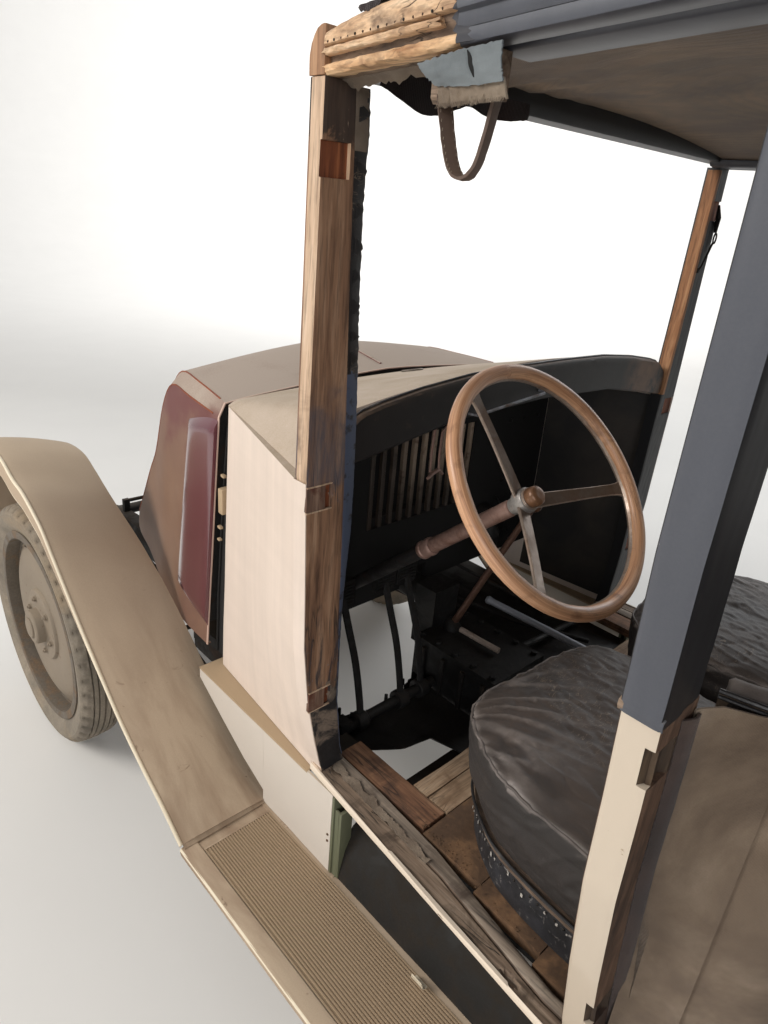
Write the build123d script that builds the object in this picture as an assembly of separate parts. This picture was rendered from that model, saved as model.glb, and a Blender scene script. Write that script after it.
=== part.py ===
from build123d import *
import os
from math import atan2, cos, degrees, hypot, radians, sin

# 1920s closed touring car, left as a half-stripped shell: no doors, no lamps,
# no windscreen. Millimetres, +X forward, +Y to the car's left, +Z up, Z = 0 on
# the ground. Sizes below are measured from the rear face of the windscreen
# pillars, and SX moves them so that X = 0 is the middle of the car's length.

# ---- driving dimensions -------------------------------------------------
WHEELBASE = 2862.0
FRONT_AXLE_X = 1096.0
REAR_AXLE_X = FRONT_AXLE_X - WHEELBASE
TRACK = 1270.0
WHEEL_Y = TRACK / 2
TYRE_R = 353.0
TYRE_W = 115.0
HUB_Z = TYRE_R
SPINDLE_R = 20.0
RUN = 0.05            # radial running clearance
KINGPIN_Y = 560.0
KINGPIN_R = 11.0
BELT_Z = 1148.0
SILL_TOP = 556.0
A_T = 30.0             # windscreen pillar, fore and aft
SILL_BOTTOM = 512.0
SILL_EDGE = 541.0      # lower edge of the sill's outer lip
ROOF_SIDE_Z = 1706.0
PILLAR_TOP = 1655.0
RAIL_Z0, RAIL_Z1 = 430.0, 510.0
DUMB_TIP_X = 1560.0
WING_R = 452.0        # rear wing's outer surface about the rear hub
WING_END_DEG = 168.0
RB_TOP = 345.0        # running board
RB_OUT, RB_IN = 727.0, 516.0
RB_FRONT = 176.0
STEER_TILT = 40.7     # wheel normal above the horizontal, degrees
STEER_C = (-224.0, 283.0, 1151.0)
STEER_R = 196.0
ARM_L = 180.0         # drop arm and the knuckle's inward arm
TIE_ARM = 150.0
LINK_Y = KINGPIN_Y - ARM_L
TIE_Z = HUB_Z - 76
HINGE = (1386.0, 542.0)   # bonnet hinge line (x, z)

X_REAR = REAR_AXLE_X + WING_R * cos(radians(WING_END_DEG))
SX = round(-(DUMB_TIP_X + X_REAR) / 2)

os.makedirs("parts", exist_ok=True)


# ---- helpers ------------------------------------------------------------
def place(pts, plane, at):
    if plane == "xz":
        return [(p[0], at, p[1]) for p in pts]
    if plane == "xy":
        return [(p[0], p[1], at) for p in pts]
    return [(at, p[0], p[1]) for p in pts]


def prism(pts, plane, a, b):
    """A flat outline swept square to its plane, from a to b."""
    w = Wire.make_polygon(place(pts, plane, a), close=True)
    d = {"xz": (0, b - a, 0), "xy": (0, 0, b - a), "yz": (b - a, 0, 0)}[plane]
    return Solid.extrude(Face(w), Vector(*d))


def box(x0, x1, y0, y1, z0, z1):
    return prism([(x0, y0), (x1, y0), (x1, y1), (x0, y1)], "xy", z0, z1)


def rod(p, q, r):
    p, q = Vector(*p), Vector(*q)
    d = q - p
    return Solid.make_cylinder(r, d.length, Plane(origin=p, z_dir=d.normalized()))


def loft(rows):
    """Straight-sided loft through closed outlines of equal point counts."""
    return Solid.make_loft([Wire.make_polygon(r, close=True) for r in rows], True)


def outline(start, *steps):
    """Closed wire: a step is a point, or a (through, end) pair for an arc."""
    edges, p = [], Vector(*start)
    for s in list(steps) + [start]:
        if isinstance(s[0], tuple):
            edges.append(Edge.make_three_point_arc(p, Vector(*s[0]), Vector(*s[1])))
            p = Vector(*s[1])
        else:
            q = Vector(*s)
            if (q - p).length > 1e-6:
                edges.append(Edge.make_line(p, q))
            p = q
    return Wire(edges)


def right(s):
    return s.mirror(Plane.XZ)


def both(*solids):
    out = []
    for s in solids:
        out += [s, right(s)]
    return out


def join(*solids):
    s = solids[0]
    return s.fuse(*solids[1:]) if len(solids) > 1 else s


def save(node, *shapes):
    flat = []
    for s in shapes:
        flat += list(s.solids()) if hasattr(s, "solids") else [s]
    c = Compound(children=[t.moved(Location((SX, 0, 0))) for t in flat])
    export_step(c, "parts/%s.step" % node)


def band(pts_outer, pts_inner, z0, z1):
    return prism(list(pts_outer) + list(reversed(pts_inner)), "xy", z0, z1)


def interp(table, v, key=0, val=1):
    t = sorted(table, key=lambda r: r[key])
    if v <= t[0][key]:
        return t[0][val]
    for a, b in zip(t, t[1:]):
        if v <= b[key]:
            return a[val] + (b[val] - a[val]) * (v - a[key]) / (b[key] - a[key])
    return t[-1][val]


# ---- chassis ------------------------------------------------------------
RAIL_OUT = [(1330, 310), (850, 310), (650, 430), (-2170, 430)]   # plan (x, y)


def strip(t0, t1, z0, z1):
    return prism([(x, y - t0) for x, y in RAIL_OUT]
                 + [(x, y - t1) for x, y in reversed(RAIL_OUT)], "xy", z0, z1)


dumb = prism([(1330, 510), (1430, 500), (1510, 480), (1552, 456), (DUMB_TIP_X, 440),
              (1545, 432), (1505, 438), (1470, 438), (1400, 446), (1330, 430)],
             "xz", 265, 310)
rail = join(strip(0, 5, RAIL_Z0, RAIL_Z1), strip(0, 45, RAIL_Z0, RAIL_Z0 + 5),
            strip(0, 45, RAIL_Z1 - 5, RAIL_Z1), dumb,
            box(1448, 1472, 259, 265, 408, 452), box(1448, 1472, 310, 316, 408, 452),
            box(720, 744, 330, 356, 396, RAIL_Z0))
save("chassis_rails", *both(rail))
tube = join(rod((1500, -265, 458), (1500, 265, 458), 18), rod((1478, 0, 458), (1522, 0, 458), 26))
tail = box(-2140, -2080, -425, 425, RAIL_Z0 + 5, RAIL_Z1 - 5)
for y in (-200, 200):
    tail = tail - rod((-2150, y, 470), (-2070, y, 470), 5.5)
save("cross_members", tube - rod((1470, 0, 458), (1530, 0, 458), 11), tail,
     box(655, 711, -400, 400, 410, 430), box(1000, 1050, -310, 310, 410, 430),
     box(-90, -30, -430, 430, 404, 430), box(-1030, -970, -390, 390, 475, 505))

# front axle: dropped beam with an eye for each kingpin
beam = prism([(-538, HUB_Z + 26), (-472, HUB_Z + 11), (-420, 335), (420, 335), (472, HUB_Z + 11),
              (538, HUB_Z + 26), (538, HUB_Z - 17), (482, HUB_Z - 35), (430, 290), (-430, 290),
              (-482, HUB_Z - 35), (-538, HUB_Z - 17)], "yz", FRONT_AXLE_X - 20, FRONT_AXLE_X + 20)
axle = beam
for y in (KINGPIN_Y, -KINGPIN_Y):
    axle = axle.fuse(rod((FRONT_AXLE_X, y, HUB_Z - 29), (FRONT_AXLE_X, y, HUB_Z + 29), 24))
for y in (KINGPIN_Y, -KINGPIN_Y):
    axle = axle - rod((FRONT_AXLE_X, y, HUB_Z - 39), (FRONT_AXLE_X, y, HUB_Z + 39), KINGPIN_R + RUN)
save("front_axle", axle)

# rear axle: tubes, differential housing and fixed spindles
save("rear_axle", join(
    rod((REAR_AXLE_X, -WHEEL_Y + 40, HUB_Z), (REAR_AXLE_X, WHEEL_Y - 40, HUB_Z), 38),
    rod((REAR_AXLE_X, -80, HUB_Z), (REAR_AXLE_X, 80, HUB_Z), 125),
    rod((REAR_AXLE_X + 70, 0, HUB_Z + 10), (REAR_AXLE_X + 175, 0, HUB_Z + 14), 62),
    rod((REAR_AXLE_X, -WHEEL_Y - 48, HUB_Z), (REAR_AXLE_X, WHEEL_Y + 48, HUB_Z), SPINDLE_R)))


# leaf springs: a lens of stacked leaves with an eye at each end
def leaf(xc, half, z0, z1, zend, ya, yb):
    w = outline((xc - half, ya, zend + 4), ((xc, ya, z1), (xc + half, ya, zend + 4)),
                (xc + half, ya, zend - 4), ((xc, ya, z0), (xc - half, ya, zend - 4)))
    s = Solid.extrude(Face(w), Vector(0, yb - ya, 0))
    return join(s, rod((xc - half, ya, zend), (xc - half, yb, zend), 14),
                rod((xc + half, ya, zend), (xc + half, yb, zend), 14))


fs = join(leaf(FRONT_AXLE_X, 364, 335, 371, 421, 268, 308),
          rod((FRONT_AXLE_X - 364, 308, 421), (FRONT_AXLE_X - 364, 330, 421), 7))
save("front_springs", *both(fs))
rs = join(leaf(REAR_AXLE_X, 385, HUB_Z + 38, HUB_Z + 78, 470, 438, 474),
          rod((REAR_AXLE_X - 385, 430, 470), (REAR_AXLE_X - 385, 438, 470), 8),
          rod((REAR_AXLE_X + 385, 430, 470), (REAR_AXLE_X + 385, 438, 470), 8))
save("rear_springs", *both(rs))

save("engine_block", box(622, 1060, -120, 120, 430, 790))
GB_Z = 494.0
save("gearbox_and_torque_tube", join(
    box(430, 622, -130, 130, 580, 700), rod((200, 0, 640), (440, 0, 645), 34),
    box(180, 245, -42, 42, 520, 684), box(-58, 186, -92, 92, 434, 585),
    rod((150, 0, GB_Z), (REAR_AXLE_X + 180, 0, HUB_Z + 14), 36)))
save("exhaust", join(
    rod((665, -160, 470), (665, -120, 470), 20), rod((665, -160, 470), (500, -215, 452), 20),
    rod((500, -215, 452), (-700, -215, 452), 20), rod((-700, -215, 452), (-920, -215, 452), 55),
    rod((-900, -215, 452), (-2060, -215, 452), 17)))

# ---- front bulkhead and radiator ---------------------------------------
BULK_X = 300.0
SLAT_Y, SLAT_Z0, SLAT_Z1, SLAT_PITCH = 165.0, 836.0, 1048.0, 33.0
bulk = prism([(-484, 640), (484, 640), (485, 740), (485, 850), (482, 1000), (479, 1120),
              (-479, 1120), (-482, 1000), (-485, 850), (-485, 740)], "yz", BULK_X, BULK_X + 10)
bulk = bulk - box(BULK_X - 5, BULK_X + 15, -175, 175, SLAT_Z0, SLAT_Z1)
bulk = bulk - box(BULK_X - 5, BULK_X + 15, 252, 314, 655, 745)
bulk = bulk - box(BULK_X - 5, BULK_X + 15, -46, 46, 600, 690)
save("bulkhead", bulk)
core = join(box(336, 402, -240, 240, 700, 1060),
            box(BULK_X + 10.5, 336, -174, 174, SLAT_Z1 - 22, SLAT_Z1 + 10),
            box(BULK_X + 10.5, 336, -174, 174, SLAT_Z0 - 10, SLAT_Z0 + 22),
            *[box(BULK_X, BULK_X + 12, -SLAT_Y + i * SLAT_PITCH - 6, -SLAT_Y + i * SLAT_PITCH + 6,
                  SLAT_Z0 + 1, SLAT_Z1 - 1) for i in range(11)])
save("radiator", core)

# ---- steering column, pedals -------------------------------------------
TC, TS = cos(radians(STEER_TILT)), sin(radians(STEER_TILT))


def on_column(s, y=STEER_C[1]):
    """Point s mm down the column from the steering wheel's centre."""
    return (STEER_C[0] + s * TC, y, STEER_C[2] - s * TS)


COL_END = 1030.0
save("steering_column", join(
    rod(on_column(88), on_column(COL_END), 14), rod(on_column(88), on_column(310), 14.5),
    rod(on_column(300), on_column(330), 18),
    box(545, 640, 250, 310, 436, 512)) - rod((600, 300, 470), (600, 330, 470), 12 + RUN))
PED_X, PED_Z = 105.0, 505.0
peds = [rod((PED_X, 110, PED_Z), (PED_X, 384.5, PED_Z), 12), box(PED_X - 15, PED_X + 15, 372, 400, 510, 532)]
for y in (150.0, 215.0, 335.0):
    peds += [rod((PED_X, y - 13, PED_Z), (PED_X, y + 13, PED_Z), 22), rod((PED_X, y, PED_Z), (190, y, 778), 8),
             box(180, 196, y - 30, y + 30, 748, 812)]
brake = join(rod((121, -89, 650), (-150, -218, 570), 9), box(-176, -134, -232, -204, 557, 582))
lever = join(rod((150, 0, 585), (150, 0, 606), 20), rod((149, 0, 597), (-14, 0, 968), 8),
             rod((-13, 0, 966), (-24, 0, 990), 17))
save("pedals_and_levers", join(*peds), lever, brake)

# ---- front wings --------------------------------------------------------
# x out, z out (bead at y = 727), x in, z in (edge at y = 500), skirt depth
WING = [
    (1535, 540, 1520, 500, 70),
    (1505, 655, 1492, 610, 75),
    (1440, 750, 1430, 705, 72),
    (1360, 822, 1352, 776, 68),
    (1270, 868, 1268, 822, 64),
    (1180, 888, 1180, 838, 60),
    (1100, 890, 1100, 836, 58),
    (1035, 881, 1040, 812, 56),
    (971, 855, 975, 782, 54),
    (905, 842, 892, 746, 50),
    (846, 818, 830, 722, 46),
    (791, 789, 770, 697, 40),
    (742, 746, 715, 668, 34),
    (695, 704, 668, 643, 28),
    (602, 622, 583, 588, 20),
    (511, 549, 493, 521, 16),
    (422, 484, 405, 459, 14),
    (335, 435, 320, 402, 14),
    (251, 395, 245, 364, 14),
    (RB_FRONT, 352, RB_FRONT, 346, 14),
]
WING_T = 6.0
WING_IN = 500.0
STAY_X = 1488.0


def profile(ix, iz, t):
    pts = [(r[ix], r[iz]) for r in WING]
    low = []
    for i, (x, z) in enumerate(pts):
        a, b = pts[max(i - 1, 0)], pts[min(i + 1, len(pts) - 1)]
        dx, dz = b[0] - a[0], b[1] - a[1]
        n = hypot(dx, dz)
        dd = t if not isinstance(t, str) else WING[i][4]
        low.append((x - dz / n * dd * -1 * -1, z + dx / n * dd))
    return pts, low


def wing_side():
    top_o, low_o = profile(0, 1, WING_T)
    top_i, low_i = profile(2, 3, WING_T)
    ring_o = [(x, RB_OUT - 6, z) for x, z in top_o + low_o[::-1]]
    ring_i = [(x, WING_IN, z) for x, z in top_i + low_i[::-1]]
    sheet = loft([ring_i, ring_o])
    _, deep = profile(0, 1, "skirt")
    skirt = prism(top_o + deep[::-1], "xz", RB_OUT - 6, RB_OUT)
    stay = [rod((STAY_X, 310, 462), (STAY_X, 344, 462), 12), rod((STAY_X, 332, 462), (STAY_X, 530, 608), 9)]
    return join(sheet, skirt, *stay)


save("front_wings", *both(wing_side()))

# ---- running boards and valances ---------------------------------------
RB_REAR = REAR_AXLE_X + WING_R + 4
board = join(box(RB_REAR, RB_FRONT, RB_IN, RB_OUT, RB_TOP - 22, RB_TOP),
             *[join(box(x - 25, x + 25, 430, RB_IN + 150, RB_TOP - 52, RB_TOP - 22),
                    box(x - 25, x + 25, 430, 442, RB_TOP - 52, RAIL_Z1 - 10)) for x in (60, -1150)])
save("running_boards", *both(board))
valance = join(box(-45, 176, 529, 535, RB_TOP + 1, 540),
               prism([(176, RB_TOP + 31), (176, 540), (432, 540), (432, 512), (335, 455), (251, 408)],
                     "xz", 529, 535),
               box(A_T + 1, 432, 470, 535, 534, 540), box(-62, -45, 505, 535, RB_TOP + 1, 509))
save("valances", *both(valance))

# ---- scuttle ------------------------------------------------------------
SCUTTLE_FRONT = 412.0
# z, y at the front edge, y at the pillar
SIDE = [(1142, 464, 582), (1040, 468, 579), (943, 472, 576), (848, 476, 574),
        (740, 480, 563), (642, 485, 544), (560, 488, 524)]
SKIN = 16.0


def side_ring(x, col):
    o = [(x, r[col], r[0]) for r in SIDE]
    i = [(x, r[col] - SKIN, r[0]) for r in reversed(SIDE)]
    return o + i


save("scuttle_sides", *both(loft([side_ring(SCUTTLE_FRONT, 1), side_ring(A_T + 1, 2)])))


def top_ring(x, yc, zc, ys, zs, crown, t=SKIN):
    return outline((x, yc, zc), (x, ys, zs), ((x, 0, crown), (x, -ys, zs)), (x, -yc, zc),
                   (x, -yc + t, zc), (x, -ys + t, zs - t),
                   ((x, 0, crown - t), (x, ys - t, zs - t)), (x, yc - t, zc))


top = Solid.make_loft([top_ring(SCUTTLE_FRONT, 463, 1142.5, 448, 1150, 1166),
                       top_ring(A_T + 1, 566, 1142.5, 478, 1231, 1269)], True)
top = top - rod((350, 20, 1100), (350, 20, 1300), 20)
save("scuttle_top", top)

# dash rail: arched top, (y, z top)
DASH = [(505, 1208), (475, 1231), (429, 1241), (341, 1254), (217, 1265), (74, 1268)]
d_top = [(y, z) for y, z in DASH] + [(-y, z) for y, z in reversed(DASH)]
save("dash_rail", prism(d_top + [(-505, 1150), (-250, 1190), (0, 1198), (250, 1190), (505, 1150)],
                        "yz", 4, 28))

# ---- sills and floor ----------------------------------------------------
sill_o = [(A_T, 528), (0, 531), (-557, 575), (-1240, 580)]
sill_i = [(A_T, 470), (-20, 475), (-513, 524), (-1240, 524)]
save("sills", *both(join(band(sill_o, sill_i, SILL_EDGE, SILL_TOP),
                         band([(x, y - 26) for x, y in sill_o], sill_i, SILL_BOTTOM, SILL_EDGE))))
FLOOR_Z0, FLOOR_Z1 = 532.0, 556.0
half_floor = [(-125, 412), (20, 412), (20, 464), (-180, 464), (-510, 508), (-1235, 516), (-1235, 470), (-1868, 470)]
floor = prism(half_floor + [(x, -y) for x, y in reversed(half_floor)], "xy", FLOOR_Z0, FLOOR_Z1)
save("floor_boards", join(floor, *[box(x - 25, x + 25, -450, 450, RAIL_Z1, FLOOR_Z0)
                                   for x in (-230, -680, -1180, -1840)]))

# ---- pillars ------------------------------------------------------------
A_OUT = [(575, PILLAR_TOP), (582, 1149), (576, 943), (574, 848), (563, 740), (544, 642), (524, SILL_TOP)]
A_IN = [(526, PILLAR_TOP), (519, 1400), (509, 1133), (504, 918), (497, 708), (483, 596), (472, SILL_TOP)]
a_post = prism(A_OUT + A_IN[::-1], "yz", 0, A_T)
for z, y in ((1568.5, 532), (1115, 534), (733, 516)):
    a_post = a_post - box(-1, 5, y, 620, z - 20.5, z + 20.5)
    for dz in (-10, 10):
        a_post = a_post - rod((0, y + 20, z + dz), (20, y + 20, z + dz), 2.5)
save("a_pillars", *both(a_post))
B_OUT = [(686, PILLAR_TOP), (684, 1300), (673, 1151), (662, 1042), (654, 924), (629, 776), (600, 640),
         (575, SILL_TOP)]


def post(table, depth, x0, x1):
    return prism(table + [(y - depth, z) for y, z in reversed(table)], "yz", x0, x1)


b_post = post(B_OUT, 70, -595, -557)
for z in (1590, 1100, 700):
    b_post = b_post - box(-600, -590, interp([(z1, y1) for y1, z1 in B_OUT], z) - 30, 720, z - 22, z + 22)
c_post = post([(y + 5, z) for y, z in B_OUT], 70, -1240, -1200)
save("door_pillars", *both(b_post, c_post))

# ---- roof ---------------------------------------------------------------
CANT_O = [(A_T, 574), (-576, 688), (-1240, 692)]
CANT_I = [(A_T, 524), (-60, 530), (-576, 622), (-1240, 626)]


def crown(x0, x1, w, z, c, t):
    w0 = outline((x0, -w, z), ((x0, 0, z + c), (x0, w, z)), (x0, w, z + t),
                 ((x0, 0, z + c + t), (x0, -w, z + t)))
    return Solid.extrude(Face(w0), Vector(x1 - x0, 0, 0))


cant = band(CANT_O, CANT_I, PILLAR_TOP, ROOF_SIDE_Z)
header = Solid.extrude(Face(outline((-12, -526, 1662), (-12, 526, 1662), (-12, 526, 1699),
                                    ((-12, 0, 1738), (-12, -526, 1699)))), Vector(A_T + 12, 0, 0))
frame_top = join(cant, right(cant), header)
nose = prism([(8, ROOF_SIDE_Z + 1), (22, ROOF_SIDE_Z - 8), (31, ROOF_SIDE_Z - 22), (40, ROOF_SIDE_Z + 1)], "xz", 526, 600)
save("roof_frame", frame_top - nose - right(nose))

# x, half-width, crown
ROOF = [(22, 505, 42), (-170, 548, 46), (-330, 626, 52), (-576, 690, 58), (-1240, 696, 58), (-1780, 646, 52),
        (-1920, 590, 46), (-1995, 500, 38)]


def roof_ring(x, w, c, z, t):
    return outline((x, -w, z), ((x, 0, z + c), (x, w, z)), (x, w, z + t), ((x, 0, z + c + t), (x, -w, z + t)))


save("roof_panel", Solid.make_loft([roof_ring(x, w, c, ROOF_SIDE_Z + 0.2, 12) for x, w, c in ROOF], True))
LINING = [(-16, 512, 28), (-576, 618, 42), (-1240, 622, 42), (-1780, 600, 38), (-1900, 520, 34)]
save("headlining", Solid.make_loft([roof_ring(x, w, c, 1668, 5) for x, w, c in LINING], True))

# ---- rear body ----------------------------------------------------------
# plan of the outer face at the belt, (x, y), left side then round the back
REAR = [(-1241, 680), (-1780, 640), (-1895, 600), (-1965, 535), (-1988, 440)]
REAR_T = 24.0


def rear_ring(z, dx, dy, t):
    o = [(x + dx * (i > 2), y - dy) for i, (x, y) in enumerate(REAR)]
    k = [(0, t), (t * 0.08, t), (t * 0.5, t * 0.86), (t * 0.86, t * 0.5), (t, 0)]
    inn = [(o[i][0] + k[i][0], o[i][1] - k[i][1]) for i in range(5)]
    ring = o + [(x, -y) for x, y in reversed(o)] + [(x, -y) for x, y in inn] + list(reversed(inn))
    return [(x, y, z) for x, y in ring]


low = loft([rear_ring(BELT_Z, 0, 0, REAR_T), rear_ring(943, 6, 8, REAR_T), rear_ring(776, 20, 34, REAR_T),
            rear_ring(640, 38, 66, REAR_T), rear_ring(541, 55, 98, REAR_T)])
for y0, y1 in ((478, 800), (-800, -478)):
    low = low - rod((REAR_AXLE_X, y0, HUB_Z), (REAR_AXLE_X, y1, HUB_Z), WING_R + 6)
low = low - box(-2300, REAR_AXLE_X, 478, 800, 400, 600) - box(-2300, REAR_AXLE_X, -800, -478, 400, 600)
save("rear_lower_panels", low.solids().sort_by(SortBy.VOLUME)[-1])
up = loft([rear_ring(BELT_Z + 0.5, 0, -6, REAR_T), rear_ring(ROOF_SIDE_Z, 22, -12, REAR_T)])
up = up - box(-2100, -1900, -230, 230, 1290, 1530)
save("rear_upper_panels", up)

# rear wings: an arched strip about the hub, and a flat wheelhouse wall
def arc_pts(r, a, y):
    return (REAR_AXLE_X + r * cos(radians(a)), y, HUB_Z + r * sin(radians(a)))


def arch(r0, r1, a0, a1, ya, yb):
    am = (a0 + a1) / 2
    w = outline(arc_pts(r1, a0, ya), (arc_pts(r1, am, ya), arc_pts(r1, a1, ya)), arc_pts(r0, a1, ya),
                (arc_pts(r0, am, ya), arc_pts(r0, a0, ya)))
    return Solid.extrude(Face(w), Vector(0, yb - ya, 0))


house = outline(arc_pts(WING_R, 25, 486), (arc_pts(WING_R, 95, 486), arc_pts(WING_R, 165, 486)))
rw = join(arch(WING_R - 6, WING_R, -2, WING_END_DEG, 486, RB_OUT),
          arch(WING_R - 46, WING_R, -2, WING_END_DEG, RB_OUT - 6, RB_OUT),
          Solid.extrude(Face(house), Vector(0, -6, 0)))
save("rear_wings", *both(rw))

# ---- seats --------------------------------------------------------------
SEAT_Y = 292.0
tub_o = [(-600, 566), (-655, 550), (-720, 512), (-766, 445), (-784, 350)]
tub_i = [(-600, 526), (-640, 513), (-692, 480), (-728, 425), (-744, 350)]


def mir(pts):
    return [(x, 2 * SEAT_Y - y) for x, y in reversed(pts)]


tub = prism(tub_o + mir(tub_o) + list(reversed(tub_i + mir(tub_i))), "xy", SILL_TOP + 1, 1150)
save("front_seat_backs", *both(tub))
cush = [(-256, 52), (-203, 300), (-204, 384), (-229, 427), (-285, 469), (-345, 497), (-433, 511), (-556, 518),
        (-600, 518), (-636, 506), (-686, 474), (-720, 421), (-736, 350), (-736, 234), (-720, 163),
        (-686, 110), (-636, 78), (-590, 62)]
CUSH_Z0, CUSH_Z1 = 640.0, 800.0


def inset(f, z):
    cx, cy = -460, SEAT_Y
    return [(cx + (x - cx) * f, cy + (y - cy) * f, z) for x, y in cush]


save("front_seat_cushions", *both(loft([inset(0.9, CUSH_Z0), inset(0.98, 715), inset(1.0, 775),
                                        inset(0.985, CUSH_Z1)])))
base = [(-460 + (x + 460) * 0.87, SEAT_Y + (y - SEAT_Y) * 0.82) for x, y in cush]
rear_base = box(-1840, -1350, -455, 455, SILL_TOP + 0.5, 690)
save("seat_bases", *both(prism(base, "xy", SILL_TOP + 0.5, CUSH_Z0 - 0.3)), rear_base)
save("rear_seat_cushion", prism([(-1310, 690.5), (-1310, 820), (-1345, 845), (-1790, 815), (-1790, 690.5)],
                                "xz", -464, 464))
save("rear_seat_back", prism([(-1792, 700), (-1792, 860), (-1850, 1288), (-1920, 1288), (-1880, 700)],
                             "xz", -440, 440))

# grab strap: a loop under a patch on the left cantrail
loop_o = [(-219, 1614.5), (-233, 1574), (-244, 1549), (-254, 1545), (-264, 1549), (-274, 1584), (-281, 1614.5)]
loop_i = [(-223, 1614.5), (-237, 1576), (-246, 1553), (-254, 1549.5), (-261, 1553), (-270, 1585), (-277, 1614.5)]
save("grab_strap", join(prism(loop_o + loop_i[::-1], "xz", 592, 606),
                        prism([(-302, 588), (-192, 588), (-192, 612), (-302, 633)], "xy", 1614, 1654.8)))

# ---- moving pieces ------------------------------------------------------
# bonnet: x, then (y, z) of the lower edge, of the side's top and of the crease, then the crown's z
BONNET = [
    (450, 503, 578, 462, 1108, 447, 1136, 1166),
    (600, 490, 566, 446, 1114, 420, 1142, 1190),
    (720, 460, 560, 424, 1110, 398, 1138, 1184),
    (800, 440, 557, 410, 1040, 384, 1074, 1146),
    (911, 405, 555, 382, 887, 352, 930, 1040),
    (1000, 379, 553, 362, 795, 330, 835, 944),
    (1161, 335, 551, 330, 604, 296, 650, 762),
    (1290, 266, 551, 260, 580, 230, 602, 664),
    (1370, 176, 551, 172, 566, 150, 574, 604),
]


def bonnet_ring(r, t):
    x, yl, zl, ys, zs, yc, zc, zr = r
    half = [(yl - t, zl - (1 if t else 0)), (ys - t, zs - t * 0.4), (yc - t * 0.8, zc - t * 0.8)]
    return ([(x, y, z) for y, z in half] + [(x, 0, zr - t)] + [(x, -y, z) for y, z in reversed(half)])


hood = loft([bonnet_ring(r, 0) for r in BONNET])
inner = [(BONNET[0][0] - 5,) + BONNET[0][1:]] + BONNET[1:-1] + [(1358,) + BONNET[-1][1:]]
hood = hood - loft([bonnet_ring(r, 12) for r in inner])
# raised band down each side at the rear: x, y low, z low, y high, z high
BAND = [(450, 503, 606, 463, 1102), (596, 487, 620, 447, 1056)]


def band_ring(x, y0, z0, y1, z1):
    return [(x, y0 - 8, z0), (x, y0 + 10, z0), (x, y1 + 10, z1), (x, y1 - 8, z1)]


hood = join(hood, *both(loft([band_ring(*r) for r in BAND])))
hx, hz = HINGE
for y in (60, -100):
    hood = join(hood, rod((hx, y, hz), (hx, y + 40, hz), 12), box(hx - 24, hx, y, y + 40, hz + 6.5, hz + 12))
hood = hood - rod((hx, -300, hz), (hx, 300, hz), 6 + RUN)
save("bonnet", hood)
post_xz = [(hx - 8, 505.3), (hx + 8, 503.7), (hx + 8, hz + 6), (hx - 8, hz + 6)]
save("bonnet_hinge_bar", join(rod((hx, -288, hz), (hx, 288, hz), 6), prism(post_xz, "xz", 268, 288),
                              prism(post_xz, "xz", -288, -268)))

steer = Plane(origin=STEER_C, z_dir=(-TC, 0, TS), x_dir=(TS, 0, TC))
save("steering_wheel_rim", steer.location * Torus(STEER_R, 12))
# recessed hub; three flat spokes rise from it to the rim
hub = Solid.make_cylinder(23, 34, Plane(origin=(0, 0, -86))).fuse(Solid.make_cylinder(16, 24, Plane(origin=(0, 0, -53))))
SPOKE_DROP, SPOKE_LEN = 64.0, 179.0
spoke_tilt = -degrees(atan2(SPOKE_DROP - 5, SPOKE_LEN))
spokes = [Solid.make_box(SPOKE_LEN, 23, 6, Plane(origin=(13, -11.5, -3))).rotate(Axis.Y, spoke_tilt)
          .moved(Location((0, 0, -SPOKE_DROP))).rotate(Axis.Z, a) for a in (23, 140, 258)]
spider = hub.fuse(*spokes)
spider = steer.location * spider
save("steering_wheel_spider", spider)

# drop arm, drag link, tie rod
DROP = (600.0, 470.0)
PIN_Z = DROP[1] - ARM_L
AY0, AY1 = LINK_Y - 29, LINK_Y - 13
arm = join(rod((DROP[0], AY0, DROP[1]), (DROP[0], AY1, DROP[1]), 24),
           box(DROP[0] - 13, DROP[0] + 13, AY0, AY1, PIN_Z, DROP[1]),
           rod((DROP[0], AY0, PIN_Z), (DROP[0], AY1, PIN_Z), 18),
           rod((DROP[0], AY1, PIN_Z), (DROP[0], LINK_Y + 13, PIN_Z), 7),
           rod((DROP[0], 304, DROP[1]), (DROP[0], AY0, DROP[1]), 12))
save("drop_arm", arm)
EYE_Z = HUB_Z + 77
lk = join(rod((DROP[0], LINK_Y - 10, PIN_Z), (DROP[0], LINK_Y + 10, PIN_Z), 17),
          rod((DROP[0] + 8, LINK_Y, PIN_Z + 2), (FRONT_AXLE_X - 6, LINK_Y, EYE_Z), 8),
          rod((FRONT_AXLE_X, LINK_Y, EYE_Z - 8), (FRONT_AXLE_X, LINK_Y, EYE_Z + 10), 15))
lk = lk - rod((DROP[0], LINK_Y - 20, PIN_Z), (DROP[0], LINK_Y + 20, PIN_Z), 7 + RUN)
save("drag_link", lk)
TIE_X = FRONT_AXLE_X - TIE_ARM
tie = rod((TIE_X, -KINGPIN_Y + 12, TIE_Z), (TIE_X, KINGPIN_Y - 12, TIE_Z), 8)
for y, rr in ((KINGPIN_Y, 6 + RUN), (-KINGPIN_Y, 8)):
    tie = tie.fuse(rod((TIE_X, y, TIE_Z - 10), (TIE_X, y, TIE_Z + 8), 15))
    tie = tie - rod((TIE_X, y, TIE_Z - 23), (TIE_X, y, TIE_Z + 17), rr)
save("tie_rod", tie)


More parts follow.
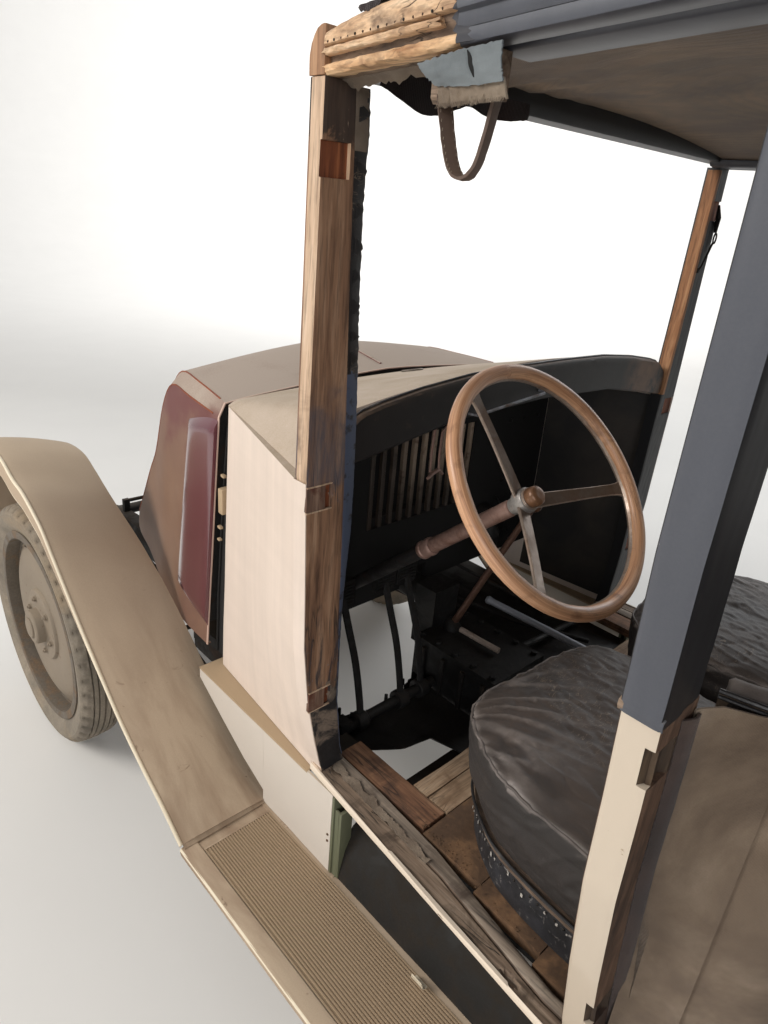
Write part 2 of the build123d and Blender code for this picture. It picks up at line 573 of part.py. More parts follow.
def knuckle(s, drag):
    y = s * KINGPIN_Y
    web = KINGPIN_Y + 39
    ya, yb = sorted((y, s * web))
    wa, wb = sorted((s * (web - 12), s * web))
    lo, hi = HUB_Z - 50, HUB_Z + 50
    k = [rod((FRONT_AXLE_X, y, lo), (FRONT_AXLE_X, y, hi), KINGPIN_R),
         rod((FRONT_AXLE_X, y, hi - 19.5), (FRONT_AXLE_X, y, hi), 24),
         rod((FRONT_AXLE_X, y, lo), (FRONT_AXLE_X, y, lo + 19.5), 24),
         box(FRONT_AXLE_X - 20, FRONT_AXLE_X + 20, ya, yb, hi - 19.5, hi),
         box(FRONT_AXLE_X - 20, FRONT_AXLE_X + 20, ya, yb, lo, lo + 19.5),
         box(FRONT_AXLE_X - 20, FRONT_AXLE_X + 20, wa, wb, lo, hi),
         rod((FRONT_AXLE_X, s * (web - 4), HUB_Z), (FRONT_AXLE_X, s * (WHEEL_Y + 48), HUB_Z), SPINDLE_R),
         box(TIE_X, FRONT_AXLE_X, y - 8, y + 8, TIE_Z + 10, TIE_Z + 26),
         rod((TIE_X, y, TIE_Z + 10), (TIE_X, y, TIE_Z + 26), 14), rod((TIE_X, y, TIE_Z - 11), (TIE_X, y, TIE_Z + 17), 6)]
    if drag:
        k += [box(FRONT_AXLE_X - 11, FRONT_AXLE_X + 11, LINK_Y, KINGPIN_Y, hi, hi + 15),
              rod((FRONT_AXLE_X, LINK_Y, hi), (FRONT_AXLE_X, LINK_Y, hi + 15), 14)]
    return join(*k)


save("left_knuckle", knuckle(1, True))
save("right_knuckle", knuckle(-1, False))


# wheels: revolved about their axle, s = outward side
def spin(rows, x, s):
    """rows of (radius, distance outward from the wheel's middle plane)."""
    pts = [(x, s * (WHEEL_Y + y), HUB_Z + r) for r, y in rows]
    return Solid.revolve(Face(Wire.make_polygon(pts, close=True)), 360,
                         Axis((x, s * WHEEL_Y, HUB_Z), (0, 1, 0)))


TYRE = [(266.2, -43), (282, -43.5), (294, -50), (316, -57), (334, -56), (345, -48), (350, -34), (TYRE_R, -14),
        (TYRE_R, 14), (350, 34), (345, 48), (334, 56), (316, 57), (294, 50), (282, 43.5), (266.2, 43)]
WHEEL = [(SPINDLE_R + RUN, -33), (48, -33), (48, 16), (108, 20), (156, 24), (210, 18), (240, 2), (250, -4),
         (250, -49), (280, -49), (280, -43.6), (266, -43.6), (266, 43.6), (280, 43.6), (280, 49), (256, 49),
         (256, 6), (244, 10), (212, 25), (156, 31), (108, 27), (104, 36), (52, 38), (50, 60), (44, 66),
         (0, 66), (0, 50), (SPINDLE_R + RUN, 50)]
for name, x, s in (("front_left", FRONT_AXLE_X, 1), ("front_right", FRONT_AXLE_X, -1),
                   ("rear_left", REAR_AXLE_X, 1), ("rear_right", REAR_AXLE_X, -1)):
    save(name + "_tyre", spin(TYRE, x, s))
    save(name + "_wheel", spin(WHEEL, x, s))
print("SX", round(SX, 2))
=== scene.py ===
import math
from math import atan2, cos, exp, pi, radians, sin, sqrt

import bmesh
import bpy
from mathutils import Matrix, Vector, noise


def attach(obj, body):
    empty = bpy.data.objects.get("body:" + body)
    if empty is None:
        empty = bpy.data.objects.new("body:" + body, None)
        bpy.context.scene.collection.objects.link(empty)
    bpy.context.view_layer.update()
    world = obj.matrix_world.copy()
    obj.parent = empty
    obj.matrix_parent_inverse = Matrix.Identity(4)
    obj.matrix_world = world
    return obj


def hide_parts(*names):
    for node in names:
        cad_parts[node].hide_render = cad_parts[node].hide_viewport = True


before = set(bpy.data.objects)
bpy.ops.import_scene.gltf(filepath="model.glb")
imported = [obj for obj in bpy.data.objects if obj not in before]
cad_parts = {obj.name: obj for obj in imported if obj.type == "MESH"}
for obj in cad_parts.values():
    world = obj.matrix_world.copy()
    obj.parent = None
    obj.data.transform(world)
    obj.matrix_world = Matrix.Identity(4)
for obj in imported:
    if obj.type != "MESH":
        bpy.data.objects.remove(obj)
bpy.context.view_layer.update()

SX = 324.0          # the car's own X = 0 is at the windscreen pillars' rear face
scene = bpy.context.scene


# ---- numbers shared with the solids, millimetres ---------------------------
REAR_AXLE_X, FRONT_AXLE_X, HUB_Z, WHEEL_Y = -1766.0, 1096.0, 353.0, 635.0
WING_R, WING_END = 452.0, 168.0
RB_TOP, RB_OUT, RB_IN, RB_FRONT, RB_REAR = 345.0, 727.0, 516.0, 176.0, -1310.0
WING = [(1535, 540, 1520, 500, 70), (1505, 655, 1492, 610, 75), (1440, 750, 1430, 705, 72),
        (1360, 822, 1352, 776, 68), (1270, 868, 1268, 822, 64), (1180, 888, 1180, 838, 60),
        (1100, 890, 1100, 836, 58), (1035, 881, 1040, 812, 56), (971, 855, 975, 782, 54),
        (905, 842, 892, 746, 50), (846, 818, 830, 722, 46), (791, 789, 770, 697, 40),
        (742, 746, 715, 668, 34), (695, 704, 668, 643, 28), (602, 622, 583, 588, 20),
        (511, 549, 493, 521, 16), (422, 484, 405, 459, 14), (335, 435, 320, 402, 14),
        (251, 395, 245, 364, 14), (176, 352, 176, 346, 14)]
SIDE = [(1142, 464, 582), (1040, 468, 579), (943, 472, 576), (848, 476, 574), (740, 480, 563),
        (642, 485, 544), (560, 488, 524)]
BONNET = [(450, 503, 578, 462, 1108, 447, 1136, 1166), (600, 490, 566, 446, 1114, 420, 1142, 1190),
          (720, 460, 560, 424, 1110, 398, 1138, 1184), (800, 440, 557, 410, 1040, 384, 1074, 1146),
          (911, 405, 555, 382, 887, 352, 930, 1040), (1000, 379, 553, 362, 795, 330, 835, 944),
          (1161, 335, 551, 330, 604, 296, 650, 762), (1290, 266, 551, 260, 580, 230, 602, 664),
          (1370, 176, 551, 172, 566, 150, 574, 604)]
A_OUT = [(1655, 575), (1149, 582), (943, 576), (848, 574), (740, 563), (642, 544), (556, 524)]
A_IN = [(1655, 526), (1400, 519), (1133, 509), (918, 504), (708, 497), (596, 483), (556, 472)]
B_OUT = [(1655, 686), (1300, 684), (1151, 673), (1042, 662), (924, 654), (776, 629), (640, 600), (556, 575)]
TILT = radians(40.7)
STEER_C = (-224.0, 283.0, 1151.0)


# ---- small helpers ----------------------------------------------------------
def lerp(a, b, t):
    return a + (b - a) * t


def interp(table, v, key=0, val=1):
    t = sorted(table, key=lambda r: r[key])
    if v <= t[0][key]:
        return t[0][val]
    for a, b in zip(t, t[1:]):
        if v <= b[key]:
            return a[val] + (b[val] - a[val]) * (v - a[key]) / (b[key] - a[key])
    return t[-1][val]


def smooth(e0, e1, x):
    t = max(0.0, min(1.0, (x - e0) / (e1 - e0)))
    return t * t * (3 - 2 * t)


def spline(pts, per):
    """A rounded line through rows of numbers, per steps to each span."""
    out, n = [], len(pts)
    for i in range(n - 1):
        p0, p1, p2, p3 = pts[max(i - 1, 0)], pts[i], pts[i + 1], pts[min(i + 2, n - 1)]
        for k in range(per):
            t = k / per
            out.append(tuple(0.5 * ((2 * b) + (-a + c) * t + (2 * a - 5 * b + 4 * c - d) * t * t
                                    + (-a + 3 * b - 3 * c + d) * t ** 3)
                             for a, b, c, d in zip(p0, p1, p2, p3)))
    out.append(tuple(float(v) for v in pts[-1]))
    return out


def straight(pts, step):
    """Points no further apart than step along straight runs."""
    out = []
    for a, b in zip(pts, pts[1:]):
        d = sqrt(sum((x - y) ** 2 for x, y in zip(a, b)))
        n = max(1, int(math.ceil(d / step)))
        out += [tuple(lerp(x, y, k / n) for x, y in zip(a, b)) for k in range(n)]
    return out + [tuple(float(v) for v in pts[-1])]


def nz(x, y, z, seed=0.0):
    return noise.noise(Vector((x + seed * 7.31, y - seed * 3.7, z + seed * 1.9)))


class Geo:
    """Points and faces in millimetres, X from the windscreen pillars."""

    def __init__(self):
        self.v, self.f, self.m = [], [], []

    def add(self, verts, faces, mi=0):
        o = len(self.v)
        self.v += [tuple(p) for p in verts]
        self.f += [tuple(i + o for i in q) for q in faces]
        self.m += list(mi) if isinstance(mi, (list, tuple)) else [mi] * len(faces)
        return self

    def grid(self, rows, mi=0, loop=False, closed=False, flip=False):
        """Rows of points of equal count. loop joins each row's ends, closed joins the last row to the first."""
        n, w = len(rows), len(rows[0])
        faces, mats = [], []
        for i in range(n if closed else n - 1):
            for j in range(w if loop else w - 1):
                a, b = i * w + j, i * w + (j + 1) % w
                c, d = ((i + 1) % n) * w + (j + 1) % w, ((i + 1) % n) * w + j
                faces.append((a, d, c, b) if flip else (a, b, c, d))
                mats.append(mi(i, j) if callable(mi) else mi)
        return self.add([p for r in rows for p in r], faces, mats)

    def rings(self, rows, mi=0, caps=True, flip=False):
        """A closed body through closed rings."""
        o, w = len(self.v), len(rows[0])
        self.grid(rows, mi, loop=True, flip=flip)
        if caps:
            for k, rev in ((0, not flip), (len(rows) - 1, flip)):
                c = [sum(p[i] for p in rows[k]) / w for i in range(3)]
                self.v.append(tuple(c))
                ci = len(self.v) - 1
                for j in range(w):
                    a, b = o + k * w + j, o + k * w + (j + 1) % w
                    self.f.append((a, b, ci) if not rev else (b, a, ci))
                    self.m.append(mi(k, j) if callable(mi) else mi)
        return self

    def tube(self, path, r, seg=12, mi=0, caps=True, squash=None):
        """A round or flattened tube along points. r is one radius or one a point."""
        pts = [Vector(p) for p in path]
        rows, up = [], None
        for i, p in enumerate(pts):
            t = (pts[min(i + 1, len(pts) - 1)] - pts[max(i - 1, 0)]).normalized()
            if up is None:
                up = Vector((0, 0, 1)) if abs(t.z) < 0.9 else Vector((1, 0, 0))
            side = t.cross(up).normalized()
            up = side.cross(t).normalized()
            rr = r[i] if isinstance(r, (list, tuple)) else r
            a, b = (rr, rr) if squash is None else (rr * squash[0], rr * squash[1])
            rows.append([tuple(p + side * a * cos(2 * pi * k / seg) + up * b * sin(2 * pi * k / seg))
                         for k in range(seg)])
        return self.rings(rows, mi, caps, flip=True)

    def box(self, x0, x1, y0, y1, z0, z1, mi=0):
        v = [(x, y, z) for x in (x0, x1) for y in (y0, y1) for z in (z0, z1)]
        return self.add(v, [(0, 1, 3, 2), (4, 6, 7, 5), (0, 4, 5, 1), (2, 3, 7, 6), (0, 2, 6, 4), (1, 5, 7, 3)], mi)

    def oriented(self, centre, ex, ey, ez, mi=0):
        """A block about a centre, its half sides given as vectors."""
        c, ex, ey, ez = Vector(centre), Vector(ex), Vector(ey), Vector(ez)
        v = [tuple(c + ex * a + ey * b + ez * d) for a in (-1, 1) for b in (-1, 1) for d in (-1, 1)]
        return self.add(v, [(0, 1, 3, 2), (4, 6, 7, 5), (0, 4, 5, 1), (2, 3, 7, 6), (0, 2, 6, 4), (1, 5, 7, 3)], mi)

    def disc(self, c, axis, r, h, seg=16, mi=0, dome=0.0):
        """A short turned button with a softened rim."""
        a = Vector(axis).normalized()
        u = a.orthogonal().normalized()
        w = a.cross(u)
        rows = []
        for rr, hh in ((r * 0.98, 0), (r, h * 0.35), (r * 0.96, h * 0.8), (r * 0.8, h), (r * 0.4, h + dome * 0.8)):
            rows.append([tuple(Vector(c) + a * hh + u * rr * cos(2 * pi * k / seg) + w * rr * sin(2 * pi * k / seg))
                         for k in range(seg)])
        return self.rings(rows, mi, True)

    def mirror(self):
        """Adds the same faces on the car's other side."""
        o = len(self.v)
        self.v += [(x, -y, z) for x, y, z in self.v]
        self.f += [tuple(reversed([i + o for i in q])) for q in self.f]
        self.m += self.m
        return self

    def join(self, other):
        return self.add(other.v, other.f, list(other.m))


def fresh(name, geo, mats, weld=0.02):
    me = bpy.data.meshes.new(name)
    me.from_pydata([((x + SX) / 1000, y / 1000, z / 1000) for x, y, z in geo.v], [], geo.f)
    o = bpy.data.objects.new(name, me)
    scene.collection.objects.link(o)
    for m in mats:
        me.materials.append(m)
    me.polygons.foreach_set("material_index", geo.m)
    bm = bmesh.new()
    bm.from_mesh(me)
    bmesh.ops.remove_doubles(bm, verts=bm.verts, dist=weld / 1000)
    bmesh.ops.dissolve_degenerate(bm, dist=1e-6, edges=bm.edges)
    bmesh.ops.recalc_face_normals(bm, faces=bm.faces)
    bm.to_mesh(me)
    bm.free()
    return o


def settle(o):
    """Applies the modifiers, so that the mesh is final."""
    dg = bpy.context.evaluated_depsgraph_get()
    me = bpy.data.meshes.new_from_object(o.evaluated_get(dg), preserve_all_data_layers=True, depsgraph=dg)
    o.modifiers.clear()
    old = o.data
    o.data = me
    bpy.data.meshes.remove(old)
    me.name = o.name
    return o


def shade(o, angle=38):
    o.data.shade_smooth()
    o.data.set_sharp_from_angle(angle=radians(angle))
    return o


def place(o, body, replaces=(), angle=38):
    shade(o, angle)
    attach(o, body)
    if replaces:
        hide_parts(*replaces)
    return o


def build(name, geo, mats, body, replaces=(), angle=38, bevel=0, seg=2, thick=0, sub=0, wob=None, blimit=30):
    """Makes the mesh, thickens, bevels, subdivides, roughens and places it."""
    o = fresh(name, geo, mats if isinstance(mats, (list, tuple)) else [mats])
    if thick:
        m = o.modifiers.new("t", "SOLIDIFY")
        m.thickness, m.offset, m.use_even_offset = abs(thick) / 1000, (-1 if thick > 0 else 1), True
    if bevel:
        m = o.modifiers.new("b", "BEVEL")
        m.width, m.segments, m.limit_method, m.angle_limit = bevel / 1000, seg, "ANGLE", radians(blimit)
        m.harden_normals = False
    if sub:
        m = o.modifiers.new("s", "SUBSURF")
        m.levels = m.render_levels = sub
    if thick or bevel or sub:
        settle(o)
    if wob:
        roughen(o, wob)
    return place(o, body, replaces, angle)


def roughen(o, fn):
    """Moves each point along its normal by fn(x, y, z, normal) millimetres, in the car's own millimetres."""
    bm = bmesh.new()
    bm.from_mesh(o.data)
    bm.normal_update()
    moves = [(v, fn(v.co.x * 1000 - SX, v.co.y * 1000, v.co.z * 1000, v.normal)) for v in bm.verts]
    for v, d in moves:
        if isinstance(d, (tuple, Vector)):
            v.co += Vector(d) / 1000
        elif d:
            v.co += v.normal * d / 1000
    bm.to_mesh(o.data)
    bm.free()


def paint_points(o, name, fn):
    """A number on each point, read by the material."""
    at = o.data.attributes.new(name, "FLOAT", "POINT")
    at.data.foreach_set("value", [float(fn(v.co.x * 1000 - SX, v.co.y * 1000, v.co.z * 1000, v.normal))
                                  for v in o.data.vertices])


# ---- materials ---------------------------------------------------------------
def C(r, g, b):
    out = []
    for v in (r, g, b):
        v /= 255
        out.append(v / 12.92 if v <= 0.04045 else ((v + 0.055) / 1.055) ** 2.4)
    return (*out, 1.0)


class Mat:
    def __init__(self, name, rough=0.6, metal=0.0, coat=0.0, coat_rough=0.15, sheen=0.0, spec=0.5):
        self.m = bpy.data.materials.new(name)
        self.m.use_nodes = True
        self.t = self.m.node_tree
        self.n = self.t.nodes
        self.n.clear()
        out = self.n.new("ShaderNodeOutputMaterial")
        self.b = self.n.new("ShaderNodeBsdfPrincipled")
        self.t.links.new(self.b.outputs[0], out.inputs[0])
        for k, v in (("Roughness", rough), ("Metallic", metal), ("Coat Weight", coat), ("Coat Roughness", coat_rough),
                     ("Sheen Weight", sheen), ("Specular IOR Level", spec)):
            self.b.inputs[k].default_value = v
        self.tc = self.n.new("ShaderNodeTexCoord")
        self.obj = self.tc.outputs["Object"]
        self.sep = None
        self.nrm = None

    def put(self, socket, value):
        if isinstance(value, bpy.types.NodeSocket):
            self.t.links.new(value, socket)
        else:
            socket.default_value = value

    def set(self, **kw):
        names = {"color": "Base Color", "rough": "Roughness", "normal": "Normal", "metal": "Metallic"}
        for k, v in kw.items():
            self.put(self.b.inputs[names[k]], v)
        return self

    def map(self, scale, rot=(0, 0, 0), loc=(0, 0, 0)):
        n = self.n.new("ShaderNodeMapping")
        n.inputs["Scale"].default_value = scale
        n.inputs["Rotation"].default_value = rot
        n.inputs["Location"].default_value = loc
        self.t.links.new(self.obj, n.inputs["Vector"])
        return n.outputs[0]

    def noise(self, scale=5.0, detail=4.0, rough=0.55, dist=0.0, vec=None):
        n = self.n.new("ShaderNodeTexNoise")
        n.inputs["Scale"].default_value = scale
        n.inputs["Detail"].default_value = detail
        n.inputs["Roughness"].default_value = rough
        n.inputs["Distortion"].default_value = dist
        self.t.links.new(vec or self.obj, n.inputs["Vector"])
        return n.outputs[0]

    def vor(self, scale=5.0, feature="F1", vec=None, rnd=1.0):
        n = self.n.new("ShaderNodeTexVoronoi")
        n.feature = feature
        n.inputs["Scale"].default_value = scale
        n.inputs["Randomness"].default_value = rnd
        self.t.links.new(vec or self.obj, n.inputs["Vector"])
        return n.outputs[0]

    def wave(self, scale, vec=None, dist=0.0, profile="SIN", direction="X", detail=2.0, dscale=1.0):
        n = self.n.new("ShaderNodeTexWave")
        n.wave_profile, n.bands_direction = profile, direction
        n.inputs["Scale"].default_value = scale
        n.inputs["Distortion"].default_value = dist
        n.inputs["Detail"].default_value = detail
        n.inputs["Detail Scale"].default_value = dscale
        self.t.links.new(vec or self.obj, n.inputs["Vector"])
        return n.outputs[1]

    def ramp(self, fac, stops, mode="LINEAR"):
        n = self.n.new("ShaderNodeValToRGB")
        n.color_ramp.interpolation = mode
        e = n.color_ramp.elements
        while len(e) < len(stops):
            e.new(0.5)
        for k, (pos, col) in enumerate(stops):
            e[k].position = pos
            e[k].color = (col, col, col, 1) if isinstance(col, (int, float)) else col
        self.t.links.new(fac, n.inputs[0])
        return n.outputs[0]

    def mix(self, fac, a, b, mode="MIX"):
        n = self.n.new("ShaderNodeMix")
        n.data_type, n.blend_type = "RGBA", mode
        self.put(n.inputs[0], fac)
        self.put(n.inputs[6], a)
        self.put(n.inputs[7], b)
        return n.outputs[2]

    def math(self, op, a, b=0.0, clamp=False):
        n = self.n.new("ShaderNodeMath")
        n.operation, n.use_clamp = op, clamp
        self.put(n.inputs[0], a)
        self.put(n.inputs[1], b)
        return n.outputs[0]

    def xyz(self, axis):
        if self.sep is None:
            self.sep = self.n.new("ShaderNodeSeparateXYZ")
            self.t.links.new(self.obj, self.sep.inputs[0])
        return self.sep.outputs["XYZ".index(axis)]

    def facing(self, axis):
        """The surface normal's part along an axis of the car."""
        if self.nrm is None:
            g = self.n.new("ShaderNodeNewGeometry")
            self.nrm = self.n.new("ShaderNodeSeparateXYZ")
            self.t.links.new(g.outputs["Normal"], self.nrm.inputs[0])
        return self.nrm.outputs["XYZ".index(axis)]

    def step(self, value, lo, hi):
        n = self.n.new("ShaderNodeMapRange")
        n.interpolation_type = "SMOOTHSTEP"
        self.put(n.inputs[0], value)
        n.inputs[1].default_value, n.inputs[2].default_value = lo, hi
        return n.outputs[0]

    def attr(self, name):
        n = self.n.new("ShaderNodeAttribute")
        n.attribute_name = name
        return n.outputs["Fac"]

    def bump(self, height, strength=0.3, dist=0.001, normal=None):
        n = self.n.new("ShaderNodeBump")
        n.inputs["Strength"].default_value = strength
        n.inputs["Distance"].default_value = dist
        self.t.links.new(height, n.inputs["Height"])
        if normal is not None:
            self.t.links.new(normal, n.inputs["Normal"])
        return n.outputs[0]


GRAIN = {"x": (4, 60, 60), "y": (60, 4, 60), "z": (60, 60, 4), "xy": (4, 60, 60)}


def wood(name, dark, mid, light, axis="z", rough=0.75, crack=0.5, stain=None, stain_at=(0.5, 0.62), stain_scale=7,
         bumps=0.6, rot=(0, 0, 0), fine=1.0, finish=None):
    """Old timber: long fibres, darker pores, splits and stains."""
    w = Mat(name, rough)
    g = w.map(GRAIN[axis], rot)
    g2 = w.map(tuple(v * 4.5 for v in GRAIN[axis]), rot)
    fibre = w.noise(1.0, 6, 0.62, 0.6, g)
    fibre2 = w.noise(1.0, 4, 0.6, 0.2, g2)
    col = w.ramp(fibre, [(0.28, dark), (0.5, mid), (0.72, light)])
    pores = w.ramp(fibre2, [(0.36, 0.35), (0.52, 1.0)])
    col = w.mix(0.55 * fine, col, pores, "MULTIPLY")
    blotch = w.noise(stain_scale, 5, 0.6, 0.4)
    if stain is not None:
        col = w.mix(w.ramp(blotch, [(stain_at[0], 0.0), (stain_at[1], 0.9)]), col, stain)
    slow = w.noise(2.3, 3, 0.5)
    col = w.mix(0.35, col, w.ramp(slow, [(0.3, 0.72), (0.7, 1.15)]), "MULTIPLY")
    gc = w.map(tuple(v * 0.55 for v in GRAIN[axis]), rot, (0.37, 0.11, 0.53))
    split = w.ramp(w.noise(1.0, 3, 0.5, 1.2, gc), [(0.485, 0.0), (0.5, 1.0), (0.515, 0.0)])
    keep = w.ramp(w.noise(5.5, 2, 0.5), [(0.5, 0.0), (0.58, 1.0)])
    cracks = w.math("MULTIPLY", w.math("MULTIPLY", split, keep), crack)
    col = w.mix(cracks, col, C(22, 16, 12))
    if finish:
        col = finish(w, col)
    h = w.math("SUBTRACT", w.math("ADD", w.math("MULTIPLY", fibre2, 0.5), w.math("MULTIPLY", fibre, 0.5)),
               w.math("MULTIPLY", cracks, 0.8))
    w.set(color=col, normal=w.bump(h, bumps, 0.0012))
    return w.m


def paint(name, base, dust=None, dust_amt=0.6, rough=0.55, coat=0.0, var=0.25, scuff=None, scuff_at=(0.66, 0.7),
          speck=0.35, streak=None, side_dust=0.0, bumps=0.12, finish=None, metal=0.0):
    """Sprayed or brushed paint with dust lying where it faces up."""
    w = Mat(name, rough, metal=metal, coat=coat)
    slow = w.noise(2.6, 4, 0.55, 0.3)
    col = w.mix(var, base, w.ramp(slow, [(0.3, tuple(c * 0.66 for c in base[:3]) + (1,)),
                                         (0.7, tuple(min(1, c * 1.2) for c in base[:3]) + (1,))]))
    if streak:
        s = w.noise(1.0, 5, 0.6, 0.1, w.map(streak))
        col = w.mix(0.30, col, w.ramp(s, [(0.3, 0.78), (0.7, 1.12)]), "MULTIPLY")
    fine = w.noise(420, 3, 0.7)
    mid = w.noise(48, 5, 0.6)
    if scuff is not None:
        col = w.mix(w.ramp(mid, [(scuff_at[0], 0.0), (scuff_at[1], 1.0)]), col, scuff)
    rv = rough
    if dust is not None:
        up = w.step(w.facing("Z"), -0.1, 0.95)
        cloud = w.ramp(w.noise(6.5, 6, 0.6, 0.5), [(0.25, 0.6), (0.65, 1.0)])
        amt = w.math("MULTIPLY", w.math("MULTIPLY", up, dust_amt), cloud)
        if side_dust:
            amt = w.math("MAXIMUM", amt, w.math("MULTIPLY", cloud, side_dust))
        grains = w.ramp(fine, [(0.3, 0.8), (0.7, 1.15)])
        amt = w.math("MULTIPLY", amt, grains, True)
        col = w.mix(amt, col, dust)
        rv = w.math("ADD", w.math("MULTIPLY", amt, 0.9 - rough), rough)
    col = w.mix(speck * 0.5, col, w.ramp(fine, [(0.3, 0.75), (0.7, 1.15)]), "MULTIPLY")
    if finish:
        col = finish(w, col)
    w.set(color=col, rough=rv, normal=w.bump(w.math("ADD", w.math("MULTIPLY", fine, 0.3), mid), bumps, 0.001))
    return w.m


def iron(name, base, rust, amt=(0.45, 0.6), rough=0.6, metal=0.5, dust=None, dust_amt=0.5):
    """Dark iron with rust blooms and dust on top."""
    w = Mat(name, rough, metal=metal)
    a = w.noise(14, 6, 0.65, 0.6)
    b = w.noise(160, 4, 0.6)
    col = w.mix(w.ramp(a, [(amt[0], 0.0), (amt[1], 1.0)]), base, rust)
    col = w.mix(0.5, col, w.ramp(b, [(0.3, 0.6), (0.7, 1.2)]), "MULTIPLY")
    if dust is not None:
        up = w.step(w.facing("Z"), 0.0, 0.95)
        col = w.mix(w.math("MULTIPLY", up, dust_amt), col, dust)
    w.set(color=col, rough=w.ramp(a, [(0.4, rough * 0.8), (0.6, min(1, rough * 1.3))]),
          normal=w.bump(w.math("ADD", b, a), 0.35, 0.001))
    return w.m


def cloth(name, base, dark, light, scale=900, rough=0.95, bumps=0.5, stain=None, sheen=0.15):
    """Woven cloth: crossing threads in two directions, faded and soiled."""
    w = Mat(name, rough, sheen=sheen, spec=0.2)
    warp = w.wave(scale * 0.33, w.map((1, 1, 0.02)), 0.6, direction="DIAGONAL", detail=1)
    weft = w.wave(scale * 0.33, None, 0.6, direction="Z", detail=1)
    weave = w.math("MULTIPLY", warp, weft)
    fuzz = w.noise(scale * 0.6, 3, 0.7)
    slow = w.noise(6, 6, 0.62, 0.4)
    col = w.ramp(slow, [(0.3, dark), (0.5, base), (0.72, light)])
    col = w.mix(0.45, col, w.ramp(weave, [(0.0, 0.6), (0.6, 1.15)]), "MULTIPLY")
    col = w.mix(0.35, col, w.ramp(fuzz, [(0.3, 0.7), (0.7, 1.2)]), "MULTIPLY")
    if stain is not None:
        col = w.mix(w.ramp(w.noise(3.1, 5, 0.6, 0.6), [(0.52, 0.0), (0.66, 0.7)]), col, stain)
    w.set(color=col, normal=w.bump(w.math("ADD", weave, fuzz), bumps, 0.0008))
    return w.m


# ---- finishes -----------------------------------------------------------------
DUST = C(172, 156, 134)


def primer_finish(w, col):
    rub = w.noise(1.0, 5, 0.6, 0.2, w.map((3, 3, 26)))
    return w.mix(0.16, col, w.ramp(rub, [(0.3, 0.8), (0.7, 1.12)]), "MULTIPLY")


PRIMER = paint("primer_panel", C(219, 202, 188), C(164, 146, 124), 1.0, 0.5, var=0.10, speck=0.18,
               streak=(34, 34, 1.6), bumps=0.06, finish=primer_finish)


def bonnet_finish(w, col):
    z, x = w.xyz("Z"), w.xyz("X")
    low = w.math("SUBTRACT", 1.0, w.step(z, 0.78, 1.10))
    fwd = w.step(x, 0.90, 0.98)
    brown = w.mix(w.noise(9, 5, 0.6), C(92, 62, 46), C(132, 98, 72))
    col = w.mix(w.math("MULTIPLY", w.math("MULTIPLY", low, fwd), 0.9, True), col, brown)
    side = w.math("SUBTRACT", 1.0, w.step(w.facing("Z"), 0.2, 0.6))
    haze = w.ramp(w.noise(5, 5, 0.6, 0.5), [(0.35, 0.15), (0.7, 0.6)])
    col = w.mix(w.math("MULTIPLY", w.math("MULTIPLY", side, haze), 0.75), col, C(136, 108, 88))
    n = w.math("MULTIPLY", w.math("SUBTRACT", w.noise(7, 5, 0.6), 0.5), 0.5)
    high = w.math("MULTIPLY", side, w.step(w.math("ADD", z, n), 0.98, 1.12))
    col = w.mix(w.math("MULTIPLY", high, 0.8), col, C(98, 46, 48))
    return col


BONNET_PAINT = paint("bonnet_paint", C(104, 66, 52), C(166, 150, 136), 1.3, 0.55, coat=0.0, var=0.3,
                     scuff=C(120, 70, 48), scuff_at=(0.6, 0.75), bumps=0.08, finish=bonnet_finish)
MAROON = paint("maroon_band", C(84, 24, 38), C(150, 110, 116), 0.4, 0.22, coat=1.0, var=0.3, speck=0.10, bumps=0.03,
               side_dust=0.04)
RUST_EDGE = iron("rusted_crease", C(120, 62, 44), C(148, 84, 56), (0.4, 0.6), 0.8, 0.1)


def wing_finish(w, col):
    down = w.math("SUBTRACT", 1.0, w.step(w.xyz("Z"), 0.36, 0.75))
    run = w.noise(1.0, 5, 0.62, 0.5, w.map((3.2, 14, 3.2)))
    col = w.mix(w.math("MULTIPLY", down, w.ramp(run, [(0.42, 0.0), (0.66, 0.65)])), col, C(128, 104, 82))
    spots = w.ramp(w.noise(38, 4, 0.62, 0.8), [(0.66, 0.0), (0.72, 0.75)])
    col = w.mix(w.math("MULTIPLY", spots, w.math("MULTIPLY", down, 0.8)), col, C(96, 70, 50))
    return col


WING_DUST = paint("dusty_wing", C(166, 145, 122), C(178, 158, 134), 0.9, 0.62, var=0.35, speck=0.3, bumps=0.1,
                  side_dust=0.4, finish=wing_finish)
BEAD = paint("cream_bead", C(226, 212, 186), C(196, 178, 150), 0.3, 0.42, var=0.15, speck=0.2)
LEDGE = paint("tan_ledge", C(172, 148, 118), C(160, 138, 110), 0.5, 0.7, var=0.3, speck=0.4)
CREAM = paint("cream_paint", C(198, 183, 164), C(164, 148, 128), 0.6, 0.34, coat=0.25, var=0.08, speck=0.08,
              scuff=C(158, 136, 112), scuff_at=(0.73, 0.75), bumps=0.04)
VALANCE_PAINT = paint("pale_valance", C(206, 196, 184), C(176, 158, 134), 0.9, 0.5, var=0.14, speck=0.2,
                      scuff=C(140, 118, 92), scuff_at=(0.71, 0.74))


def slate_finish(w, col):
    long = w.noise(1.0, 5, 0.6, 0.3, w.map((30, 30, 2.0)))
    col = w.mix(0.35, col, w.ramp(long, [(0.3, 0.72), (0.7, 1.18)]), "MULTIPLY")
    chips = w.ramp(w.noise(60, 5, 0.7, 0.8), [(0.70, 0.0), (0.715, 0.8)])
    return w.mix(chips, col, C(120, 116, 116))


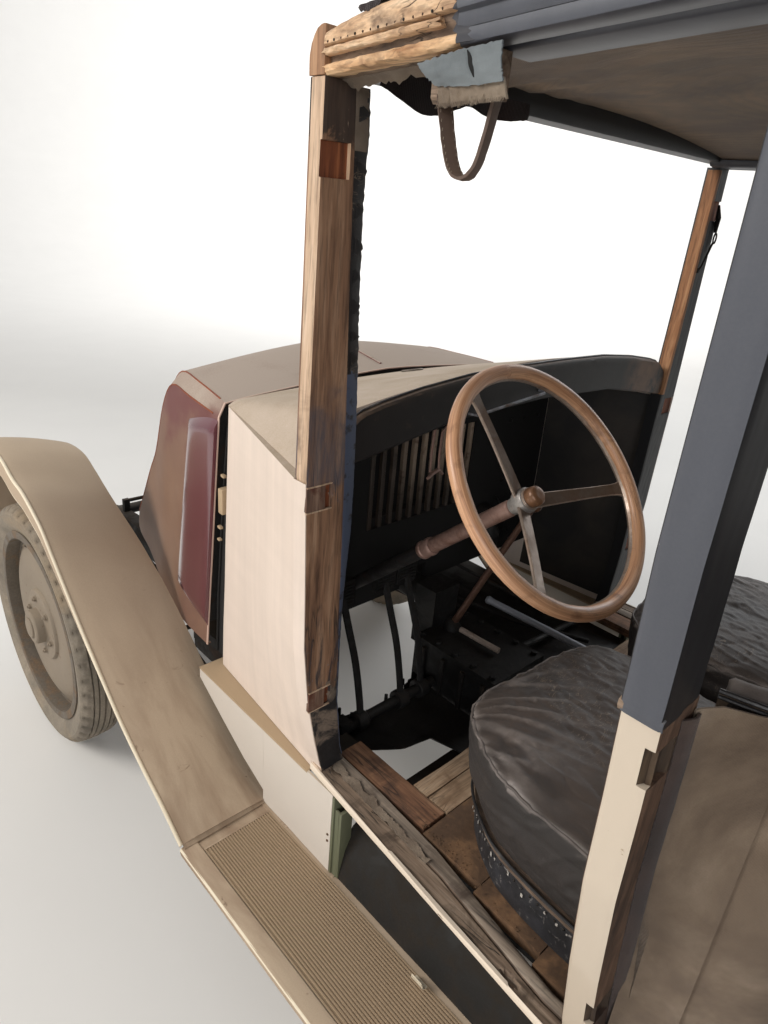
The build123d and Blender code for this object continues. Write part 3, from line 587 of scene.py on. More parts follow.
SLATE = paint("slate_paint", C(66, 69, 78), C(104, 101, 98), 0.7, 0.42, var=0.22, speck=0.25, bumps=0.14,
              side_dust=0.14, finish=slate_finish)
SLATE_DARK = paint("slate_dark", C(30, 30, 33), C(74, 70, 66), 0.5, 0.5, var=0.3, speck=0.3, bumps=0.15)
BLACK = paint("black_paint", C(20, 18, 18), C(66, 58, 50), 0.55, 0.5, var=0.4, scuff=C(88, 62, 44),
              scuff_at=(0.66, 0.72), speck=0.3, bumps=0.2)
DARK_IN = paint("dark_interior", C(16, 14, 13), C(50, 42, 34), 0.5, 0.8, var=0.4, speck=0.4, bumps=0.25)
CHASSIS = iron("chassis_black", C(26, 23, 21), C(54, 38, 27), (0.52, 0.66), 0.8, 0.15, C(78, 66, 52), 0.45)
OILY = iron("oily_iron", C(30, 27, 25), C(56, 42, 30), (0.52, 0.68), 0.65, 0.3, C(74, 62, 48), 0.4)
# near-black tray colour: partly painted shade under the sill
SHADE_TRAY = iron("undertray_shade", C(20, 17, 13), C(38, 30, 21), (0.45, 0.62), 0.95, 0.0, C(40, 34, 26), 0.3)
STEEL = iron("bare_steel", C(112, 104, 96), C(112, 72, 46), (0.52, 0.62), 0.45, 0.7, C(128, 112, 92), 0.3)
PALE_ROD = iron("pale_rod", C(182, 164, 150), C(124, 90, 70), (0.62, 0.76), 0.5, 0.15)
GREY_ROD = iron("grey_rod", C(140, 142, 148), C(96, 76, 64), (0.52, 0.66), 0.5, 0.3)
COLUMN = iron("column_tube", C(150, 120, 108), C(112, 74, 56), (0.5, 0.68), 0.45, 0.35)
def slat_finish(w, col):
    """Darker downward and towards the left-hand bars; palest near the top middle."""
    z, y = w.xyz("Z"), w.xyz("Y")
    jig = w.math("MULTIPLY", w.math("SUBTRACT", w.noise(14, 4, 0.6), 0.5), 0.12)
    pale_zone = w.math("MULTIPLY", w.step(w.math("ADD", z, jig), 0.86, 1.03), w.math("SUBTRACT", 1.0, w.step(w.math("ADD", y, jig), 0.02, 0.12)))
    return w.mix(w.math("SUBTRACT", 0.92, w.math("MULTIPLY", pale_zone, 0.9)), col, C(40, 31, 25))


SLATS = paint("radiator_slats", C(158, 138, 118), C(168, 150, 130), 0.4, 0.5, var=0.4, scuff=C(104, 80, 62),
              scuff_at=(0.55, 0.68), metal=0.15, streak=(60, 60, 6), finish=slat_finish)


def oak_finish(w, col):
    """Dark paint left above the top hinge, at the belt and near the foot; warm timber between."""
    z = w.xyz("Z")
    edge = w.math("MULTIPLY", w.math("SUBTRACT", w.noise(26, 5, 0.65, 0.6), 0.5), 0.16)
    zz = w.math("ADD", z, edge)
    top = w.step(zz, 1.575, 1.595)
    mid = w.math("MULTIPLY", w.step(zz, 1.10, 1.14), w.math("SUBTRACT", 1.0, w.step(zz, 1.19, 1.30)))
    foot = w.math("SUBTRACT", 1.0, w.step(zz, 0.70, 0.80))
    n = w.ramp(w.noise(1.0, 5, 0.65, 0.4, w.map((70, 70, 9))), [(0.36, 0.25), (0.6, 1.0)])
    col = w.mix(w.math("MULTIPLY", top, 0.88), col, C(44, 36, 32))
    col = w.mix(w.math("MULTIPLY", w.math("MULTIPLY", mid, n), 0.85), col, C(74, 72, 80))
    streak = w.math("MULTIPLY", w.math("SUBTRACT", 1.0, w.step(zz, 0.80, 0.96)), w.ramp(w.noise(1.0, 5, 0.66, 0.6, w.map((60, 60, 7))), [(0.52, 0.0), (0.6, 0.9)]))
    col = w.mix(streak, col, C(48, 46, 52))
    col = w.mix(w.math("MULTIPLY", w.math("MULTIPLY", foot, n), 0.95), col, C(38, 38, 43))
    flake = w.math("MULTIPLY", w.math("SUBTRACT", 1.0, w.step(zz, 0.76, 0.86)), w.ramp(w.noise(90, 4, 0.7, 0.5), [(0.62, 0.0), (0.68, 0.7)]))
    col = w.mix(flake, col, C(118, 120, 126))
    nick = w.ramp(w.noise(1.0, 4, 0.7, 0.4, w.map((180, 180, 30))), [(0.70, 0.0), (0.73, 0.8)])
    col = w.mix(w.math("MULTIPLY", nick, w.step(zz, 1.50, 1.60)), col, C(196, 168, 140))
    return col


OAK = wood("pillar_oak", C(84, 56, 40), C(142, 106, 80), C(176, 142, 114), "z", 0.72, 0.9, finish=oak_finish, bumps=0.7)
PILLAR_FOOT = iron("pillar_foot", C(30, 28, 29), C(122, 106, 92), (0.5, 0.6), 0.72, 0.0)
OAK_SIDE = wood("pillar_raw", C(150, 122, 98), C(196, 166, 138), C(216, 190, 164), "z", 0.7, 0.9, stain=C(104, 80, 62),
                stain_at=(0.62, 0.72), bumps=0.4)
MORTISE = wood("mortise", C(72, 36, 20), C(124, 66, 36), C(160, 98, 60), "z", 0.7, 1.0, stain=C(44, 24, 18),
               stain_at=(0.56, 0.7), stain_scale=30)
MORTISE_GREY = wood("worn_mortise", C(70, 50, 40), C(116, 88, 72), C(148, 120, 100), "z", 0.75, 0.9, stain=C(84, 42, 26),
                    stain_at=(0.50, 0.60), stain_scale=22)
NOTCH = wood("dark_notch", C(34, 24, 16), C(62, 46, 32), C(88, 70, 50), "z", 0.8, 0.9)
FRESH_CUT = wood("cut_edge", C(186, 146, 110), C(216, 180, 146), C(232, 202, 170), "z", 0.7, 0.3)
BEIGE_WOOD = wood("cantrail_wood", C(138, 104, 76), C(200, 164, 128), C(228, 198, 164), "x", 0.75, 1.0,
                  stain=C(84, 62, 46), stain_at=(0.53, 0.66), stain_scale=13, bumps=1.0)
BROWN_WOOD = wood("shaded_rail", C(70, 56, 46), C(112, 92, 76), C(146, 124, 104), "x", 0.78, 0.9, stain=C(58, 50, 46),
                  stain_at=(0.5, 0.66), bumps=0.8)
END_GRAIN = wood("end_grain", C(110, 78, 54), C(156, 116, 84), C(184, 146, 112), "z", 0.75, 0.6, fine=0.7)
GREY_WOOD = wood("sill_timber", C(76, 60, 48), C(134, 113, 94), C(170, 150, 130), "x", 0.78, 1.0, stain=C(70, 56, 44),
                 stain_at=(0.55, 0.7), stain_scale=16, bumps=0.9, rot=(0, 0, radians(5)))
JAMB_WOOD = wood("door_post_timber", C(54, 38, 28), C(92, 68, 52), C(124, 96, 76), "z", 0.74, 0.8, stain=C(40, 30, 26),
                 stain_at=(0.5, 0.66))
FLOOR_TAN = wood("tan_boards", C(118, 92, 68), C(160, 132, 104), C(186, 160, 132), "y", 0.82, 0.7, stain=C(104, 76, 52),
                 stain_at=(0.52, 0.7), stain_scale=9, bumps=0.6)
FLOOR_RED = wood("side_plank", C(84, 54, 38), C(128, 90, 64), C(152, 114, 86), "x", 0.82, 0.8, stain=C(62, 42, 32),
                 stain_at=(0.5, 0.66), stain_scale=12)
DIRT = iron("floor_dirt", C(82, 60, 42), C(116, 86, 60), (0.42, 0.6), 0.95, 0.0)


def rim_mat():
    w = Mat("rim_wood", 0.42, coat=0.15)
    at = w.n.new("ShaderNodeAttribute")
    at.attribute_name = "grain"
    g = w.n.new("ShaderNodeMapping")
    g.inputs["Scale"].default_value = (5, 90, 90)
    w.t.links.new(at.outputs["Vector"], g.inputs["Vector"])
    f = w.noise(1.0, 6, 0.62, 0.5, g.outputs[0])
    g2 = w.n.new("ShaderNodeMapping")
    g2.inputs["Scale"].default_value = (26, 340, 340)
    w.t.links.new(at.outputs["Vector"], g2.inputs["Vector"])
    f2 = w.noise(1.0, 4, 0.6, 0.2, g2.outputs[0])
    col = w.ramp(f, [(0.28, C(146, 100, 70)), (0.5, C(192, 144, 108)), (0.74, C(222, 178, 142))])
    col = w.mix(0.4, col, w.ramp(f2, [(0.35, 0.55), (0.55, 1.0)]), "MULTIPLY")
    wear = w.ramp(w.noise(22, 5, 0.6, 0.5), [(0.56, 0.0), (0.74, 0.75)])
    col = w.mix(wear, col, C(92, 58, 38))
    crack = w.ramp(w.noise(1.0, 3, 0.5, 1.0, g.outputs[0]), [(0.488, 0.0), (0.5, 1.0), (0.512, 0.0)])
    crack = w.math("MULTIPLY", crack, w.ramp(w.noise(7, 2), [(0.52, 0.0), (0.6, 0.85)]))
    col = w.mix(crack, col, C(34, 24, 18))
    w.set(color=col, rough=w.ramp(f, [(0.3, 0.5), (0.7, 0.36)]),
          normal=w.bump(w.math("SUBTRACT", f2, w.math("MULTIPLY", crack, 0.8)), 0.3, 0.0008))
    return w.m


RIM = rim_mat()
SPOKE = iron("spoke_metal", C(104, 92, 84), C(92, 66, 50), (0.46, 0.66), 0.42, 0.55, C(140, 122, 104), 0.4)
SPOKE_EDGE = iron("spoke_edge", C(168, 150, 136), C(128, 98, 78), (0.55, 0.7), 0.4, 0.6)
HUB_GREY = iron("hub_metal", C(166, 160, 154), C(120, 96, 78), (0.56, 0.7), 0.38, 0.5)
KNOB = iron("hub_knob", C(128, 92, 66), C(86, 56, 38), (0.45, 0.6), 0.4, 0.2)


def leather_mat(name, base, high, dust, dust_amt=0.55, rough=0.5):
    w = Mat(name, rough, coat=0.1, coat_rough=0.35)
    cells = w.vor(420, "DISTANCE_TO_EDGE")
    grain = w.noise(260, 4, 0.65)
    slow = w.noise(4.2, 6, 0.62, 0.5)
    col = w.mix(w.ramp(slow, [(0.3, 0.0), (0.7, 1.0)]), base, high)
    up = w.step(w.facing("Z"), 0.0, 0.95)
    cloud = w.ramp(w.noise(9, 6, 0.66, 0.8), [(0.3, 0.15), (0.7, 1.0)])
    amt = w.math("MULTIPLY", w.math("MULTIPLY", up, dust_amt), cloud, True)
    col = w.mix(amt, col, dust)
    scratch = w.ramp(w.noise(1.0, 4, 0.6, 2.2, w.map((26, 9, 26))), [(0.492, 0.0), (0.5, 0.55), (0.508, 0.0)])
    col = w.mix(w.math("MULTIPLY", scratch, w.ramp(w.noise(6, 2), [(0.45, 0.0), (0.6, 1.0)])), col, C(150, 132, 112))
    # the wear attribute lightens towards grey: on the front cushions and the tub rolls partly worn leather, partly a
    # painted highlight
    wear = w.attr("wear")
    col = w.mix(w.math("MULTIPLY", wear, w.ramp(w.noise(70, 4, 0.6), [(0.25, 0.45), (0.6, 1.0)]), True), col,
                C(132, 122, 116))
    w.set(color=col, rough=w.math("ADD", w.math("MULTIPLY", amt, 0.4), rough),
          normal=w.bump(w.math("ADD", w.ramp(cells, [(0.0, 0.0), (0.12, 1.0)]), grain), 0.25, 0.0006))
    return w.m


LEATHER = leather_mat("black_leather", C(27, 24, 23), C(50, 43, 40), C(96, 80, 68), 0.5, 0.62)


def skirt_mat():
    w = Mat("scuffed_skirt", 0.6)
    flakes = w.noise(70, 5, 0.7, 0.6)
    big = w.noise(16, 4, 0.6, 0.5)
    col = w.mix(w.ramp(big, [(0.35, 0.0), (0.7, 1.0)]), C(24, 24, 26), C(54, 54, 58))
    col = w.mix(w.ramp(flakes, [(0.58, 0.0), (0.68, 0.75)]), col, C(150, 144, 138))
    w.set(color=col, normal=w.bump(flakes, 0.4, 0.001))
    return w.m


SKIRT = skirt_mat()
PIPING = iron("piping", C(52, 50, 50), C(96, 90, 86), (0.56, 0.7), 0.35, 0.3)
KHAKI = cloth("khaki_cloth", C(124, 106, 88), C(92, 76, 62), C(158, 140, 120), 1300, stain=C(94, 78, 64))
LINING = cloth("headlining_cloth", C(108, 86, 62), C(82, 64, 46), C(132, 108, 80), 700, stain=C(74, 56, 42))
SILL_CLOTH = cloth("sill_fringe_cloth", C(126, 110, 94), C(82, 68, 56), C(168, 152, 132), 1500)
PATCH = cloth("grey_patch", C(112, 118, 120), C(88, 92, 94), C(134, 140, 142), 2400, stain=C(86, 80, 72), bumps=0.4)
BACKING = cloth("frayed_backing", C(146, 128, 108), C(104, 86, 70), C(178, 162, 142), 1500, stain=C(92, 72, 56), bumps=0.9)
RAG = cloth("black_rag", C(36, 28, 28), C(24, 20, 20), C(54, 40, 38), 600)
TAPE = leather_mat("cracked_tape", C(20, 19, 19), C(38, 36, 36), C(110, 102, 96), 0.3, 0.42)
STRAP = leather_mat("brown_strap", C(66, 50, 42), C(106, 84, 70), C(126, 106, 90), 0.4, 0.6)


def tyre_mat():
    w = Mat("dusty_tyre", 0.85)
    a, b = w.noise(9, 6, 0.65, 0.5), w.noise(180, 3, 0.6)
    col = w.ramp(a, [(0.25, C(98, 90, 80)), (0.5, C(124, 114, 100)), (0.75, C(146, 134, 118))])
    col = w.mix(w.ramp(w.noise(4, 5, 0.6, 0.6), [(0.5, 0.0), (0.7, 0.7)]), col, C(140, 120, 94))
    col = w.mix(0.5, col, w.ramp(b, [(0.3, 0.7), (0.7, 1.15)]), "MULTIPLY")
    # painted shade: points whose 'deep' value is below 1 (tread grooves and knob gaps) are darkened
    low = w.math("SUBTRACT", 1.0, w.step(w.attr("deep"), 0.0, 1.0))
    col = w.mix(w.math("MULTIPLY", low, 0.34), col, C(58, 50, 42))
    w.set(color=col, normal=w.bump(b, 0.3, 0.0008))
    return w.m


TYRE_MAT = tyre_mat()
WHEEL_PAINT = paint("wheel_paint", C(120, 108, 94), C(146, 130, 108), 0.6, 0.6, var=0.4, scuff=C(96, 72, 54),
                    scuff_at=(0.62, 0.68), side_dust=0.35, speck=0.4)
WHEEL_DARK = iron("wheel_shadow_ring", C(96, 86, 74), C(112, 92, 72), (0.5, 0.62), 0.75, 0.05)
BOARD_MAT = paint("ribbed_mat", C(142, 120, 94), C(160, 138, 112), 0.8, 0.8, var=0.35, speck=0.4, side_dust=0.3)
OLIVE = paint("olive_post", C(98, 100, 78), C(122, 118, 94), 0.4, 0.6, var=0.3)
ROOF_BLACK = paint("roof_cover", C(44, 44, 50), C(104, 98, 92), 0.75, 0.7, var=0.35, speck=0.4, bumps=0.4)


# ---- front wings ----------------------------------------------------------------
def wing():
    rows = spline(WING, 5)
    sheet, bead, roll = [], [], []
    for i, (xo, zo, xi, zi, sk) in enumerate(rows):
        a, b = rows[max(i - 1, 0)], rows[min(i + 1, len(rows) - 1)]
        dx, dz = b[0] - a[0], b[1] - a[1]
        n = math.hypot(dx, dz)
        nx, nzz = dz / n, -dx / n
        line = []
        for d in (10, 4):
            line.append((xi - nx * d, 501, zi - nzz * d))
        for k in range(17):
            v = k / 16
            x, y, z = lerp(xi, xo, v), lerp(500, 722, v), lerp(zi, zo, v)
            bulge = 8.5 * sin(pi * v) ** 0.8 - 2.0 * smooth(0.9, 1.0, v)
            line.append((x + nx * bulge, y, z + nzz * bulge))
        for d, y in ((4, 725.5), (sk * 0.35, 726), (sk * 0.7, 725), (sk, 723.5)):
            line.append((xo - nx * d, y, zo - nzz * d))
        sheet.append(line)
        bead.append((xo - nx * 3, 722.8, zo - nzz * 3))
        roll.append((xo - nx * (sk - 2), 721.5, zo - nzz * (sk - 2)))
    g = Geo().grid(sheet).mirror()
    build("front_wing_sheets", g, WING_DUST, "chassis", ("front_wings",), thick=2.2,
          wob=lambda x, y, z, n: 0.7 * nz(x / 130, y / 90, z / 130))
    g = Geo().tube(bead, 4.1, 10)
    g.tube(roll, 2.6, 8)
    build("front_wing_beads", g.mirror(), BEAD, "chassis")
    g = Geo()
    g.tube([(1488, 310, 462), (1488, 344, 462)], 12, 14)
    g.tube([(1488, 334, 463), (1488, 380, 494), (1488, 526, 604)], [9, 9, 8.4], 12)
    g.tube([(1488, 318, 462), (1488, 323, 462)], 17, 6)
    g.mirror()
    build("front_wing_stays", g, CHASSIS, "chassis")


def wing_feet():
    """The lapped flange that closes the step between the wing's foot and the board."""
    rows = spline(WING, 5)
    ends = [rows[0], rows[-1]]
    xo, zo, xi, zi, sk = min(ends, key=lambda r: abs(r[0] - RB_FRONT))
    out = []
    for k in range(17):
        v = k / 16
        x, y, z = lerp(xi, xo, v), lerp(503, 720, v), lerp(zi, zo, v) + 7.2 * sin(pi * v) ** 0.8 - 1.0
        out.append([(x + 2.5, y, z), (x - 0.5, y, z - 0.5), (x - 4, y, lerp(z, RB_TOP + 1, 0.55)), (x - 8, y, RB_TOP + 1.2)])
    build("wing_foot_flanges", Geo().grid(out).mirror(), WING_DUST, "chassis", thick=1.0)


wing()
wing_feet()


# ---- running boards ---------------------------------------------------------------
def boards():
    g = Geo()
    xs = [RB_REAR + (RB_FRONT - RB_REAR) * k / 40 for k in range(41)]
    prof = [(RB_IN, RB_TOP - 22), (RB_IN, RB_TOP - 2), (RB_IN + 2, RB_TOP), (541, RB_TOP), (541.6, RB_TOP - 1.6),
            (690.6, RB_TOP - 2.6), (692.4, RB_TOP - 2.6), (693, RB_TOP), (RB_OUT - 6, RB_TOP), (RB_OUT - 2, RB_TOP - 2.5), (RB_OUT - 1, RB_TOP - 12),
            (RB_OUT - 3, RB_TOP - 22), (RB_OUT - 9, RB_TOP - 22), (RB_OUT - 12, RB_TOP - 18), (RB_IN + 6, RB_TOP - 18)]
    g.rings([[(x, y, z) for y, z in prof] for x in xs])
    build("running_board_tops", g.mirror(), WING_DUST, "chassis", ("running_boards",),
          wob=lambda x, y, z, n: 0.5 * nz(x / 90, y / 60, z / 60))
    g = Geo()
    for x in (60, -1150):
        g.box(x - 25, x + 25, 430, RB_IN + 150, RB_TOP - 52, RB_TOP - 22)
        g.box(x - 25, x + 25, 430, 442, RB_TOP - 52, 500)
    build("running_board_brackets", g.mirror(), CHASSIS, "chassis", bevel=3)
    # ribbed mat: a flat border and lengthwise ribs
    g = Geo()
    y0, y1, top, low = 540.0, 690.2, RB_TOP + 0.9, RB_TOP - 1.4
    prof = [(y0, low), (y0 + 0.6, top), (y0 + 3, top), (y0 + 3.6, low + 0.4)]
    y = y0 + 5.0
    while y < y1 - 7:
        prof += [(y, low + 0.2), (y + 0.8, top), (y + 2.9, top), (y + 3.7, low + 0.2)]
        y += 5.6
    prof += [(y1 - 3.2, low + 0.4), (y1 - 2.6, top), (y1 - 0.6, top), (y1, low)]
    rows = [[(x, y, z) for y, z in prof] for x in (RB_REAR + 20, -1000, -640, -280, 0, 80, RB_FRONT - 33)]
    g.grid(rows)
    build("running_board_mats", g.mirror(), BOARD_MAT, "chassis", angle=25)
    g = Geo()
    g.box(RB_FRONT - 33.4, RB_FRONT - 29, y0, y1, low, top)
    g.box(RB_REAR + 12, RB_REAR + 20.4, y0, y1, low, top)
    build("mat_end_strips", g.mirror(), WING_DUST, "chassis", bevel=0.8)
    g = Geo().tube([(x, RB_OUT - 4.6, RB_TOP - 5.5) for x in xs], 4.2, 10)
    g.mirror()
    build("running_board_beads", g, BEAD, "chassis")
    # bent clips that held the splash panel, and a row of small studs
    g = Geo()
    for x in (-310, -760):
        rows = []
        for k in range(7):
            a = radians(15 * k)
            rows.append([(x - 13, 546 + 14 * sin(a), 347 + 14 * (1 - cos(a)) + 4), (x + 13, 546 + 14 * sin(a), 347 + 14 * (1 - cos(a)) + 4)])
        rows.append([(x - 11, 562, 372), (x + 11, 562, 372)])
        g.grid(rows)
    build("board_clips", g.mirror(), BEAD, "chassis", thick=1.6)
    g = Geo()
    for x in (90, -60, -420, -700, -980, -1240):
        g.disc((x, 534, RB_TOP), (0, 0, 1), 3.4, 1.4, 12)
    build("board_studs", g.mirror(), WING_DUST, "chassis")


boards()


# ---- valances under the scuttle ------------------------------------------------------
def valances():
    g = Geo()
    for x0, x1 in ((-45, 176),):
        cols = [x0 + (x1 - x0) * k / 10 for k in range(11)]
        g.grid([[(x, 533.6 + 0.8 * nz(x / 60, z / 50, 2), z) for x in cols] for z in (346, 380, 420, 460, 500, 530, 537, 539.4)])
    low = [(176, 376), (251, 408), (335, 455), (432, 512)]
    cols = straight(low, 16)
    g.grid([[(x, 533.8, lerp(z, 539.4, t)) for x, z in cols] for t in (0, 0.25, 0.5, 0.75, 1)])
    build("valance_sheets", g.mirror(), VALANCE_PAINT, "chassis", ("valances",), thick=4.2)
    g = Geo()
    g.grid([[(x, y, 540 + 0.4 * nz(x / 40, y / 20, 5)) for x in [31 + 401 * k / 24 for k in range(25)]]
            for y in (471, 490, 510, 528, 534.4)])
    build("valance_ledges", g.mirror(), LEDGE, "chassis", thick=5)
    g = Geo().box(-52, -46, 505, 534, 346, 536)
    g.box(-64, -52, 527, 531, 346, 509)
    g.box(-70, -64, 503, 531, 346, 509)
    build("valance_posts", g.mirror(), OLIVE, "chassis", bevel=0.8,
          wob=lambda x, y, z, n: 0.4 * nz(x / 9, y / 9, z / 20))
    # dark splash tray between the frame and the board; its near-black colour is partly the tray's own and partly
    # painted shade of the ground under the sill
    rows = []
    for k in range(41):
        x = lerp(-64, RB_REAR + 60, k / 40)
        rows.append([(x, 470, 470 + 2 * nz(x / 80, 1, 1)), (x, 496, 452), (x, 516, 410 + 2 * nz(x / 60, 2, 2)), (x, 526, 368), (x, 529, 345)])
    build("undertray_shade_sheets", Geo().grid(rows).mirror(), SHADE_TRAY, "chassis", thick=1.6,
          wob=lambda x, y, z, n: 0.9 * nz(x / 70, y / 30, z / 30))
    g = Geo()
    for z in (421, 437):
        g.disc((-38, 534, z), (0, 1, 0), 2.6, 1.6, 10)
    build("valance_nails", g.mirror(), iron("nail_head", C(96, 78, 60), C(128, 84, 54)), "chassis")


valances()


# ---- scuttle ------------------------------------------------------------------------
def side_y(x, z):
    if z >= 560:
        a, b = interp(SIDE, z, 0, 1), interp(SIDE, z, 0, 2)
    else:
        a, b = 488 + (560 - z) * 0.02, 524 - (560 - z) * 0.10
    return lerp(b, a, (x - 31) / (412 - 31))


def scuttle():
    zs = [r[0] for r in spline([(541.5,), (560,), (642,), (740,), (848,), (943,), (1040,), (1100,), (1141.6,)], 4)]
    ys = {z: (side_y(412, z), side_y(31, z)) for z in zs}
    rings = []
    for z in zs:
        def yy(x):
            return lerp(ys[z][1], ys[z][0], (x - 31) / 381) + 0.35 * nz(x / 120, z / 160, 3)
        o = [(x, yy(x), z) for x in (31.5, 60, 110, 160, 210, 260, 310, 360, 395, 406)]
        o += [(409.5, yy(409) - 1.0, z), (411.6, yy(411) - 3.2, z), (412, yy(412) - 6, z), (412, yy(412) - 16, z)]
        o += [(x, yy(x) - 15.6, z) for x in (360, 260, 160, 60, 31.5)]
        rings.append(o)
    g = Geo().rings(rings, flip=True)
    build("scuttle_side_panels", g.mirror(), PRIMER, "chassis", ("scuttle_sides",))
    # the panel's edge wraps the pillar's outer side below the belt
    g = Geo()
    rows = []
    for z in zs:
        yo = interp(A_OUT, z) if z > 560 else 522
        rows.append([(30.5, yo + 2.0, z), (16, yo + 1.9, z), (4, yo + 1.8, z), (1.2, yo + 1.2, z)])
    g.grid(rows)
    build("scuttle_side_returns", g.mirror(), PRIMER, "chassis", thick=1.6)
    # arched top
    rows = []
    for k in range(15):
        x = lerp(412, 31, k / 14)
        t = k / 14
        yc, zc, ysh, zsh, cr = lerp(463, 566, t), 1142.6, lerp(448, 478, t), lerp(1150, 1231, t), lerp(1166, 1269, t)
        half = [(yc, zc), (lerp(yc, ysh, 0.25), lerp(zc, zsh, 0.25)), (lerp(yc, ysh, 0.5), lerp(zc, zsh, 0.5)),
                (lerp(yc, ysh, 0.8), lerp(zc, zsh, 0.82))]
        for j in range(11):
            y = ysh * (1 - j / 10) * 0.985
            half.append((y, zsh + 1 + (cr - zsh - 1) * (1 - (y / ysh) ** 2)))
        half = [(y, z) for y, z in half]
        row = [(x, y, z + 0.4 * nz(x / 90, y / 90, 4)) for y, z in half] + \
              [(x, -y, z + 0.4 * nz(x / 90, -y / 90, 4)) for y, z in reversed(half[:-1])]
        rows.append(row)
    g = Geo().grid(rows)
    o = fresh("scuttle_top_panel", g, [PRIMER])
    m = o.modifiers.new("t", "SOLIDIFY")
    m.thickness, m.offset = 0.013, -1
    cut = fresh("cutter", Geo().tube([(350, 20, 1080), (350, 20, 1300)], 20, 32), [PRIMER])
    b = o.modifiers.new("c", "BOOLEAN")
    b.object, b.operation, b.solver = cut, "DIFFERENCE", "EXACT"
    settle(o)
    bpy.data.objects.remove(cut)
    place(o, "chassis", ("scuttle_top",))
    g = Geo()
    ring = [(350 + 22.5 * cos(a), 20 + 22.5 * sin(a)) for a in [2 * pi * k / 40 for k in range(40)]]

    def topz(x, y):
        t = (412 - x) / 381
        ysh, zsh, cr = lerp(448, 478, t), lerp(1150, 1231, t), lerp(1166, 1269, t)
        return zsh + (cr - zsh) * (1 - (y / ysh) ** 2)
    g.tube([(x, y, topz(x, y) + 1.5) for x, y in ring + ring[:1]], 2.6, 8, caps=False)
    build("filler_ring", g, STEEL, "chassis")
    # ledge that the bonnet's rear edge rests on, seen in the gap
    rows = []
    for x in (404, 414, 430, 445.5):
        half = [(486, 560), (480, 700), (469, 860), (458, 1000), (449, 1090), (445, 1112), (433, 1128), (410, 1136),
                (300, 1146), (150, 1153), (0, 1156)]
        row = [(x, y - 4, z - 4) for y, z in half]
        rows.append(row + [(x, -y, z) for x, y, z in reversed(row[:-1])])
    g = Geo().grid(rows)
    build("bonnet_ledge", g, DARK_IN, "chassis", thick=7)
    # packing block and lacing lugs on the ledge
    g = Geo()
    g.box(420, 438, 452, 476, 905, 962)
    g.mirror()
    build("ledge_blocks", g, LEDGE, "chassis", bevel=2.5, wob=lambda x, y, z, n: 0.8 * nz(x / 8, y / 8, z / 14))
    g = Geo()
    for z, y, r in ((988, 466, 3.6), (874, 476, 3.4), (846, 478, 2.8)):
        g.oriented((431, y - 1, z), (r * 1.6, 0, 0.6), (0, 4, 0), (0, 0, r * 0.8))
    build("ledge_studs", g.mirror(), LEDGE, "chassis", bevel=1)
    # the ledge's lit lower lip and a lacing strip
    g = Geo().tube([(440, y - 2, z) for y, z in ((486, 560), (480, 700), (469, 860), (458, 1000), (449, 1090))], 2.6, 8)
    build("ledge_lacing", g.mirror(), DARK_IN, "chassis")


scuttle()


# ---- bonnet ---------------------------------------------------------------------------
BON = spline(BONNET, 4)


def bonnet_side(x, z):
    r = [interp(BON, x, 0, k) for k in range(8)]
    t = max(0.0, min(1.0, (z - r[2]) / (r[4] - r[2])))
    return lerp(r[1], r[3], t)


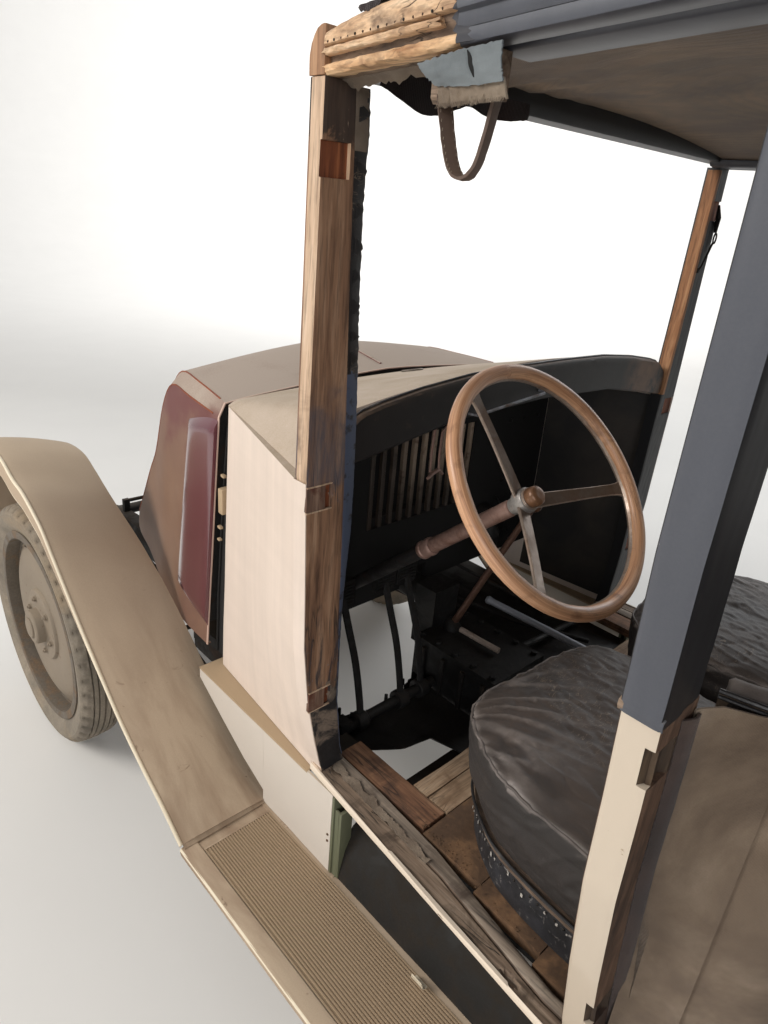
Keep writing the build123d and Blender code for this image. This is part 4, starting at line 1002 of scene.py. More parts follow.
def bonnet():
    rows = []
    for x, yl, zl, ys, zs, yc, zc, cr in BON:
        half = [(yl - 9, zl + 1), (yl, zl)]
        half += [(lerp(yl, ys, k / 10), lerp(zl, zs, k / 10)) for k in range(1, 11)]
        half += [(lerp(ys, yc, 0.5), lerp(zs, zc, 0.5)), (yc, zc)]
        half += [(yc * (1 - k / 8), zc + (cr - zc) * (1 - (1 - k / 8) ** 1.35)) for k in range(1, 9)]
        row = [(x, y, z) for y, z in half]
        rows.append(row + [(x, -y, z) for x, y, z in reversed(row[:-1])])
    g = Geo().grid(rows)
    last = rows[-1]
    for inset, dx in ((0.9, 6), (0.6, 9), (0.0, 10)):
        cy, cz = 0, 565
        rows.append([(1370 + dx, lerp(cy, y, inset), lerp(cz, z, inset)) for x, y, z in last])
    g = Geo().grid(rows)
    build("bonnet_shell", g, BONNET_PAINT, "bonnet", ("bonnet",), thick=2.4, angle=26,
          wob=lambda x, y, z, n: 1.0 * nz(x / 150, y / 120, z / 150) + 0.3 * nz(x / 30, y / 30, z / 30))
    # raised band with a rounded front edge
    g = Geo()
    us = [(450.2, 1.0), (450.8, 9.2), (453, 10), (480, 10), (500, 10), (514, 9.9), (526, 9.9), (536, 9.7), (546, 9.3), (556, 8.7),
          (565, 7.9), (573, 6.8), (580, 5.5), (586, 4.0), (591, 2.4), (595, 0.6), (597, -1.5)]
    cols = []
    for k in range(29):
        t = k / 28
        row = []
        for x0, off in us:
            f = (x0 - 450) / 146
            x = 450 + (x0 - 450) * (1 + 0.27 * (1 - t) ** 0.8)
            z0, z1 = lerp(626, 652, f), lerp(1102, 1064, f ** 1.5)
            z = lerp(z0, z1, t)
            e = min(1.0, sqrt(max(0.0, min(t, 1 - t) / 0.022)))
            row.append((x, bonnet_side(x, z) + (off if off < 2 else off * max(0.12, e)), z))
        cols.append(row)
    g.grid(cols)
    g.mirror()
    build("bonnet_bands", g, MAROON, "bonnet", thick=1.2, angle=50)
    # pale binding on the rear edge
    path = [(449.4, y, z) for x, y, z in rows[0][1:-1]]
    rows2 = []
    for x, y, z in path:
        s = 1 if y >= 0 else -1
        rows2.append([(447.8, y + s * 1.4, z + (1.4 if abs(y) < 440 else 0)), (452.4, y + s * 1.4, z + (1.4 if abs(y) < 440 else 0))])
    g = Geo().grid(rows2)
    build("bonnet_edge_binding", g, paint("edge_binding", C(196, 166, 150), C(180, 158, 136), 0.4, 0.6), "bonnet",
          thick=2.4)
    # worn creases
    g = Geo()
    for key_y, key_z in ((3, 4), (5, 6)):
        g.tube([(r[0], r[key_y] - 0.6, r[key_z] - 0.6) for r in BON[1:]], 2.0, 6)
    build("bonnet_creases", g.mirror(), RUST_EDGE, "bonnet")
    g = Geo().tube([(r[0], 0, r[7] + 0.4) for r in BON[1:]], 3.2, 10)
    k = 0
    for r in BON[2:-1:2]:
        g.tube([(r[0] - 9, 0, interp(BON, r[0] - 9, 0, 7) + 0.4), (r[0] + 9, 0, interp(BON, r[0] + 9, 0, 7) + 0.4)], 4.0, 10)
    build("bonnet_spine_hinge", g, BONNET_PAINT, "bonnet")
    # front eyes and the stiffening frame inside the rear edge
    g = Geo()
    for y in (60, -100):
        ring = []
        for yy in (y, y + 1.5, y + 38.5, y + 40):
            rr = 12 if yy in (y + 1.5, y + 38.5) else 11
            ring.append([(1386 + rr * cos(2 * pi * k / 24), yy, 542 + rr * sin(2 * pi * k / 24)) for k in range(24)])
        for yy in (y + 40, y):
            ring.append([(1386 + 6.4 * cos(2 * pi * k / 24), yy, 542 + 6.4 * sin(2 * pi * k / 24)) for k in range(24)])
        g.grid(ring, loop=True, closed=True)
        g.box(1361, 1385, y, y + 40, 549, 554)
    build("bonnet_front_eyes", g, CHASSIS, "bonnet")
    rows2 = []
    for x, y, z in rows[0][2:-2]:
        s = 1 if y >= 0 else -1
        top = abs(y) < 440
        rows2.append([(459, y - s * 4, z - (4 if top else 0)), (459, y - s * 22, z - (16 if top else 0)),
                      (462, y - s * 22, z - (16 if top else 0))])
    build("bonnet_rear_frame", Geo().grid(rows2), CHASSIS, "bonnet", thick=2.5)


bonnet()


BLUE_SLATE = paint("blue_slate", C(70, 78, 96), C(108, 108, 112), 0.5, 0.5, var=0.4, scuff=C(40, 38, 40), scuff_at=(0.55, 0.64),
                   bumps=0.3)


# ---- windscreen pillars ---------------------------------------------------------------
POCKETS = ((1568.5, 532), (1115, 534), (733, 516))


def in_pocket(y, z, table=POCKETS, half=20.5):
    for zc, yi in table:
        if abs(z - zc) < half and y > yi:
            return True
    return False


def yi_at(z):
    for zc, yi in POCKETS:
        if abs(z - zc) < 22:
            return yi
    return 0


def a_pillar(side):
    cuts = [556, 1655]
    for zc, _ in POCKETS:
        cuts += [zc - 20.9, zc - 20.3, zc + 20.3, zc + 20.9]
    cuts = sorted(cuts)
    zs = [z for (z,) in straight([(c,) for c in cuts], 6.5)]
    rings, kinds = [], []
    nr = 17
    for z in zs:
        yo, yi = interp(A_OUT, z), interp(A_IN, z)
        if z < 1148:
            yo -= 0.6
        ring = []
        for k in range(nr + 1):                       # rear face, outer to inner
            y = lerp(yo, yi, k / nr)
            pin = yi_at(z)
            if pin and abs(y - pin) < abs(yo - yi) / nr:
                y = pin + (0.5 if y > pin else -0.7)
            x = 0.0
            if k in (0, nr):
                x = 1.2
            if in_pocket(y, z):
                x = 5.0
            elif k not in (0, nr):
                x += 0.55 * nz(y / 3.2, z / 70, 1) + 0.5 * max(0, nz(y / 7, z / 26, 9)) * 1.6
            ring.append((x, y, z))
        for k in range(1, 6):
            ring.append((lerp(1.2, 29, k / 5), yi + 0.5 * nz(k / 2, z / 30, 3), z))
        for k in range(1, 7):
            ring.append((30.0, lerp(yi + 1, yo - 1, k / 6), z))
        for k in range(1, 8):                          # outer face
            x = lerp(29, 1.2, k / 8)
            ring.append((x, yo + (0.5 * nz(x / 3, z / 60, 7) if z > 1150 else 0), z))
        rings.append(ring)

    def kind(i, j):
        z = (zs[i] + zs[min(i + 1, len(zs) - 1)]) / 2
        if j < nr:
            a, b = rings[i][j], rings[i][j + 1]
            y = (a[1] + b[1]) / 2
            if in_pocket(y, z):
                return 2 if z > 1400 or y < yi_at(z) + 13 else 4
            if abs(a[0] - b[0]) > 2 and a[2] > 1400:
                return 3
            return 5 if z < 748 + 26 * nz(y / 7, z / 16, 3) else 0
        if j >= nr + 12:
            return 1
        return 0

    g = Geo().rings(rings, mi=kind, flip=True)
    if side < 0:
        g.v = [(x, -y, z) for x, y, z in g.v]
        g.f = [tuple(reversed(q)) for q in g.f]
    mats = ([OAK, OAK_SIDE, MORTISE, FRESH_CUT, MORTISE_GREY, PILLAR_FOOT] if side > 0 else
            [SLATE_DARK, SLATE_DARK, MORTISE, SLATE_DARK, MORTISE, SLATE_DARK])
    o = build("windscreen_pillar_" + ("left" if side > 0 else "right"), g, mats, "chassis",
              ("a_pillars",), angle=42)
    return o


for s in (1, -1):
    a_pillar(s)


def hinge_plates():
    g = Geo()
    for zc, yi in POCKETS[1:]:
        yo = interp(A_OUT, zc)
        g.box(-1.8, 5, yi + 13, yo + 1.5, zc - 19.5, zc + 19.5)
    build("hinge_plates", g, MORTISE_GREY, "chassis", bevel=1.2,
          wob=lambda x, y, z, n: 0.5 * nz(x / 5, y / 6, z / 6))
    g = Geo()
    for zc, yi in POCKETS[1:]:
        yo = interp(A_OUT, zc)
        for dz in (-20.4, 20.4):
            g.box(-2.2, 2, yi + 1, yo + 1, zc + dz - 0.9, zc + dz + 0.9)
    build("hinge_plate_rims", g, OAK_SIDE, "chassis", wob=lambda x, y, z, n: 0.5 * nz(x / 5, y / 5, z / 5))


hinge_plates()


def pillar_trim():
    # cracked covering left along the left pillar's inner edge
    rows = []
    for (z,) in straight([(1652,), (572,)], 5):
        yi = interp(A_IN, z)
        w = interp([(560, 2), (700, 3), (820, 5), (900, 8), (960, 12), (1040, 19), (1130, 21), (1250, 22), (1400, 20),
                    (1500, 20), (1560, 22), (1600, 26), (1655, 24)], z)
        rag = (1.3 * nz(z / 5, 3, 1) + 1.5 * nz(z / 17, 8, 2)) * (1.0 if z > 1290 else 0.35)
        e = yi - max(1.0, w + rag)
        wave = 0.7 * nz(z / 14, 1, 6)
        rows.append([(3.4, yi + 4, z), (1.2, yi + 2.2, z)] +
                    [(lerp(0.6, 3.2, t * t) + wave * t + (0.5 * nz(z / 6, t * 4, 3) if z > 1300 else 0), yi - (yi - e) * t, z)
                     for t in (0.14, 0.3, 0.46, 0.62, 0.78, 0.9, 1.0)])

    def strip_kind(i, j):
        z = rows[i][0][2]
        if z > 1584 + 5 * nz(j, 2, 2):
            return 1 if j < 7 - (nz(z / 6, j, 1) > 0.45) else 0
        return 2 if z < 1300 + 14 * nz(j / 2, 1, 5) else 0
    g = Geo().grid(rows, mi=strip_kind)
    build("pillar_edge_strip", g, [TAPE, BACKING, BLUE_SLATE], "chassis", thick=1.3,
          wob=lambda x, y, z, n: 0.35 * nz(x / 4, y / 4, z / 9))
    # loose flakes of the covering
    g = Geo()
    for z, w, h, t in ((1622, 20, 16, 4), (1560, 18, 22, -3), (1512, 15, 18, 3), (1470, 16, 20, -3), (1430, 14, 16, 3),
                       (1392, 15, 20, -3), (1350, 14, 14, 3), (1318, 15, 18, 2)):
        yi = interp(A_IN, z)
        rr = []
        for k in range(6):
            zz = z + h * (k / 5 - 0.5)
            ww = w * sin(pi * (k + 0.6) / 6.2) * (0.8 + 0.3 * nz(zz / 5, 2, 1))
            rr.append([(0.0, yi - 5, zz), (-1.2, yi - 5 - ww * 0.5, zz + t * 0.2), (-0.4, yi - 6 - ww, zz + t * 0.5)])
        g.grid(rr)
    build("pillar_loose_flakes", g, TAPE, "chassis", thick=0.9)
    # raw inner edge of the right pillar, its stay, hook and ring
    rows = []
    for (z,) in straight([(1650,), (1150,)], 8):
        yi = interp(A_IN, z)
        rows.append([(-0.8, -(yi + 9 + 1.5 * nz(z / 20, 1, 2)), z), (-1.6, -(yi + 4), z), (-1.2, -(yi - 1.5), z),
                     (6, -(yi - 2.6), z), (24, -(yi - 2.4), z)])
    build("pillar_raw_edge_right", Geo().grid(rows), wood("orange_wood", C(110, 70, 44), C(158, 110, 74), C(190, 144, 104)),
          "chassis", thick=1.4)
    g = Geo()
    g.tube([(-3, -560, 1582), (-5, -568, 1556), (-5, -570, 1524)], [2.5, 6.5, 4], 10, squash=(0.5, 1))
    ring = [(-6, -574 - 7 * cos(a), 1512 + 11 * sin(a)) for a in [2 * pi * k / 24 for k in range(25)]]
    g.tube(ring, 2.1, 8, caps=False)
    g.tube([(-6, -570, 1504), (-6, -556, 1478), (-5, -541, 1450), (-3, -534, 1441)], [2.6, 2.4, 2.2, 2], 8)
    g.disc((0, -536, 1441), (-1, 0, 0), 6, 4, 12)
    build("pillar_stay_hook", g, OILY, "chassis")


pillar_trim()


# ---- door posts ------------------------------------------------------------------------
def post(name, x0, x1, pocket_z, extra):
    """x0 is the rear face. Slate above the belt, cream sheet below, a timber jamb behind."""
    for part, za, zb in (("upper", 1148, 1655), ("lower", 556, 1151)):
        cuts = [za, zb]
        for zc in pocket_z:
            if za < zc < zb:
                cuts += [zc - 22.5, zc - 21.8, zc + 21.8, zc + 22.5]
        zs = [z for (z,) in straight([(c,) for c in sorted(cuts)], 8)]
        rings = []
        for z in zs:
            o = interp(B_OUT, z) + extra + (0.0 if part == "upper" else -2.8)
            if part == "upper":
                o += 1.2 * smooth(1190, 1150, z)
            pk = any(abs(z - zc) < 22.1 for zc in pocket_z)
            ring = []
            for k in range(9):                                # outer face, front to rear
                x = lerp(x1 - 1.2, x0 + 1.2, k / 8)
                y = o - (0.9 if k in (0, 8) else 0) + 0.25 * nz(x / 9, z / 40, 5)
                if pk and x < x0 + 10:
                    y = o - 9
                ring.append((x, y, z))
            for k in range(1, 13):                             # rear face
                y = lerp(o - 1.5, o - 69, k / 12)
                x = x0
                if pk and y > o - 32:
                    x = x0 + 6
                else:
                    x += 0.5 * nz(y / 4, z / 60, 8)
                ring.append((x, y, z))
            for k in range(1, 5):
                ring.append((lerp(x0 + 1, x1 - 1, k / 4), o - 70, z))
            for k in range(1, 8):
                ring.append((x1, lerp(o - 69, o - 2, k / 7), z))
            rings.append(ring)

        def kind(i, j):
            z = (zs[i] + zs[min(i + 1, len(zs) - 1)]) / 2
            pk = any(abs(z - zc) < 22.1 for zc in pocket_z)
            if j < 8:
                return 3 if pk and rings[i][min(j + 1, 8)][0] < x0 + 9 else 0
            if j < 20:
                return 1 if not pk else 3
            return 2
        g = Geo().rings(rings, mi=kind)
        mats = [SLATE, SLATE_DARK, SLATE_DARK, NOTCH] if part == "upper" else [CREAM, JAMB_WOOD, JAMB_WOOD, NOTCH]
        build(f"{name}_{part}", g.mirror(), mats, "chassis",
              ("door_pillars",), angle=42)
    # worn timber and flaked paint at the belt joint
    g = Geo()
    o = interp(B_OUT, 1151) + extra
    rows = []
    for k in range(9):
        x = lerp(x1 + 1.5, x0 - 1, k / 8)
        rows.append([(x, o - 3, 1160 + 2 * nz(k, 2, 1)), (x, o + 0.8, 1158 + 2 * nz(k, 5, 1)),
                     (x, o + 1.4, 1153 + 1.5 * nz(k, 1, 4)), (x, o - 0.8, 1148 + 2.5 * nz(k / 1.3, 3, 3))])
    g.grid(rows, mi=lambda i, j: 1 if i < 1 else 0)
    build(f"{name}_belt_step", g.mirror(), [SLATE, GREY_WOOD], "chassis", thick=1.4)


post("door_post", -595, -557, (1590, 1100, 700), 0)
post("rear_door_post", -1240, -1200, (), 5)


def jamb_trim():
    """The cloth's folded edge and tack strip behind the door post, and the foot bracket."""
    rows = []
    for (z,) in straight([(1138,), (600,)], 10):
        o = interp(B_OUT, z)
        w = 1.2 * nz(z / 25, 2, 5)
        rows.append([(-596, o - 42 + w, z), (-599, o - 48 + w, z), (-603, o - 56 + w * 1.5, z), (-602, o - 66, z)])
    build("tub_edge_tape", Geo().grid(rows).mirror(), cloth("tape_edge", C(64, 48, 42), C(42, 32, 28), C(90, 72, 60), 1300),
          "chassis", thick=2, wob=lambda x, y, z, n: 0.5 * nz(x / 6, y / 6, z / 12))
    g = Geo()
    g.box(-622, -598, 566, 572, 556, 600)
    g.box(-622, -598, 548, 572, 556, 561)
    build("door_post_feet", g.mirror(), STEEL, "chassis", bevel=1.5)
    g = Geo()
    for z in (575, 590):
        g.disc((-610, 572, z), (0, 1, 0), 4, 2.5, 10, dome=1)
    build("door_post_foot_screws", g.mirror(), STEEL, "chassis")


jamb_trim()


def tub_gore():
    """The cloth's front gore between the door post and the curved seat tub."""
    def line(z):
        o = interp(B_OUT, z)
        return [(-598, o - 64, z), (-600, o - 70, z), (-612, lerp(575, o - 74, 0.35), z), (-640, lerp(560, o - 84, 0.3), z), (-664, 548, z)]
    rows = []
    for (z,) in straight([(1140,), (562,)], 12):
        rows.append([(x, y + 1.6 * nz(z / 30, i, 4), z) for i, (x, y, z) in enumerate(line(z))])
    for r in rows:
        r = [Vector(q) for q in r]
    for s, n in ((1, "left"), (-1, "right")):
        g = Geo().grid([[(x, y * s, z) for x, y, z in r] for r in rows])
        o = build("tub_gore_" + n, g, KHAKI, "chassis", thick=2)


tub_gore()


# ---- roof rails, header and roof ----------------------------------------------------------
CANT_O = [(30, 574), (-576, 688), (-1240, 692)]


def co(x):
    return interp(CANT_O, x)


def rail_strip(g, xa, xb, sec, step=9, mi=0, jag=0.0, end_jag=0.0):
    """A strip along the left roof rail. sec is a closed outline of (inward from the outer face, z)."""
    rings = []
    n = max(2, int(abs(xb - xa) / step))
    for k in range(n + 1):
        x = lerp(xa, xb, k / n)
        ring = []
        for i, (d, z) in enumerate(sec):
            xx = x + (end_jag * nz(d / 6, z / 5, i) if k in (0, n) else 0)
            ring.append((xx, co(x) - d + jag * nz(x / 13, z / 6, i * 0.7), z + jag * 0.6 * nz(x / 17, z / 9, 4 + i * 0.5)))
        rings.append(ring)
    g.rings(rings, mi)
    return g


def roof_rails():
    # bare timber at the left front corner, in layers
    g = Geo()
    rings = []
    for k in range(34):
        x = lerp(-0.5, -262, k / 33) + (9 * nz(k, 2, 2) if k == 33 else 0)
        t = interp([(-262, 1709), (-100, 1707), (-40, 1702), (0, 1697)], x)
        j = lambda i: 1.2 * nz(x / 13, i * 3, 4) + 0.9 * nz(x / 4, i, 7)
        rings.append([(x, co(x) - 3.2 + j(1), t - 0.4 + j(2) * 0.6), (x, co(x) - 0.9 + j(2), t - 3.4), (x, co(x) - 0.2 + j(3), t - 8),
                      (x, co(x) - 0.4 + j(4) * 1.3, 1688), (x, co(x) - 0.2 + j(5), 1685), (x, co(x) - 3, 1683.4 + j(6) * 0.5),
                      (x, co(x) - 30, 1683.5), (x, co(x) - 30, t + 1.5), (x, co(x) - 12, t + 0.6 + j(1) * 0.5)])
    g.rings(rings, flip=True)
    build("cantrail_top_strip", g, BEIGE_WOOD, "chassis", ("roof_frame",), angle=40)
    g = Geo()
    rail_strip(g, -0.5, -222, [(0.9, 1681.2), (-0.4, 1679), (0.0, 1677.4), (0.4, 1676), (2.2, 1674.4), (26, 1674.6), (26, 1681.6)], step=5, jag=1.3, end_jag=12)
    build("cantrail_middle_strip", g, BEIGE_WOOD, "chassis", angle=40)
    g = Geo()
    rail_strip(g, -0.5, -262, [(7, 1684), (8, 1681), (11, 1674), (12, 1667), (50, 1667), (50, 1700), (7, 1700)], step=6, jag=1.3)
    build("cantrail_core", g, BROWN_WOOD, "chassis", angle=40)
    g = Geo()
    rail_strip(g, 2, -258, [(4.5, 1666), (2.8, 1663.6), (2.6, 1661), (3.2, 1658), (6.5, 1655.4), (24, 1656), (24, 1667)], step=5, jag=1.5, end_jag=8)
    build("cantrail_lower_strip", g, wood("orange_strip", C(150, 106, 68), C(206, 166, 124), C(234, 200, 160), "x", 0.7, 0.8,
                                          stain=C(96, 62, 40), stain_at=(0.6, 0.74), stain_scale=14),
          "chassis", angle=40)
    g = Geo()
    rail_strip(g, 24, -256, [(24, 1657.5), (30, 1655), (40, 1654.4), (49.5, 1656), (50, 1667), (24, 1667)], step=5, jag=1.8)
    build("cantrail_underside_strip", g, GREY_WOOD, "chassis", angle=40)
    # front corner block, rounded at its top and front, with end grain
    prof = [(0.4, 1664), (0.4, 1706), (4, 1706.6), (9, 1706.2), (16, 1703), (22, 1697), (27, 1688), (30, 1677), (30.4, 1668), (30, 1656), (0.4, 1656)]
    rings = []
    for t in (0, 0.02, 0.1, 0.3, 0.6, 0.9, 1.0):
        inset = 1.6 if t in (0, 1.0) else 0
        y = lerp(co(15) + 0.5, co(15) - 50, t)
        rings.append([(x - inset * (x > 20) * 0.6, y + (0.5 * nz(x / 5, z / 7, 2) if 0 < t < 0.1 else 0), z - inset * (z > 1690) * 0.6) for x, z in prof])
    g = Geo().rings(rings)
    build("cantrail_corner_block", g, END_GRAIN, "chassis", bevel=0.8, blimit=35)
    # nails and empty nail holes
    g, h = Geo(), Geo()
    for k in range(15):
        x = -9 - k * 15.4 + 6 * nz(k, 1, 1)
        z = 1686.5 + 1.6 * nz(k, 4, 2)
        c = (x, co(x) - 1.0, z)
        if k % 3 == 1:
            g.disc(c, (0.18, 0.98, 0), 1.5, 1.9, 8)
        else:
            h.disc(c, (0.18, 0.98, 0), 1.3 + 0.7 * abs(nz(k, 2, 7)), 1.3, 8)
    build("cantrail_nails", g, OILY, "chassis")
    hole = paint("nail_hole", C(58, 38, 26), None, rough=0.95, var=0.2)
    build("cantrail_nail_holes", h, hole, "chassis")
    # slate mouldings: the outer face with two drips, two strips below, and a near-black strip in the groove between
    # them, painted shade
    def slate(g, xa, xb, s):
        q = Geo()
        rail_strip(q, xa, xb, [(-6, 1712), (-9, 1707), (-9, 1703), (-6, 1700), (-1, 1698), (-1, 1690), (-5, 1688), (-7, 1685),
                               (-6, 1681), (-1, 1679), (-1, 1671), (1, 1668), (40, 1668), (40, 1712)], step=24, jag=0.35, end_jag=5 if xa < -200 else 0)
        rail_strip(q, xa, xb, [(1, 1667.5), (0, 1662), (1.5, 1656.5), (5, 1655), (26, 1655), (29, 1657), (30, 1664), (30, 1667.5)],
                   step=24, jag=0.35, end_jag=4 if xa < -200 else 0)
        rail_strip(q, xa - 20, xb, [(36, 1667.6), (36, 1659), (38, 1655.6), (42, 1654.4), (84, 1654.6), (90, 1657), (92, 1663), (92, 1667.6)],
                   step=24, jag=0.35, end_jag=4 if xa < -200 else 0)
        # painted shade: the groove strip takes the near-black slate
        rail_strip(q, xa - 6, xb, [(28, 1667.7), (28, 1662.5), (38, 1662.5), (38, 1667.7)], step=24, mi=1)
        if s < 0:
            q.v = [(x, -y, z) for x, y, z in q.v]
            q.f = [tuple(reversed(t)) for t in q.f]
        g.join(q)
    rows = []
    for k in range(23):
        u = k / 22
        z = lerp(1710, 1657, u)
        xf = -236 - 16 * u + 9 * nz(k * 0.7, 3, 2) + 5 * nz(k * 1.9, 1, 5)
        bulge = 11.5 if z > 1698 else (9 if 1680 < z < 1692 else 3.4)
        rows.append([(xf, co(xf) + 1.5, z), (xf - 12, co(xf) + bulge * 0.7, z), (xf - 30, co(xf) + bulge, z),
                     (xf - 52 - 10 * nz(k, 2, 2), co(xf) + bulge + 0.6, z)])
    o = build("rail_end_cover", Geo().grid(rows), ROOF_BLACK, "chassis", thick=1.2,
              wob=lambda x, y, z, n: 0.7 * nz(x / 7, y / 7, z / 7))
    g = Geo()
    slate(g, -252, -1240, 1)
    slate(g, 28, -1240, -1)
    build("roof_edge_mouldings", g, [SLATE, SLATE_DARK], "chassis", angle=50)


roof_rails()


def header():
    rings = []
    for k in range(61):
        y = -526 + 1052 * k / 60
        top = 1699 + 39 * (1 - (y / 526) ** 2)
        d = 1.2 * nz(y / 40, 1, 3)
        rings.append([(-10, y, 1662.4 + d * 0.3), (-12, y, 1665), (-12 + d * 0.5, y, 1682), (-12, y, top - 3), (-9, y, top),
                      (30, y, top), (30, y, 1664), (27, y, 1662)])
    g = Geo().rings(rings)
    build("windscreen_header", g, BLACK, "chassis", angle=45)
    # a rag draped in the valley between header and lining
    rows = []
    for k in range(49):
        y = 500 - 300 * k / 48
        sag = 6 + 22 * max(0.0, sin(pi * min(1, k / 26))) ** 1.2 * (k <= 26) + 9 * max(0, sin(pi * (k - 26) / 22)) * (k > 26)
        sag += 1.4 * nz(y / 12, 2, 2)
        fold = 3.0 * sin(y / 17.0) + 2.2 * nz(y / 30, 1, 1)
        rows.append([(-13.5, y, 1676), (-14.5 - fold * 0.3, y, 1668), (-15 - fold * 0.6, y, 1663 - sag * 0.45),
                     (-14 - fold, y, 1662 - sag)])
    o = build("header_rag", Geo().grid(rows), RAG, "chassis", thick=1.0)


header()


ROOF = [(22, 505, 42), (-170, 548, 46), (-330, 626, 52), (-576, 690, 58), (-1240, 696, 58), (-1780, 646, 52),
        (-1900, 600, 47), (-1958, 535, 43), (-1984, 440, 38), (-1993, 330, 36)]
LINE = [(-13, 520, 30), (-200, 540, 33), (-400, 578, 37), (-576, 606, 42), (-1240, 612, 42), (-1780, 596, 38), (-1900, 520, 34)]


def left_in(x):
    """The roof cloth is peeled back from the rail at the left front corner."""
    return 60.0 * smooth(-262, -196, x)


def roof():
    rows = []
    for x, w, c in spline(ROOF, 4):
        row = []
        for k in range(41):
            t = k / 20 - 1
            y = (w if t < 0 else w - left_in(x)) * t
            z = 1706.4 + 11.6 + c * (1 - (y / w) ** 2)
            if abs(t) > 0.97:
                z -= 5 * (abs(t) - 0.97) / 0.03
            row.append((x, y, z + 0.8 * nz(x / 60, y / 60, 2)))
        rows.append(row)
    g = Geo().grid(rows)
    build("roof_cover", g, ROOF_BLACK, "chassis", ("roof_panel",), thick=10)
    # bead round the roof cover's edge
    edge = [(r[0][0], r[0][1] + 3, r[0][2] - 4) for r in rows]
    back = [(r[0] - 2, r[1], r[2] - 4) for r in rows[-1]]
    other = [(r[-1][0], r[-1][1] - 3, r[-1][2] - 4) for r in reversed(rows)]
    g = Geo().tube(edge + back[1:-1] + other, 4.6, 8)
    build("roof_edge_bead", g, SLATE_DARK, "chassis")
    # torn fringe of the roof cloth at the left front corner
    g = Geo()
    rows2 = []
    for k in range(19):
        x = -48 - 44 * k / 18
        x -= 24
        h = 2 + 5 * sin(pi * k / 18) ** 0.7 + 3 * nz(x / 5, 4, 4)
        e = co(x) - 3 + 1.5 * nz(x / 9, 1, 1)
        rows2.append([(x, e - 34, 1715), (x, e - 22, 1715), (x, e - 8, 1714), (x, e + 0.2, 1712),
                      (x + 2 * nz(x / 4, 2, 2), e + 1.5, 1711 - h)])
    g.grid(rows2)
    o = build("roof_cloth_fringe", g, RAG, "chassis", thick=1.1)
    # headlining: one stretched sheet with slack folds towards the front corner
    rows = []
    for x, w, c in spline(LINE, 7):
        row = []
        for k in range(57):
            t = k / 28 - 1
            y = w * t
            z = 1668.2 + c * (1 - t * t) - 5.0 * (1 - t * t) * sin(pi * min(1, max(0, (-x % 330) / 330))) ** 2
            f = max(0.0, 1 - abs(x + 60) / 420) * smooth(-0.1, 0.9, t)
            z += f * (2.6 * sin((y - 420 + x * 0.55) / 11.0) * (1 - t * t) * 2 + 1.2 * nz(x / 50, y / 20, 3))
            row.append((x, y, z))
        rows.append(row)
    o = build("headlining_cloth", Geo().grid(rows), LINING, "chassis", ("headlining",), thick=1.4)
    # end block where header and right pillar meet
    g = Geo().box(-34, -12, -560, -498, 1656, 1671)
    build("header_end_block", g, BROWN_WOOD, "chassis", bevel=2, wob=lambda x, y, z, n: 0.8 * nz(x / 8, y / 14, z / 6))


roof()


